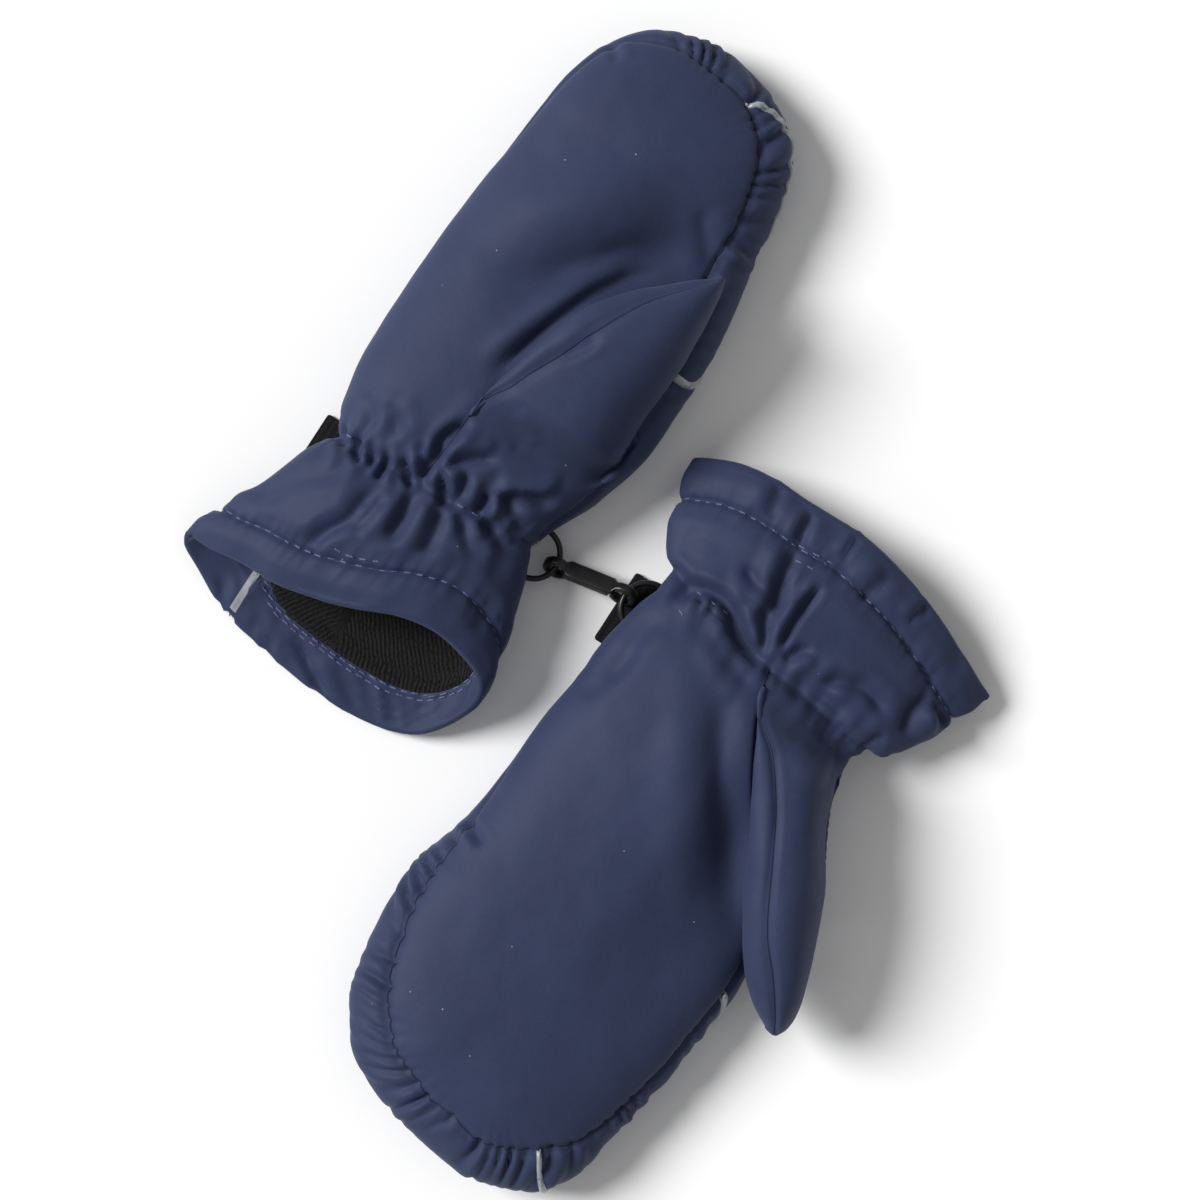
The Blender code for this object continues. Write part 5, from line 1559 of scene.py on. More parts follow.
    def swells(self) -> None:
        """The soft unevenness of the wadding."""
        s = self.sizes
        self.lift += s.swell * cloud(self.points, self.cut.seed + 20, s.swell_step)
        self.lift += s.ripple * cloud(self.points, self.cut.seed + 30, s.ripple_step)

    def outer(self) -> np.ndarray:
        """The finished outer points.

        Returns:
            One place a row, none below the surface that the mitten lies on.
        """
        for step in (
            self.creases, self.seams, self.hems, self.wrist, self.gathers, self.swells
        ):
            step()
        deepest = np.where(self.wall < WALL, self.sizes.deepest_thumb, self.sizes.deepest)
        for x, reach, room in self.cut.calm:
            away = np.hypot(self.x - x, self.reach - reach)
            self.lift *= 0.2 + 0.8 * fade(away, 0.25 * room, room)
        lift = np.maximum(self.lift, -deepest * self.wall)
        self.lift = lift * np.where(self.hem < 0.5, self.sizes.edge_share, 1.0)
        placed = self.points + self.normals * self.lift[:, None]
        placed[:, :2] += self.shift
        placed[:, 2] = np.maximum(placed[:, 2], 0.0)
        return placed

    @cached_property
    def normals(self) -> np.ndarray:
        """The plain form's normals."""
        return calmed_normals(self.points, self.grid)


# ---- Closed meshes ---------------------------------------------------------------------------
@dataclass
class Wall:
    """A closed wall between an outer and an inner sheet of points that share their faces."""

    faces: list[list[int]]
    outer: np.ndarray
    inner: np.ndarray
    rim_steps: int = 0

    def border(self) -> list[tuple[int, int]]:
        """The directed edges that only one face has."""
        edges = {(c, f[(i + 1) % len(f)]) for f in self.faces for i, c in enumerate(f)}
        return [edge for edge in edges if edge[::-1] not in edges]

    def close(self, away: dict[int, np.ndarray]) -> tuple[np.ndarray, list[list[int]], list[int]]:
        """Joins the two sheets along their border.

        Args:
            away: The direction in which a border point's edge bulges.

        Returns:
            The points, the faces, and for each face 0 if outer, 1 if inner and 2 if on the rim.
        """
        used = sorted({c for f in self.faces for c in f})
        index = {c: i for i, c in enumerate(used)}
        count = len(used)
        points = [self.outer[used], self.inner[used]]
        faces = [[index[c] for c in f] for f in self.faces]
        kinds = [0] * len(faces)
        faces += [[index[c] + count for c in f[::-1]] for f in self.faces]
        kinds += [1] * len(kinds)
        border = self.border()
        rows: dict[int, list[int]] = {}
        extra = []
        for c in {c for edge in border for c in edge}:
            row = [index[c]]
            middle, half = (self.outer[c] + self.inner[c]) / 2, (self.outer[c] - self.inner[c]) / 2
            bulge = away.get(c, np.zeros(3)) * np.linalg.norm(half)
            for step in range(1, self.rim_steps + 1):
                turn = math.pi * step / (self.rim_steps + 1)
                row.append(2 * count + len(extra))
                extra.append(middle + half * math.cos(turn) + bulge * math.sin(turn))
            rows[c] = row + [index[c] + count]
        if extra:
            points.append(np.array(extra))
        for a, b in border:
            for k in range(len(rows[a]) - 1):
                faces.append([rows[b][k], rows[a][k], rows[a][k + 1], rows[b][k + 1]])
                kinds.append(2)
        return np.concatenate(points), faces, kinds


def put(points: np.ndarray, facing: int) -> np.ndarray:
    """Brings points from a mitten's own millimetres into the frame's metres."""
    return (points * np.array((1.0, facing, 1.0)) + np.array(SHIFT)) * MM


def add_object(name: str, data: bpy.types.ID) -> bpy.types.Object:
    """A new object in the scene.

    Args:
        name: Its name.
        data: Its mesh, light or camera.

    Returns:
        The object.
    """
    obj = bpy.data.objects.new(name, data)
    bpy.context.collection.objects.link(obj)
    return obj


def settle(obj: bpy.types.Object, slot: str, *solids: str) -> bpy.types.Object:
    """Puts a piece on the pair, in the place of the solids that it shows.

    Args:
        obj: The piece.
        slot: Not used.
        *solids: The solids that it stands for, or none.

    Returns:
        The same piece.
    """
    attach(obj, "root")
    if solids:
        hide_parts(*solids)
    return obj


def plain_mesh(
    name: str, points: np.ndarray, faces: Sequence[Sequence[int]], materials: Sequence,
    slots: Optional[Sequence[int]] = None, smooth: bool = True,
) -> bpy.types.Object:
    """An object from points and faces, turned so that the faces look outwards.

    Args:
        name: The piece's name.
        points: One place a row, in metres.
        faces: Their corners.
        materials: Its materials.
        slots: Each face's material, or none if there is one.
        smooth: Whether it is shaded smooth.

    Returns:
        The object.
    """
    triangles = fan_triangles(faces)
    a, b, c = (points[triangles[:, k]] for k in range(3))
    if np.einsum("ij,ij->i", a, np.cross(b, c)).sum() < 0:
        faces = [list(face)[::-1] for face in faces]
    mesh = bpy.data.meshes.new(name)
    mesh.from_pydata(points.tolist(), [], [list(face) for face in faces])
    for material in materials:
        mesh.materials.append(material)
    if slots is not None:
        mesh.polygons.foreach_set("material_index", np.array(slots, dtype=np.int32))
    mesh.polygons.foreach_set("use_smooth", np.full(len(mesh.polygons), smooth))
    mesh.update()
    return add_object(name, mesh)


def give_attribute(obj: bpy.types.Object, name: str, values: np.ndarray) -> None:
    """Keeps one number for every point of a mesh, for its material."""
    layer = obj.data.attributes.new(name, "FLOAT", "POINT")
    layer.data.foreach_set("value", values.astype(np.float32))


# ---- Finishes --------------------------------------------------------------------------------
class Texture(Enum):
    """The kinds of procedural texture that the finishes use."""

    NOISE = "ShaderNodeTexNoise"
    WAVE = "ShaderNodeTexWave"
    CELLS = "ShaderNodeTexVoronoi"


Input = Union[float, tuple, bpy.types.NodeSocket]


class Shader:
    """A material's nodes, with its Principled shader at hand."""

    def __init__(self, name: str) -> None:
        """Starts a material.

        Args:
            name: Its name.
        """
        self.material = bpy.data.materials.new(name)
        self.material.use_nodes = True
        self.tree = self.material.node_tree
        self.principled = self.tree.nodes["Principled BSDF"]
        self.place = self.tree.nodes.new("ShaderNodeTexCoord").outputs["Object"]

    def set(self, **values: Any) -> None:
        """Sets constants of the Principled shader, by socket name with _ for a space."""
        for name, value in values.items():
            self.principled.inputs[name.replace("_", " ")].default_value = value

    def link(self, source: bpy.types.NodeSocket, target: str) -> None:
        """Joins a node's output to a socket of the Principled shader."""
        self.tree.links.new(source, self.principled.inputs[target])

    def node(
        self, kind: str, inputs: Optional[dict[Union[str, int], Input]] = None, **settings: Any
    ) -> bpy.types.Node:
        """Adds a node.

        Args:
            kind: Its type.
            inputs: Its sockets' values, each a constant or another node's output.
            **settings: Its own settings.

        Returns:
            The node.
        """
        made = self.tree.nodes.new(kind)
        for name, value in settings.items():
            setattr(made, name, value)
        for name, value in (inputs or {}).items():
            if isinstance(value, bpy.types.NodeSocket):
                self.tree.links.new(value, made.inputs[name])
            else:
                made.inputs[name].default_value = value
        return made

    def texture(self, kind: Texture, step: float, **inputs: Input) -> bpy.types.Node:
        """A texture whose pattern repeats about every so many millimetres.

        Args:
            kind: Which texture.
            step: The size of its pattern in millimetres.
            **inputs: Its other sockets.

        Returns:
            The node.
        """
        return self.node(kind.value, {"Vector": self.place, "Scale": 1.0 / (step * MM), **inputs})

    def math(
        self, operation: str, first: Input, second: Input = 0.0, clamp: bool = False
    ) -> bpy.types.NodeSocket:
        """The result of a sum on one or two values.

        Args:
            operation: Blender's name of it.
            first: The first value.
            second: The second value.
            clamp: Whether the result stays between 0 and 1.

        Returns:
            The output.
        """
        return self.node(
            "ShaderNodeMath", {0: first, 1: second}, operation=operation, use_clamp=clamp
        ).outputs[0]

    def attribute(self, name: str) -> bpy.types.NodeSocket:
        """One of the mesh's own numbers."""
        return self.node("ShaderNodeAttribute", attribute_name=name).outputs["Fac"]

    def blend(self, share: Input, first: Input, second: Input) -> bpy.types.NodeSocket:
        """A colour between two others.

        Args:
            share: How much of the second.
            first: The first colour.
            second: The second colour.

        Returns:
            The output.
        """
        ends = [(*end, 1.0) if isinstance(end, tuple) else end for end in (first, second)]
        made = self.node("ShaderNodeMix", {0: share, 6: ends[0], 7: ends[1]}, data_type="RGBA")
        return made.outputs[2]

    def paint(self, share: Input, first: Input, second: Input) -> None:
        """Gives the material a colour between two others."""
        self.link(self.blend(share, first, second), "Base Color")

    def bump(
        self, height: bpy.types.NodeSocket, depth: float, strength: float = 1.0,
        below: Optional[bpy.types.NodeSocket] = None,
    ) -> bpy.types.NodeSocket:
        """A bump over another.

        Args:
            height: The height, from 0 to 1.
            depth: What 1 stands for in millimetres.
            strength: How strongly it shows.
            below: The bump that it lies on.

        Returns:
            The normal.
        """
        values = {"Height": height, "Distance": depth * MM, "Strength": strength}
        if below is not None:
            values["Normal"] = below
        return self.node("ShaderNodeBump", values).outputs["Normal"]


@dataclass(frozen=True)
class ClothFinish:
    """Smooth woven nylon with a faint sheen, lint, and painted shade along its thread-thin seams.
    """

    name: str = "navy_nylon"
    colour: tuple[float, float, float] = (0.0330, 0.0430, 0.0960)
    dark: tuple[float, float, float] = (0.0180, 0.0245, 0.0560)
    # its colour is painted shade in the seams' narrow grooves
    seam_shade_colour: tuple[float, float, float] = (0.010, 0.012, 0.022)
    lint_colour: tuple[float, float, float] = (0.30, 0.33, 0.40)
    roughness: float = 0.6
    sheen: float = 0.08
    weave_step: float = 0.42
    weave_depth: float = 0.008
    wrinkle_step: float = 8.0
    wrinkle_depth: float = 0.24
    seam_width: float = 0.32
    tape_half: float = 1.2
    tape_colour: tuple[float, float, float] = (0.30, 0.31, 0.33)
    lint_step: float = 9.0
    lint_size: float = 0.028

    def make(self) -> bpy.types.Material:
        """Makes the material.

        Returns:
            The material.
        """
        s = Shader(self.name)
        s.set(Roughness=self.roughness, Sheen_Weight=self.sheen, Sheen_Roughness=0.5)
        s.set(Specular_IOR_Level=0.14, Sheen_Tint=(0.6, 0.75, 1.0, 1.0))
        cloudy = s.texture(Texture.NOISE, 26.0, Detail=4.0, Roughness=0.6).outputs["Fac"]
        grain = s.texture(Texture.NOISE, 0.9, Detail=2.0).outputs["Fac"]
        share = s.math("MULTIPLY", cloudy, 0.75)
        share = s.math("ADD", share, s.math("MULTIPLY", grain, 0.45), clamp=True)
        colour = s.blend(share, self.dark, self.colour)
        cells = s.texture(Texture.CELLS, self.lint_step, Randomness=1.0)
        near = s.math("LESS_THAN", cells.outputs["Distance"], self.lint_size)
        lint = s.math("MULTIPLY", near, s.math("GREATER_THAN", cells.outputs["Color"], 0.45))
        colour = s.blend(s.math("MULTIPLY", lint, 0.75), colour, self.lint_colour)
        # the seams' grooves are darkened in the colour: painted shade along every seam
        seam = s.attribute("seam")
        line = s.math("SUBTRACT", 1.0, s.math("DIVIDE", seam, self.seam_width), clamp=True)
        colour = s.blend(s.math("MULTIPLY", line, 0.85), colour, self.seam_shade_colour)
        tape = s.math("SUBTRACT", self.tape_half + 0.12, s.attribute("tape"))
        tape = s.math("MULTIPLY", tape, 4.0, clamp=True)
        colour = s.blend(tape, colour, self.tape_colour)
        s.link(colour, "Base Color")
        warp = s.texture(Texture.WAVE, self.weave_step * 6.28, Distortion=0.4)
        weft = s.texture(Texture.WAVE, self.weave_step * 6.28, Distortion=0.4)
        weft.bands_direction = "Y"
        weave = s.math("ADD", warp.outputs["Fac"], weft.outputs["Fac"])
        wrinkles = s.texture(Texture.NOISE, self.wrinkle_step, Detail=3.0, Roughness=0.45)
        normal = s.bump(wrinkles.outputs["Fac"], self.wrinkle_depth)
        normal = s.bump(weave, self.weave_depth, 0.6, normal)
        normal = s.bump(s.math("SUBTRACT", 1.0, line), 0.25, 0.8, normal)
        s.link(normal, "Normal")
        return s.material


@dataclass(frozen=True)
class FleeceFinish:
    """Black brushed fleece in narrow ribs that run into the cuff, with painted highlight on the
    ribs' crests and painted shade in their troughs.
    """

    name: str = "black_fleece"
    colour: tuple[float, float, float] = (0.0075, 0.0075, 0.0078)
    # the lighter colour of the ribs' crests: painted highlight
    tip: tuple[float, float, float] = (0.022, 0.022, 0.021)
    rib_step: float = 1.6
    rib_depth: float = 0.28

    def make(self) -> bpy.types.Material:
        """Makes the material.

        Returns:
            The material.
        """
        s = Shader(self.name)
        s.set(Roughness=0.95, Sheen_Weight=0.08, Specular_IOR_Level=0.1)
        rib = s.math("MULTIPLY", s.attribute("rib"), 2 * math.pi / self.rib_step)
        bent = s.texture(Texture.NOISE, 6.0, Detail=1.0).outputs["Fac"]
        rib = s.math("ADD", rib, s.math("MULTIPLY", bent, 5.0))
        high = s.math("MULTIPLY", s.math("ADD", s.math("SINE", rib), 1.0), 0.5)
        fuzz = s.texture(Texture.NOISE, 0.7, Detail=3.0).outputs["Fac"]
        # the colour follows the ribs' height, mixed with random fuzz: painted highlight on the
        # crests, painted shade in the troughs
        share = s.math("MULTIPLY", high, fuzz)
        s.paint(share, self.colour, self.tip)
        normal = s.bump(high, self.rib_depth)
        s.link(s.bump(fuzz, 0.3, 0.8, normal), "Normal")
        return s.material


@dataclass(frozen=True)
class FibreFinish:
    """The loose fibres of the fleece."""

    name: str = "fleece_fibres"
    colour: tuple[float, float, float] = (0.017, 0.017, 0.016)

    def make(self) -> bpy.types.Material:
        """Makes the material.

        Returns:
            The material.
        """
        s = Shader(self.name)
        s.set(Roughness=0.9, Specular_IOR_Level=0.15)
        patch = s.texture(Texture.NOISE, 2.2).outputs["Fac"]
        dark = tuple(c * 0.35 for c in self.colour)
        s.paint(patch, dark, self.colour)
        return s.material


@dataclass(frozen=True)
class TapeFinish:
    """Light grey reflective tape with a fine cross grain."""

    name: str = "reflective_tape"
    colour: tuple[float, float, float] = (0.36, 0.38, 0.40)
    dark: tuple[float, float, float] = (0.22, 0.23, 0.25)

    def make(self) -> bpy.types.Material:
        """Makes the material.

        Returns:
            The material.
        """
        s = Shader(self.name)
        s.set(Roughness=0.42, Metallic=0.15)
        grain = s.texture(Texture.NOISE, 0.5, Detail=2.0).outputs["Fac"]
        spots = s.texture(Texture.NOISE, 3.5, Detail=2.0).outputs["Fac"]
        share = s.math("MULTIPLY", s.math("ADD", grain, spots), 0.6, clamp=True)
        s.paint(share, self.dark, self.colour)
        s.link(s.bump(grain, 0.05, 0.5), "Normal")
        return s.material


@dataclass(frozen=True)
class WebbingFinish:
    """Black woven tape with ribs across it."""

    name: str = "black_webbing"
    colour: tuple[float, float, float] = (0.0075, 0.0080, 0.0110)
    dark: tuple[float, float, float] = (0.0022, 0.0022, 0.0034)
    rib: float = 1.1

    def make(self) -> bpy.types.Material:
        """Makes the material.

        Returns:
            The material.
        """
        s = Shader(self.name)
        s.set(Roughness=0.8, Sheen_Weight=0.03, Specular_IOR_Level=0.25)
        rows = s.texture(Texture.WAVE, self.rib * 6.28, Distortion=0.6)
        ribs = s.texture(Texture.WAVE, self.rib * 6.28 * 0.6, Distortion=0.6)
        ribs.bands_direction = "Y"
        weave = s.math("MULTIPLY", rows.outputs["Fac"], ribs.outputs["Fac"])
        s.paint(weave, self.dark, self.colour)
        s.link(s.bump(weave, 0.2, 0.8), "Normal")
        return s.material


@dataclass(frozen=True)
class PlasticFinish:
    """Moulded black plastic, a little scuffed."""

    name: str = "black_plastic"
    colour: tuple[float, float, float] = (0.0055, 0.0055, 0.0062)
    scuffed: tuple[float, float, float] = (0.014, 0.014, 0.015)
    roughness: float = 0.34

    def make(self) -> bpy.types.Material:
        """Makes the material.

        Returns:
            The material.
        """
        s = Shader(self.name)
        s.set(Specular_IOR_Level=0.42)
        wear = s.texture(Texture.NOISE, 2.6, Detail=4.0).outputs["Fac"]
        s.paint(wear, self.colour, self.scuffed)
        rough = s.math("ADD", s.math("MULTIPLY", wear, 0.22), self.roughness - 0.1)
        s.link(rough, "Roughness")
        s.link(s.bump(wear, 0.05, 0.5), "Normal")
        return s.material


@dataclass(frozen=True)
class ThreadFinish:
    """Twisted sewing thread, violet on the navy cloth."""

    name: str = "violet_thread"
    colour: tuple[float, float, float] = (0.10, 0.11, 0.27)
    twist: float = 0.35

    def make(self) -> bpy.types.Material:
        """Makes the material.

        Returns:
            The material.
        """
        s = Shader(self.name)
        s.set(Roughness=0.5, Sheen_Weight=0.2)
        twist = s.texture(Texture.WAVE, self.twist * 6.28)
        twist.bands_direction = "DIAGONAL"
        dark = tuple(c * 0.6 for c in self.colour)
        s.paint(twist.outputs["Fac"], dark, self.colour)
        s.link(s.bump(twist.outputs["Fac"], 0.05), "Normal")
        return s.material


@dataclass(frozen=True)
class Palette:
    """All the materials of the pair."""

    cloth: bpy.types.Material
    fleece: bpy.types.Material
    fibre: bpy.types.Material
    tape: bpy.types.Material
    webbing: bpy.types.Material
    plastic: bpy.types.Material
    thread: bpy.types.Material

    @classmethod
    def mixed(cls) -> "Palette":
        """Makes every material once.

        Returns:
            The palette.
        """
        return cls(
            ClothFinish().make(), FleeceFinish().make(), FibreFinish().make(),
            TapeFinish().make(), WebbingFinish().make(), PlasticFinish().make(),
            ThreadFinish().make(),
        )


# ---- Small things, many times ----------------------------------------------------------------
class Spot(NamedTuple):
    """A place in metres for one small thing, the way it points, its top side and its size."""

    place: Vector
    axis: Vector
    up: Vector
    size: float


class Scatter:
    """Geometry nodes that put one small shape at many spots and make the copies real."""

    def __init__(self, name: str, shape: bpy.types.Object, material: bpy.types.Material) -> None:
        """Builds the node group.

        Args:
            name: The group's name.
            shape: What is repeated, pointing along its own x axis.
            material: Its material.
        """
        self.shape, self.material = shape, material
        self.group = bpy.data.node_groups.new(name, "GeometryNodeTree")
        face, nodes, links = self.group.interface, self.group.nodes, self.group.links
        face.new_socket("Spots", in_out="INPUT", socket_type="NodeSocketGeometry")
        shape_in = face.new_socket("Shape", in_out="INPUT", socket_type="NodeSocketObject")
        look_in = face.new_socket("Material", in_out="INPUT", socket_type="NodeSocketMaterial")
        face.new_socket("Copies", in_out="OUTPUT", socket_type="NodeSocketGeometry")
        self.shape_key, self.look_key = shape_in.identifier, look_in.identifier
        given, out = nodes.new("NodeGroupInput"), nodes.new("NodeGroupOutput")
        info = nodes.new("GeometryNodeObjectInfo")
        turn = nodes.new("FunctionNodeAxesToRotation")
        turn.primary_axis, turn.secondary_axis = "X", "Z"
        copies = nodes.new("GeometryNodeInstanceOnPoints")
        real = nodes.new("GeometryNodeRealizeInstances")
        look = nodes.new("GeometryNodeSetMaterial")
        links.new(given.outputs["Shape"], info.inputs["Object"])
        links.new(given.outputs["Spots"], copies.inputs["Points"])
        links.new(info.outputs["Geometry"], copies.inputs["Instance"])
        reads = (("axis", turn.inputs[0]), ("up", turn.inputs[1]), ("size", copies.inputs["Scale"]))
        for field_name, target in reads:
            read = nodes.new("GeometryNodeInputNamedAttribute")
            read.data_type = "FLOAT_VECTOR"
            read.inputs["Name"].default_value = field_name
            links.new(read.outputs["Attribute"], target)
        links.new(turn.outputs["Rotation"], copies.inputs["Rotation"])
        links.new(copies.outputs["Instances"], real.inputs["Geometry"])
        links.new(real.outputs["Geometry"], look.inputs["Geometry"])
        links.new(given.outputs["Material"], look.inputs["Material"])
        links.new(look.outputs["Geometry"], out.inputs["Copies"])

    def build(self, name: str, spots: Sequence[Spot]) -> bpy.types.Object:
        """Puts the copies down.

        Args:
            name: The piece's name.
            spots: Where they go.

        Returns:
            One plain mesh object.
        """
        mesh = bpy.data.meshes.new(f"{name}_spots")
        mesh.from_pydata([spot.place for spot in spots], [], [])
        columns = {
            "axis": [spot.axis for spot in spots], "up": [spot.up for spot in spots],
            "size": [Vector((spot.size, spot.size, spot.size)) for spot in spots],
        }
        for column, values in columns.items():
            layer = mesh.attributes.new(column, "FLOAT_VECTOR", "POINT")
            layer.data.foreach_set("vector", np.array(values, dtype=np.float32).ravel())
        carrier = add_object(f"{name}_carrier", mesh)
        modifier = carrier.modifiers.new("copies", "NODES")
        modifier.node_group = self.group
        modifier[self.shape_key] = self.shape
        modifier[self.look_key] = self.material
        graph = bpy.context.evaluated_depsgraph_get()
        result = bpy.data.meshes.new_from_object(carrier.evaluated_get(graph), depsgraph=graph)
        result.name = name
        bpy.data.objects.remove(carrier)
        result.materials.clear()
        result.materials.append(self.material)
        result.polygons.foreach_set("material_index", np.zeros(len(result.polygons), np.int32))
        for spare in ("axis", "up", "size"):
            if spare in result.attributes:
                result.attributes.remove(result.attributes[spare])
        return add_object(name, result)


def grain_shape(
    name: str, length: float, radius: float, rings: int, sides: int
) -> bpy.types.Object:
    """A small rounded grain along the x axis, used for stitches and fibres.

    Args:
        name: Its name.
        length: From end to end, in millimetres.
        radius: In millimetres.
        rings: Rings between its two ends.
        sides: Corners of a ring.

    Returns:
        The object, in no collection.
    """
    points = [Vector((-length / 2, 0.0, 0.0))]
    for ring in range(rings):
        x = -1.0 + 2.0 * (ring + 1) / (rings + 1)
        wide = radius * math.sqrt(1 - x ** 4)
        for side in range(sides):
            turn = 2 * math.pi * side / sides
            points.append(Vector((x * length / 2, wide * math.cos(turn), wide * math.sin(turn))))
    points.append(Vector((length / 2, 0.0, 0.0)))
    faces = []
    last = len(points) - 1
    for side in range(sides):
        nxt = (side + 1) % sides
        faces.append((0, 1 + nxt, 1 + side))
        for ring in range(rings - 1):
            a, b = 1 + ring * sides, 1 + (ring + 1) * sides
            faces.append((a + side, a + nxt, b + nxt, b + side))
        faces.append((last - sides + side, last - sides + nxt, last))
    mesh = bpy.data.meshes.new(name)
    mesh.from_pydata([p * MM for p in points], [], faces)
    mesh.polygons.foreach_set("use_smooth", np.full(len(faces), True))
    return bpy.data.objects.new(name, mesh)


class Sleeve:
    """One side of the cuff's wall as a tube, its places found by depth and by turn."""

    COLUMNS = 720

    def __init__(
        self, points: np.ndarray, rings: Sequence[Sequence[int]], hems: np.ndarray
    ) -> None:
        """Spaces every ring of the cuff evenly.

        Args:
            points: The wall's points.
            rings: The cuff's rings, from the open edge inwards.
            hems: How deep each ring lies.
        """
        self.hems = hems
        self.rows = np.array([self.even(points[list(ring)]) for ring in rings])

    def even(self, ring: np.ndarray) -> np.ndarray:
        """A closed ring's points, evenly spaced.

        Args:
            ring: The ring's points, one a row.

        Returns:
            As many points as the tube has columns.
        """
        closed = np.concatenate((ring, ring[:1]))
        steps = np.linalg.norm(np.diff(closed, axis=0), axis=1)
        lengths = np.concatenate(([0.0], np.cumsum(steps)))
        wanted = np.linspace(0.0, lengths[-1], self.COLUMNS + 1)[:-1]
        return np.stack([np.interp(wanted, lengths, closed[:, k]) for k in range(3)], axis=1)

    def length(self, hem: float) -> float:
        """How long the tube's ring is at a depth."""
        row = self.rows[int(np.argmin(np.abs(self.hems - hem)))]
        return float(np.linalg.norm(np.diff(row, axis=0, append=row[:1]), axis=1).sum())

    def at(self, hem: float, share: float) -> np.ndarray:
        """A place on the tube.

        Args:
            hem: How deep it lies.
            share: How far round, from the middle of the upper side.

        Returns:
            The place in the mitten's millimetres.
        """
        row = float(np.interp(hem, self.hems, np.arange(len(self.hems))))
        low = min(int(row), len(self.hems) - 2)
        column = (share % 1.0) * self.COLUMNS
        first, part = int(column) % self.COLUMNS, column - int(column)
        second = (first + 1) % self.COLUMNS
        ends = [r[first] * (1 - part) + r[second] * part for r in self.rows[low:low + 2]]
        return ends[0] + (ends[1] - ends[0]) * (row - low)

    def frame(self, hem: float, share: float) -> tuple[np.ndarray, np.ndarray, np.ndarray]:
        """A place on the tube, the way round and the way in.

        Args:
            hem: How deep it lies.
            share: How far round.

        Returns:
            The place and two unit vectors.
        """
        here = self.at(hem, share)
        round_way = self.at(hem, share + 0.002) - self.at(hem, share - 0.002)
        inwards = self.at(hem + 0.8, share) - self.at(hem - 0.4, share)
        return here, unit(round_way), unit(inwards)


# ---- One mitten ------------------------------------------------------------------------------
@dataclass(frozen=True)
class MittenSizes:
    """Sizes of a mitten's finished cloth, in millimetres."""

    flat_width: float = 0.27        # of the cloth as it is cut, in metres
    cut_share: float = 0.86         # how much of its flat rectangle the cut fills
    uncreased_share: float = 0.98   # the cut's area against the creased cloth's
    facing: float = 15.5            # the outer cloth turned in at the cuff's edge
    hand_wall: float = 0.5          # beyond the elastic, where the inside doesn't show
    thumb_wall: float = 0.3
    fleece_step: float = 1.2        # how far the fleece stands proud of the facing
    rim_wall: float = 2.6
    rim_reach: float = 8.0          # the wall thins over this towards the cuff's edge
    crumple: float = 0.95           # the facing's unevenness
    sewn_sink: float = 0.2          # how far its stitches draw it in
    sewn_place: float = 1.6         # from the fleece's edge
    tuck_limits: tuple[float, float] = (-1.9, 0.9)
    outer_share: float = 0.3        # how much of the outer relief the facing follows
    even_end: tuple[float, float] = (21.0, 30.0)    # where it gives way to the outer form
    least_height: float = 0.7       # of the inside over the surface
    piping_rise: float = 0.2
    piping_round: float = 0.75
    piping_sink: float = 0.45
    stitch_pitch: float = 4.1
    stitch_rise: float = -0.02
    dropped_rise: float = 0.12
    facing_pitch: float = 3.7
    facing_rise: float = 0.14
    facing_sway: float = 0.55
    facing_rows: tuple[tuple[float, tuple[float, float]], ...] = (
        (1.2, (0.2, 0.84)), (3.0, (0.3, 0.8)),
    )                               # from the fleece's edge, and the part of the way round
    stitch_length: float = 2.8
    stitch_radius: float = 0.27
    rib_step: float = 1.6
    fibre_step: float = 0.85
    fibre_length: float = 1.3
    fibre_radius: float = 0.075
    fibre_stray: tuple[float, float] = (0.28, 0.45)     # across and along its rib, in steps
    fibre_rise: tuple[float, float] = (0.55, 0.35)      # the mean and what it varies by
    fibre_lean: float = 0.35
    fibre_spread: float = 0.35      # how much the sizes vary
    fibre_foot: float = 0.4         # its middle's distance from the cloth, in lengths
    fleece_start: float = 0.9       # past the facing
    fleece_depth: float = 44.0
    fleece_seed: int = 17


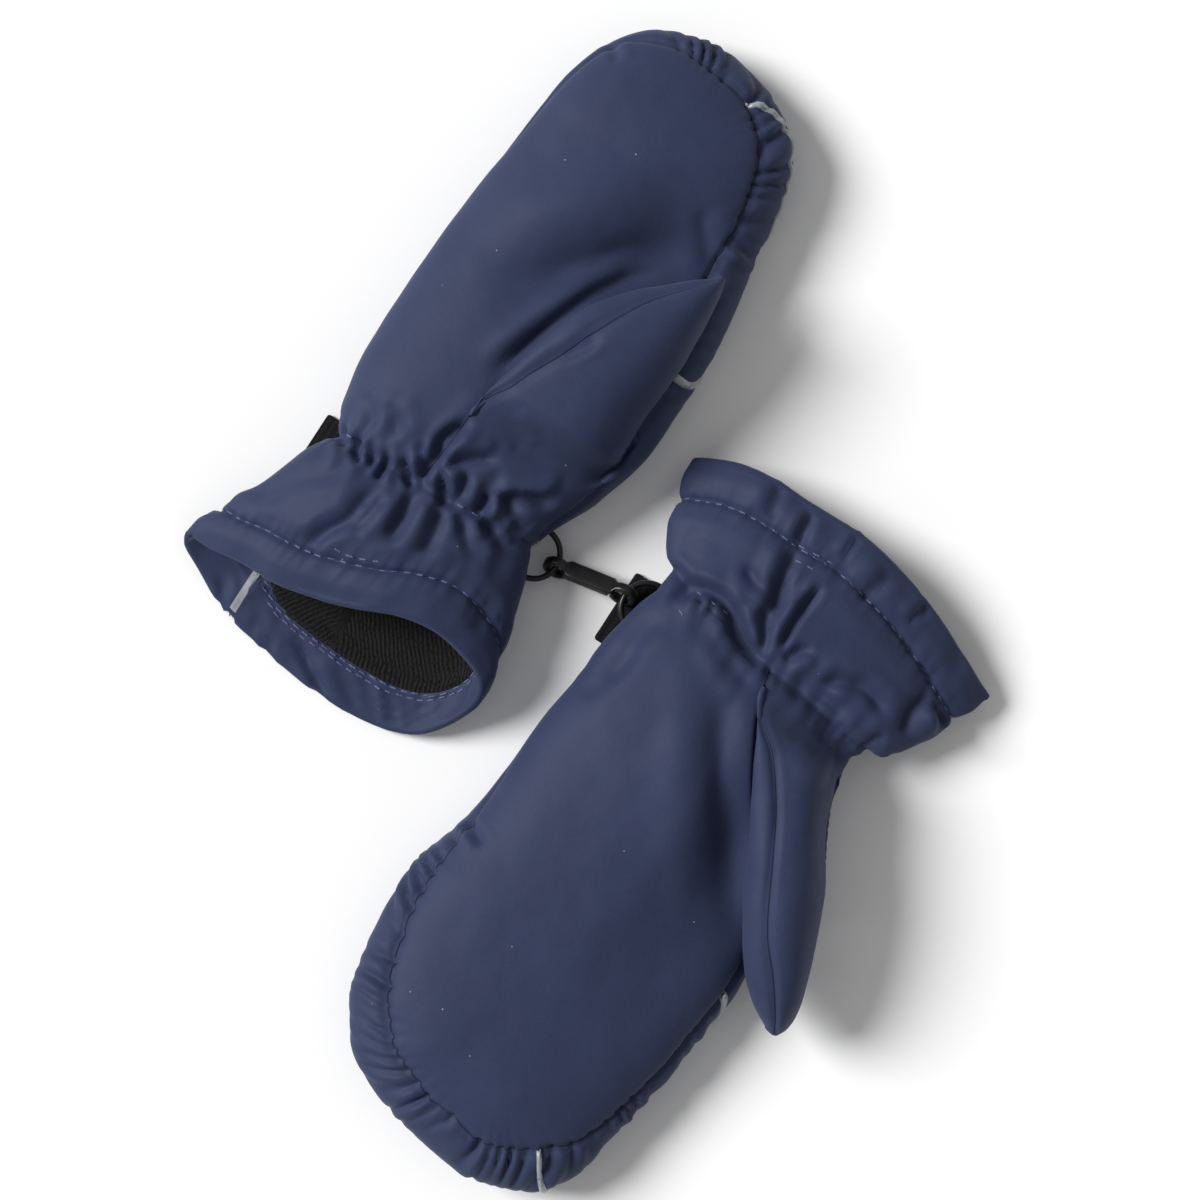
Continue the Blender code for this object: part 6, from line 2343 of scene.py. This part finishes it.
class Mitten:
    """One mitten: its shell with the lining, its piping, its sewing and its fleece."""

    CLOTH_NODES = (
        "palm", "thumb_side", "thumb_leaf", "back_main", "back_crescent", "back_cuff", "lining",
    )
    LEVELS = (-PIPING_HALF, -PIPING_HALF / 2, 0.0, PIPING_HALF / 2, PIPING_HALF)

    def __init__(self, cut: Cut, palette: Palette, sizes: MittenSizes) -> None:
        """Lays out the mitten's cloth.

        Args:
            cut: Its tables.
            palette: The materials.
            sizes: Its finished sizes.
        """
        self.cut, self.palette, self.sizes = cut, palette, sizes
        maker = GridMaker(cut)
        self.grid = maker.make()
        self.rings = maker.rings
        self.split_back()
        self.relief = Relief(cut, self.grid, ReliefSizes())
        self.outer = self.relief.outer()
        self.inner = self.inner_points()
        hems = [float(np.mean(self.relief.hem[ring])) for ring in self.rings]
        self.outside = Sleeve(self.outer, self.rings, np.array(hems))
        self.inside = Sleeve(self.inner, self.rings, np.array(hems))

    def split_back(self) -> None:
        """Parts the back along both lines of piping."""
        lines = (
            (self.cut.crescent, "back", "back_crescent", "back_main"),
            (self.cut.cuff_line, "back_main", "back_inner", "back_cuff"),
        )
        for line, source, low, high in lines:
            x, y = self.grid.fact("flat_x", FAR), self.grid.fact("flat_y", FAR)
            off = line_offsets(line, x, y).tolist()
            tape = "piping_crescent" if low == "back_crescent" else "piping_cuff"
            for step, level in enumerate(self.LEVELS):
                rest = high if step == len(self.LEVELS) - 1 else f"back_rest_{step}"
                self.grid.split(source, off, level, low if step == 0 else tape, rest)
                source = rest

    def facing_width(self, x: np.ndarray) -> np.ndarray:
        """How wide the facing inside the cuff is at places across the hand."""
        full, none, extra = self.cut.wide_facing
        return self.sizes.facing + extra * (1 - fade(x, full, none))

    def inner_points(self) -> np.ndarray:
        """The lining's side of the wall, with the facing's creases and the fleece's step.

        Returns:
            One place a row.
        """
        r, s = self.relief, self.sizes
        normals = calmed_normals(self.outer, self.grid)
        thin = 1 - np.clip(r.hem / s.rim_reach, 0.0, 1.0)
        wall = np.where(r.wall < WALL, r.wall, WALL - (WALL - s.rim_wall) * thin)
        width = self.facing_width(r.x)
        fleece = fade(r.hem - width, -0.6, 0.8)
        even = np.clip((normals * r.normals).sum(axis=1), 0.0, 1.0)
        beyond = np.where(r.wall < WALL, s.thumb_wall, s.hand_wall)
        beyond = beyond * (0.25 + 0.75 * fade(even, 0.45, 0.9))
        depth = np.where(r.hem < FAR, wall + s.fleece_step * fleece, beyond)
        crumple = r.drift(Drift.FACING, r.around) + r.drift(Drift.FACING_FINE, r.around)
        facing = (1 - fleece) * fade(r.hem, 0.8, 5.0)
        depth = depth + facing * (s.crumple * crumple)
        depth = depth - s.sewn_sink * bell(r.hem - width + s.sewn_place, s.sewn_place)
        tucks = sum((r.crease_lift(crease) for crease in self.cut.lip), np.zeros(len(depth)))
        tucks = np.clip(tucks, *s.tuck_limits) * (r.level >= 2) * (1 - fleece)
        even = r.points + r.normals * (s.outer_share * r.lift - depth - tucks)[:, None]
        share = fade(r.hem, *s.even_end)[:, None]
        inner = even * (1 - share) + (self.outer - normals * depth[:, None]) * share
        inner[:, 2] = np.maximum(inner[:, 2], s.least_height)
        return inner

    def name(self, part: str) -> str:
        """A piece's or node's full name."""
        return f"{self.cut.name}_{part}"

    def build_shell(self) -> bpy.types.Object:
        """The padded cloth from outside to lining, as one closed wall.

        Returns:
            The piece.
        """
        wall = Wall(self.grid.faces(), self.outer, self.inner, rim_steps=3)
        ring, second = self.rings[0], self.rings[3]
        tree, away = tree_of([self.outer[c] for c in second]), {}
        for c in ring:
            near = second[tree.find(self.outer[c])[1]]
            away[c] = unit(self.outer[c] - self.outer[near])
        points, faces, kinds = wall.close(away)
        r, s, used = self.relief, self.sizes, sorted({c for f in wall.faces for c in f})
        extra = len(points) - 2 * len(used)
        off, rim = np.full(len(used), FAR), np.full(extra, FAR)
        ribs = r.around + 0.55 * cloud(r.points, self.cut.seed + 50, 5.0)
        seam = np.where(r.seam_weight < 1.0, FAR, r.seam)
        tape = np.abs(r.x - self.cut.facing_tape)
        on_lip = (r.hem > 1.0) & (r.hem < s.even_end[0]) & (r.reach < LIP_REACH)
        tape = np.where(on_lip, tape, FAR)
        facts = {
            "seam": np.concatenate((seam[used], off, rim)),
            "rib": np.concatenate((ribs[used], ribs[used], rim * 0.0)),
            "tape": np.concatenate((off, tape[used], rim)),
        }
        deep = r.hem[used] - self.facing_width(r.x[used])
        deep = np.concatenate((deep, deep, np.full(extra, -FAR)))
        slots = [
            1 if kind == 1 and -0.5 <= min(deep[c] for c in face) < FAR / 2 else 0
            for kind, face in zip(kinds, faces)
        ]
        obj = plain_mesh(
            self.name("shell"), put(points, self.cut.facing), faces,
            (self.palette.cloth, self.palette.fleece), slots,
        )
        for fact, values in facts.items():
            give_attribute(obj, fact, values)
        settle(obj, self.name("palm"), *[self.name(node) for node in self.CLOTH_NODES])
        area = sum(p.area for p in obj.data.polygons) / 2
        log.info("%s: %d faces, %.4f m2 a side", obj.name, len(faces), area)
        area = round(area * s.uncreased_share, 4)
        return obj

    def build_piping(self, line: str) -> bpy.types.Object:
        """The reflective tape sewn into one seam of the back.

        Args:
            line: The name of the line that it follows.

        Returns:
            The piece.
        """
        s = self.sizes
        faces = self.grid.pieces[f"piping_{line}"]
        normals = surface_normals(self.outer, fan_triangles(self.grid.faces()))
        share = np.clip(self.relief.piping / PIPING_HALF, 0.0, 1.0)
        rise = s.piping_rise + s.piping_round * np.sqrt(1 - share ** 2)
        outer = self.outer + normals * rise[:, None]
        outer[:, 2] = np.maximum(outer[:, 2], 0.05)
        inner = self.outer - normals * s.piping_sink
        points, faces, _ = Wall(faces, outer, inner).close({})
        obj = plain_mesh(
            self.name(f"piping_{line}_tape"), put(points, self.cut.facing), faces,
            (self.palette.tape,),
        )
        return settle(obj, self.name(f"piping_{line}"), self.name(f"piping_{line}"))

    def spot(self, place: np.ndarray, axis: np.ndarray, up: np.ndarray, size: float) -> Spot:
        """A spot in the frame from a place and directions in the mitten's millimetres.

        Args:
            place: Where it is.
            axis: The way it points.
            up: Its top side.
            size: How large it is, against the shape that is repeated.

        Returns:
            The spot.
        """
        turn = Vector((1.0, self.cut.facing, 1.0))
        return Spot(
            Vector(put(place, self.cut.facing)), Vector(axis) * turn, Vector(up) * turn, size
        )

    def sleeve_row(
        self, sleeve: Sleeve, hem: float, pitch: float, span: tuple[float, float],
        side: float, rise: float, seed: float, sway: float = 0.25,
    ) -> list[Spot]:
        """A row of stitches round the cuff.

        Args:
            sleeve: The side of the cuff that shows them.
            hem: How far from the edge they run.
            pitch: From stitch to stitch.
            span: The part of the way round where they run, from the upper side's middle.
            side: 1 if the mitten's outside is up there, -1 for its inside.
            rise: How high they lie on the cloth.
            seed: Picks their unevenness.
            sway: How far they wander from the line.

        Returns:
            Their spots.
        """
        spots = []
        length = sleeve.length(hem)
        for i in range(int(length * (span[1] - span[0]) / pitch)):
            share = span[0] + (i + 0.5) * pitch / length
            drift = noise.noise(Vector((share * 23.0, seed, 0.0))) * sway * 2
            if sleeve is self.inside:
                x = sleeve.at(hem, share)[0]
                drift += float(self.facing_width(np.array(x))) - self.sizes.facing
            place, along, inwards = sleeve.frame(hem + drift, share)
            up = unit(np.cross(along, inwards)) * side * self.turn_sign
            size = 1.0 + 0.18 * noise.noise(Vector((share * 311.0, seed, 3.0)))
            spots.append(self.spot(place + up * rise, along, up, size))
        return spots

    @property
    def turn_sign(self) -> float:
        """1 if the way round, crossed with the way in, points out of the cuff."""
        place, along, inwards = self.outside.frame(HEM_BAND, 0.5)
        return 1.0 if np.cross(along, inwards)[2] < 0 else -1.0

    def dropped_row(
        self, line: Sequence[tuple[float, float]], pitch: float, rise: float, seed: float
    ) -> list[Spot]:
        """A row of stitches on the upper side, along a line drawn from above.

        Args:
            line: A few of its points, x and reach.
            pitch: From stitch to stitch.
            rise: How high they lie on the cloth.
            seed: Picks their unevenness.

        Returns:
            Their spots.
        """
        path = smooth_path(line, max(int(math.dist(line[0], line[-1]) / pitch), 1))
        spots = []
        for a, b in zip(path, path[1:]):
            middle = (a + b) / 2
            hits = []
            for point in (a, middle, b):
                start = Vector((point.x, point.y, 90.0))
                found, normal, _, _ = self.tree.ray_cast(start, Vector((0.0, 0.0, -1.0)))
                if found is not None:
                    hits.append((found, normal))
            if len(hits) < 3:
                continue
            up = hits[1][1] if hits[1][1].z > 0 else -hits[1][1]
            size = 1.0 + 0.15 * noise.noise(Vector((middle.x, middle.y, seed)))
            axis = (hits[2][0] - hits[0][0]).normalized()
            spots.append(self.spot(np.array(hits[1][0] + up * rise), axis, up, size))
        return spots

    @cached_property
    def tree(self) -> BVHTree:
        """The outer cloth, for finding what lies below a point."""
        return BVHTree.FromPolygons(self.outer.tolist(), self.grid.faces())

    def build_sewing(self, scatter: Scatter, rows: Sequence["SewnRow"]) -> bpy.types.Object:
        """All the stitches that show on this mitten.

        Args:
            scatter: Puts down single stitches.
            rows: The rows beside the ones at the hem.

        Returns:
            The piece.
        """
        s = self.sizes
        seed = self.cut.seed
        spots = self.sleeve_row(
            self.outside, HEM_BAND, s.stitch_pitch, (0.0, 1.0), 1.0, s.stitch_rise, seed
        )
        for back, span in s.facing_rows:
            hem = s.facing - back
            spots += self.sleeve_row(
                self.inside, hem, s.facing_pitch, span, -1.0, s.facing_rise, seed + hem,
                s.facing_sway,
            )
        for row in rows:
            spots += self.dropped_row(row.line, row.pitch, s.dropped_rise, seed)
        obj = settle(scatter.build(self.name("stitches"), spots), self.name("palm"))
        log.info("%s: %d stitches", obj.name, len(spots))
        return obj

    def build_fleece(self, scatter: Scatter) -> bpy.types.Object:
        """The fleece's fibres, in ribs that run into the cuff.

        Args:
            scatter: Puts down single fibres.

        Returns:
            The piece.
        """
        s = self.sizes
        ribs = round(self.inside.length(s.facing + 6.0) / s.rib_step)
        steps = int((s.fleece_depth - s.facing) / s.fibre_step)
        jitter = np.random.default_rng(s.fleece_seed).uniform(-1.0, 1.0, (ribs, steps, 5))
        spots = []
        for rib in range(ribs):
            for step in range(steps):
                j = jitter[rib, step]
                share = (rib + 0.5 + s.fibre_stray[0] * j[0]) / ribs
                hem = s.facing + s.fleece_start
                hem += (step + 0.5 + s.fibre_stray[1] * j[1]) * s.fibre_step
                place, along, inwards = self.inside.frame(hem, share)
                up = -unit(np.cross(along, inwards)) * self.turn_sign
                rise = s.fibre_rise[0] + s.fibre_rise[1] * j[2]
                axis = unit(-inwards + up * rise + along * s.fibre_lean * j[3])
                size = 1.0 + s.fibre_spread * j[4]
                place = place + axis * s.fibre_length * s.fibre_foot
                spots.append(self.spot(place, axis, up, size))
        obj = settle(scatter.build(self.name("fleece_fibres"), spots), self.name("lining"))
        log.info("%s: %d fibres", obj.name, len(spots))
        return obj


class SewnRow(NamedTuple):
    """A row of stitches on a mitten's upper side."""

    line: Sequence[tuple[float, float]]
    pitch: float


ROWS = {
    "right": (
        SewnRow(((-78.0, -26.6), (-72.0, -26.2), (-62.0, -22.0)), 3.6),
        SewnRow(((-95.0, 5.0), (-90.0, 5.3)), 3.2),
        SewnRow(((-54.0, 5.6), (-44.0, 6.0)), 3.6),
    ),
    "left": (
        SewnRow(((42.0, -52.8), (50.0, -53.4), (57.0, -54.0)), 3.9),
        SewnRow(((44.0, -48.2), (52.0, -49.0)), 3.9),
        SewnRow(((23.0, -23.6), (28.0, -23.2), (38.0, -22.6)), 4.2),
        SewnRow(((22.0, -16.0), (26.0, -14.5)), 3.6),
    ),
}


# ---- Strap, rings and clip -------------------------------------------------------------------
@dataclass(frozen=True)
class HardwareSizes:
    """Sizes of the straps, rings, loops and clip, in millimetres."""

    strap_lift: float = 0.3
    strap_thick: float = 1.4
    strap_corner: float = 1.0
    strap_edge: float = 0.4
    ring_radius: float = 8.2
    ring_steps: int = 96
    wire_radius: float = 0.95
    wire_sides: int = 16
    loop_width: float = 6.0
    loop_reach: float = 2.3
    loop_wall: float = 0.9
    loop_room: float = 0.95
    loop_lift: float = 0.3
    loop_corner: float = 1.2
    loop_hole_corner: float = 0.9
    loop_edge: float = 0.2
    loop_past: float = 1.4          # how far it runs past the wire, in the wire's radii
    edge_steps: int = 3             # facets of a rounded edge
    clip_lean: float = 60.0
    clip_edge: float = 0.75
    clip_gap: float = 0.2           # between the tongue's end and the hook
    clip_thick: float = 3.0
    clip_half: float = 2.8
    clip_mouth: float = 0.5
    spine_swell: float = 1.05
    spine_ramp: float = 1.6
    spine_lap: float = 0.6          # how far it runs over the eye's and the hook's edges
    eye_outer: float = 4.5
    eye_hole: float = 2.6
    hook_outer: float = 4.8
    hook_hole: float = 2.7
    spine_edge: float = 0.5
    tongue_edge: float = 0.9
    slot_round: float = 1.2         # from the eye to the end of the slot behind the tongue
    slot_square: float = 2.2        # and to where the slot has its full width


Outline = list[tuple[float, float]]


def arc_points(x: float, y: float, radius: float, first: float, last: float, steps: int) -> Outline:
    """Points along an arc, its angles in degrees."""
    turns = [math.radians(first + (last - first) * i / steps) for i in range(steps + 1)]
    return [(x + radius * math.cos(t), y + radius * math.sin(t)) for t in turns]


def rounded_box(low: Sequence[float], high: Sequence[float], radius: float) -> Outline:
    """A rectangle's outline with rounded corners, counter-clockwise.

    Args:
        low: Its least x and y.
        high: Its greatest.
        radius: The corners' radius.

    Returns:
        The outline's points.
    """
    corners = (
        (high[0] - radius, high[1] - radius, 0), (low[0] + radius, high[1] - radius, 90),
        (low[0] + radius, low[1] + radius, 180), (high[0] - radius, low[1] + radius, 270),
    )
    outline = []
    for x, y, first in corners:
        outline += arc_points(x, y, radius, first, first + 90, 8)
    return outline


class Hardware:
    """The straps across the wrists, the rings on their loops and the clip between them."""

    RIGHT_STRAP = ((-103.8, -17.5), (-30.5, 7.5))
    LEFT_STRAP = ((5.5, -6.5), (66.0, 18.5))
    RIGHT_RING = Vector((-25.0, 6.0, 4.7))
    LEFT_RING = Vector((14.5, 10.5, 5.2))
    RIGHT_TILT = 3.0
    LEFT_TILT = 7.0
    EYE = Vector((-16.45, 6.0, 4.8))
    HOOK = Vector((5.8, 10.3, 6.5))

    def __init__(self, palette: Palette, sizes: HardwareSizes) -> None:
        """Takes the materials and sizes."""
        self.palette, self.sizes = palette, sizes

    def finish(self, obj: bpy.types.Object, node: str) -> bpy.types.Object:
        """Lets a piece stand for its solid."""
        log.info("%s: %d faces", obj.name, len(obj.data.polygons))
        return settle(obj, node, node)

    def plate(
        self, node: str, outlines: Sequence[Outline], thickness: float, edge: float,
        turn: Matrix, place: Vector, material: bpy.types.Material,
        swell: Callable[[Vector], float] = lambda p: 1.0,
    ) -> bpy.types.Object:
        """A flat plate with rounded edges, cut to outlines.

        Args:
            node: The solid that it stands for.
            outlines: The first runs round the plate and the next ones round its holes.
            thickness: Its thickness.
            edge: The radius of its edges.
            turn: How it is turned.
            place: Where its own zero lies.
            material: Its material.
            swell: How many times as thick it is at a place.

        Returns:
            The piece.
        """
        mesh = bmesh.new()
        caps = {-1: [], 1: []}
        for outline in outlines:
            flat = [Vector((x, y, 0.0)) for x, y in outline]
            inwards = []
            for before, here, after in zip(flat[-1:] + flat[:-1], flat, flat[1:] + flat[:1]):
                along = (here - before).normalized() + (after - here).normalized()
                inwards.append(Vector((-along.y, along.x, 0.0)).normalized())
            levels = []
            for side in (-1, 1):
                for step in range(self.sizes.edge_steps + 1)[:: side * -1]:
                    roll = math.pi / 2 * step / self.sizes.edge_steps
                    inset = edge * (1 - math.cos(roll))
                    levels.append((inset, side * (thickness / 2 - edge * (1 - math.sin(roll)))))
            levels.sort(key=lambda level: level[1])
            loops = []
            for inset, height in levels:
                points = [p + way * inset for p, way in zip(flat, inwards)]
                raised = [Vector((p.x, p.y, height * swell(p))) for p in points]
                placed = [turn @ p + place + SHIFT for p in raised]
                loops.append([mesh.verts.new(p * MM) for p in placed])
            for low, high in zip(loops, loops[1:]):
                for i in range(len(flat)):
                    k = (i + 1) % len(flat)
                    mesh.faces.new((low[i], low[k], high[k], high[i])).smooth = True
            for side, loop in ((-1, loops[0]), (1, loops[-1])):
                caps[side] += [
                    mesh.edges.get((loop[i], loop[(i + 1) % len(loop)])) for i in range(len(loop))
                ]
        for edges in caps.values():
            bmesh.ops.triangle_fill(mesh, use_beauty=True, use_dissolve=False, edges=edges)
        bmesh.ops.recalc_face_normals(mesh, faces=mesh.faces)
        data = bpy.data.meshes.new(f"{node}_fine")
        mesh.to_mesh(data)
        mesh.free()
        data.materials.append(material)
        return self.finish(add_object(f"{node}_fine", data), node)

    def build_ring(self, node: str, centre: Vector, axis: str, tilt: float) -> bpy.types.Object:
        """A round wire ring.

        Args:
            node: The solid that it stands for.
            centre: Its middle.
            axis: The axis that it is tilted about.
            tilt: How far, in degrees.

        Returns:
            The piece.
        """
        s, steps, sides = self.sizes, self.sizes.ring_steps, self.sizes.wire_sides
        turn = Matrix.Rotation(math.radians(tilt), 3, axis)
        points, faces = [], []
        for i in range(steps):
            angle = 2 * math.pi * i / steps
            out = Vector((math.cos(angle), math.sin(angle), 0.0))
            for j in range(sides):
                roll = 2 * math.pi * j / sides
                p = out * (s.ring_radius + s.wire_radius * math.cos(roll))
                p.z = s.wire_radius * math.sin(roll)
                points.append((turn @ p + centre + SHIFT) * MM)
                a, b = i * sides + j, i * sides + (j + 1) % sides
                c, d = (b + sides) % (steps * sides), (a + sides) % (steps * sides)
                faces.append((a, d, c, b))
        obj = plain_mesh(f"{node}_fine", np.array(points), faces, (self.palette.plastic,))
        return self.finish(obj, node)

    def build_strap(
        self, node: str, low: Sequence[float], high: Sequence[float]
    ) -> bpy.types.Object:
        """The flat webbing across the back of a wrist.

        Args:
            node: The solid that it stands for.
            low: Its least x and y.
            high: Its greatest.

        Returns:
            The piece.
        """
        s = self.sizes
        place = Vector((0.0, 0.0, s.strap_lift + s.strap_thick / 2))
        outline = rounded_box(low, high, s.strap_corner)
        return self.plate(
            node, [outline], s.strap_thick, s.strap_edge, Matrix.Identity(3), place,
            self.palette.webbing,
        )

    def build_loop(self, node: str, wire: Vector, outward: int) -> bpy.types.Object:
        """The fold of webbing that holds a ring by its wire.

        Args:
            node: The solid that it stands for.
            wire: The wire's middle where it passes through.
            outward: The side of the ring's middle, -1 or 1.

        Returns:
            The piece.
        """
        s = self.sizes
        low = s.strap_lift + s.strap_thick + s.loop_lift - wire.z
        inner, outer = -s.loop_reach * outward, s.wire_radius * s.loop_past * outward
        room, left, right = s.wire_radius + s.loop_room, min(inner, outer), max(inner, outer)
        hole = rounded_box((left, -room), (right, room), s.loop_hole_corner)
        high = (right + s.loop_wall, room + s.loop_wall)
        around = rounded_box((left - s.loop_wall, low), high, s.loop_corner)
        turn = Matrix.Rotation(math.pi / 2, 3, "X")
        return self.plate(
            node, [around, hole[::-1]], s.loop_width, s.loop_edge, turn, wire,
            self.palette.webbing,
        )

    def build_clip(self) -> bpy.types.Object:
        """The snap clip: an eye on one ring, a hook on the other and its sprung tongue.

        Returns:
            The piece.
        """
        s = self.sizes
        span = (self.HOOK - self.EYE).length
        eye_side = math.degrees(math.asin(s.clip_half / s.eye_outer))
        hook_side = math.degrees(math.asin(s.clip_half / s.hook_outer))
        hole_side = math.degrees(math.asin(s.spine_edge / s.hook_hole))
        gap = span - s.hook_outer * math.cos(math.radians(hook_side)) - s.clip_gap
        slot = s.eye_outer + s.slot_square
        full = (s.eye_outer - s.spine_lap, span - s.hook_outer + s.spine_lap)
        stops = (full[0], full[0] + s.spine_ramp, full[1] - s.spine_ramp, full[1])

        def swell(place: Vector) -> float:
            """The spine is wider than the eye, the hook and the tongue.

            Args:
                place: A place on the clip's outline.

            Returns:
                How many times as wide it is there.
            """
            inside = min(place.x - full[0], full[1] - place.x) / s.spine_ramp + 1
            share = min(max(inside, 0.0), 1.0) if place.y > 0.1 else 0.0
            return 1 + s.spine_swell * share * share * (3 - 2 * share)

        outline = [(gap - s.clip_mouth, -s.clip_half)]
        outline += arc_points(0, 0, s.eye_outer, -eye_side, -360 + eye_side, 48)
        outline += [(x, s.clip_half) for x in stops]
        outline += arc_points(span, 0, s.hook_outer, 180 - hook_side, -180 + hook_side, 48)
        outline += [(gap, -s.clip_half), (gap, -s.tongue_edge)]
        outline += arc_points(span, 0, s.hook_hole, -150, 180 - hole_side, 40)
        outline += [(stops[2], s.spine_edge), (slot, s.spine_edge)]
        outline += [(s.eye_outer + s.slot_round, 0.0)]
        outline += [(slot, -s.tongue_edge), (gap - s.clip_mouth, -s.tongue_edge)]
        hole = arc_points(0, 0, s.eye_hole, 360, 12, 29)
        along = (self.HOOK - self.EYE).normalized()
        lean = math.radians(s.clip_lean)
        across = Vector((0.0, math.cos(lean), math.sin(lean)))
        across = (across - along * across.dot(along)).normalized()
        turn = Matrix((along, across, along.cross(across))).transposed()
        return self.plate(
            "clip", [outline[::-1], hole], s.clip_thick, s.clip_edge, turn, self.EYE,
            self.palette.plastic, swell,
        )

    def build(self) -> None:
        """Builds all of it."""
        self.build_strap("right_strap", *self.RIGHT_STRAP)
        self.build_strap("left_strap", *self.LEFT_STRAP)
        self.build_ring("right_ring", self.RIGHT_RING, "X", self.RIGHT_TILT)
        self.build_ring("left_ring", self.LEFT_RING, "Y", self.LEFT_TILT)
        radius, tilt = self.sizes.ring_radius, math.radians(self.LEFT_TILT)
        self.build_loop("right_ring_loop", self.RIGHT_RING - Vector((radius, 0.0, 0.0)), -1)
        far = Vector((radius * math.cos(tilt), 0.0, -radius * math.sin(tilt)))
        self.build_loop("left_ring_loop", self.LEFT_RING + far, 1)
        self.build_clip()


# ---- Studio ----------------------------------------------------------------------------------
@dataclass(frozen=True)
class Studio:
    """The pale floor, the soft light and the camera above the pair."""

    turn: float = 33.0              # the picture's turn against the frame, in degrees
    middle: tuple[float, float] = (-0.0004, 0.0042)
    camera_height: float = 1.27
    lens: float = 120.0
    floor_size: float = 12.0
    floor_colour: tuple[float, float, float] = (0.93, 0.93, 0.93)
    sky_strength: float = 0.35
    key_power: float = 3.75
    key_place: tuple[float, float, float] = (-1.45, -0.34, 1.25)
    key_spread: float = 26.0        # its width as seen from the pair, in degrees

    def build_floor(self) -> None:
        """The floor that the pair lies on."""
        half = self.floor_size / 2
        corners = np.array([(-half, -half, 0), (half, -half, 0), (half, half, 0), (-half, half, 0)])
        shader = Shader("pale_floor")
        grain = shader.texture(Texture.NOISE, 40.0, Detail=2.0).outputs["Fac"]
        pale = tuple(c * 0.985 for c in self.floor_colour)
        shader.paint(grain, pale, self.floor_colour)
        shader.set(Roughness=0.9, Specular_IOR_Level=0.1)
        mesh = bpy.data.meshes.new("floor")
        mesh.from_pydata(corners.tolist(), [], [(0, 1, 2, 3)])
        mesh.materials.append(shader.material)
        add_object("floor", mesh)

    def build_light(self) -> None:
        """A soft key light from the picture's upper left and an even sky."""
        data = bpy.data.lights.new("key", "SUN")
        data.energy, data.angle = self.key_power, math.radians(self.key_spread)
        key = add_object("key", data)
        key.location = self.key_place
        key.rotation_euler = Vector(self.key_place).to_track_quat("Z", "Y").to_euler()
        world = bpy.data.worlds.new("soft_sky")
        world.use_nodes = True
        ground = world.node_tree.nodes["Background"]
        ground.inputs["Color"].default_value = (1.0, 1.0, 1.0, 1.0)
        ground.inputs["Strength"].default_value = self.sky_strength
        bpy.context.scene.world = world
        bpy.context.scene.view_settings.view_transform = "Standard"

    def build_camera(self) -> None:
        """The camera, looking straight down."""
        data = bpy.data.cameras.new("camera")
        data.lens, data.sensor_width = self.lens, 36.0
        data.clip_end = 100.0
        camera = add_object("camera", data)
        camera.location = (*self.middle, self.camera_height)
        camera.rotation_euler = (0.0, 0.0, math.radians(self.turn))
        bpy.context.scene.camera = camera

    def build(self) -> None:
        """Builds floor, light and camera."""
        self.build_floor()
        self.build_light()
        self.build_camera()


def main() -> None:
    """Builds the pair, its finishes and the studio."""
    palette = Palette.mixed()
    sizes = MittenSizes()
    stitch = grain_shape("stitch", sizes.stitch_length, sizes.stitch_radius, 5, 8)
    fibre = grain_shape("fibre", sizes.fibre_length, sizes.fibre_radius, 2, 3)
    sewing = Scatter("sewing", stitch, palette.thread)
    pile = Scatter("pile", fibre, palette.fibre)
    for name, cut in CUTS.items():
        mitten = Mitten(cut, palette, sizes)
        mitten.build_shell()
        mitten.build_piping("crescent")
        mitten.build_piping("cuff")
        mitten.build_sewing(sewing, ROWS[name])
        mitten.build_fleece(pile)
    Hardware(palette, HardwareSizes()).build()
    Studio().build()


if __name__ == "__main__":
    logging.basicConfig(level=logging.INFO, format="%(message)s")
    main()
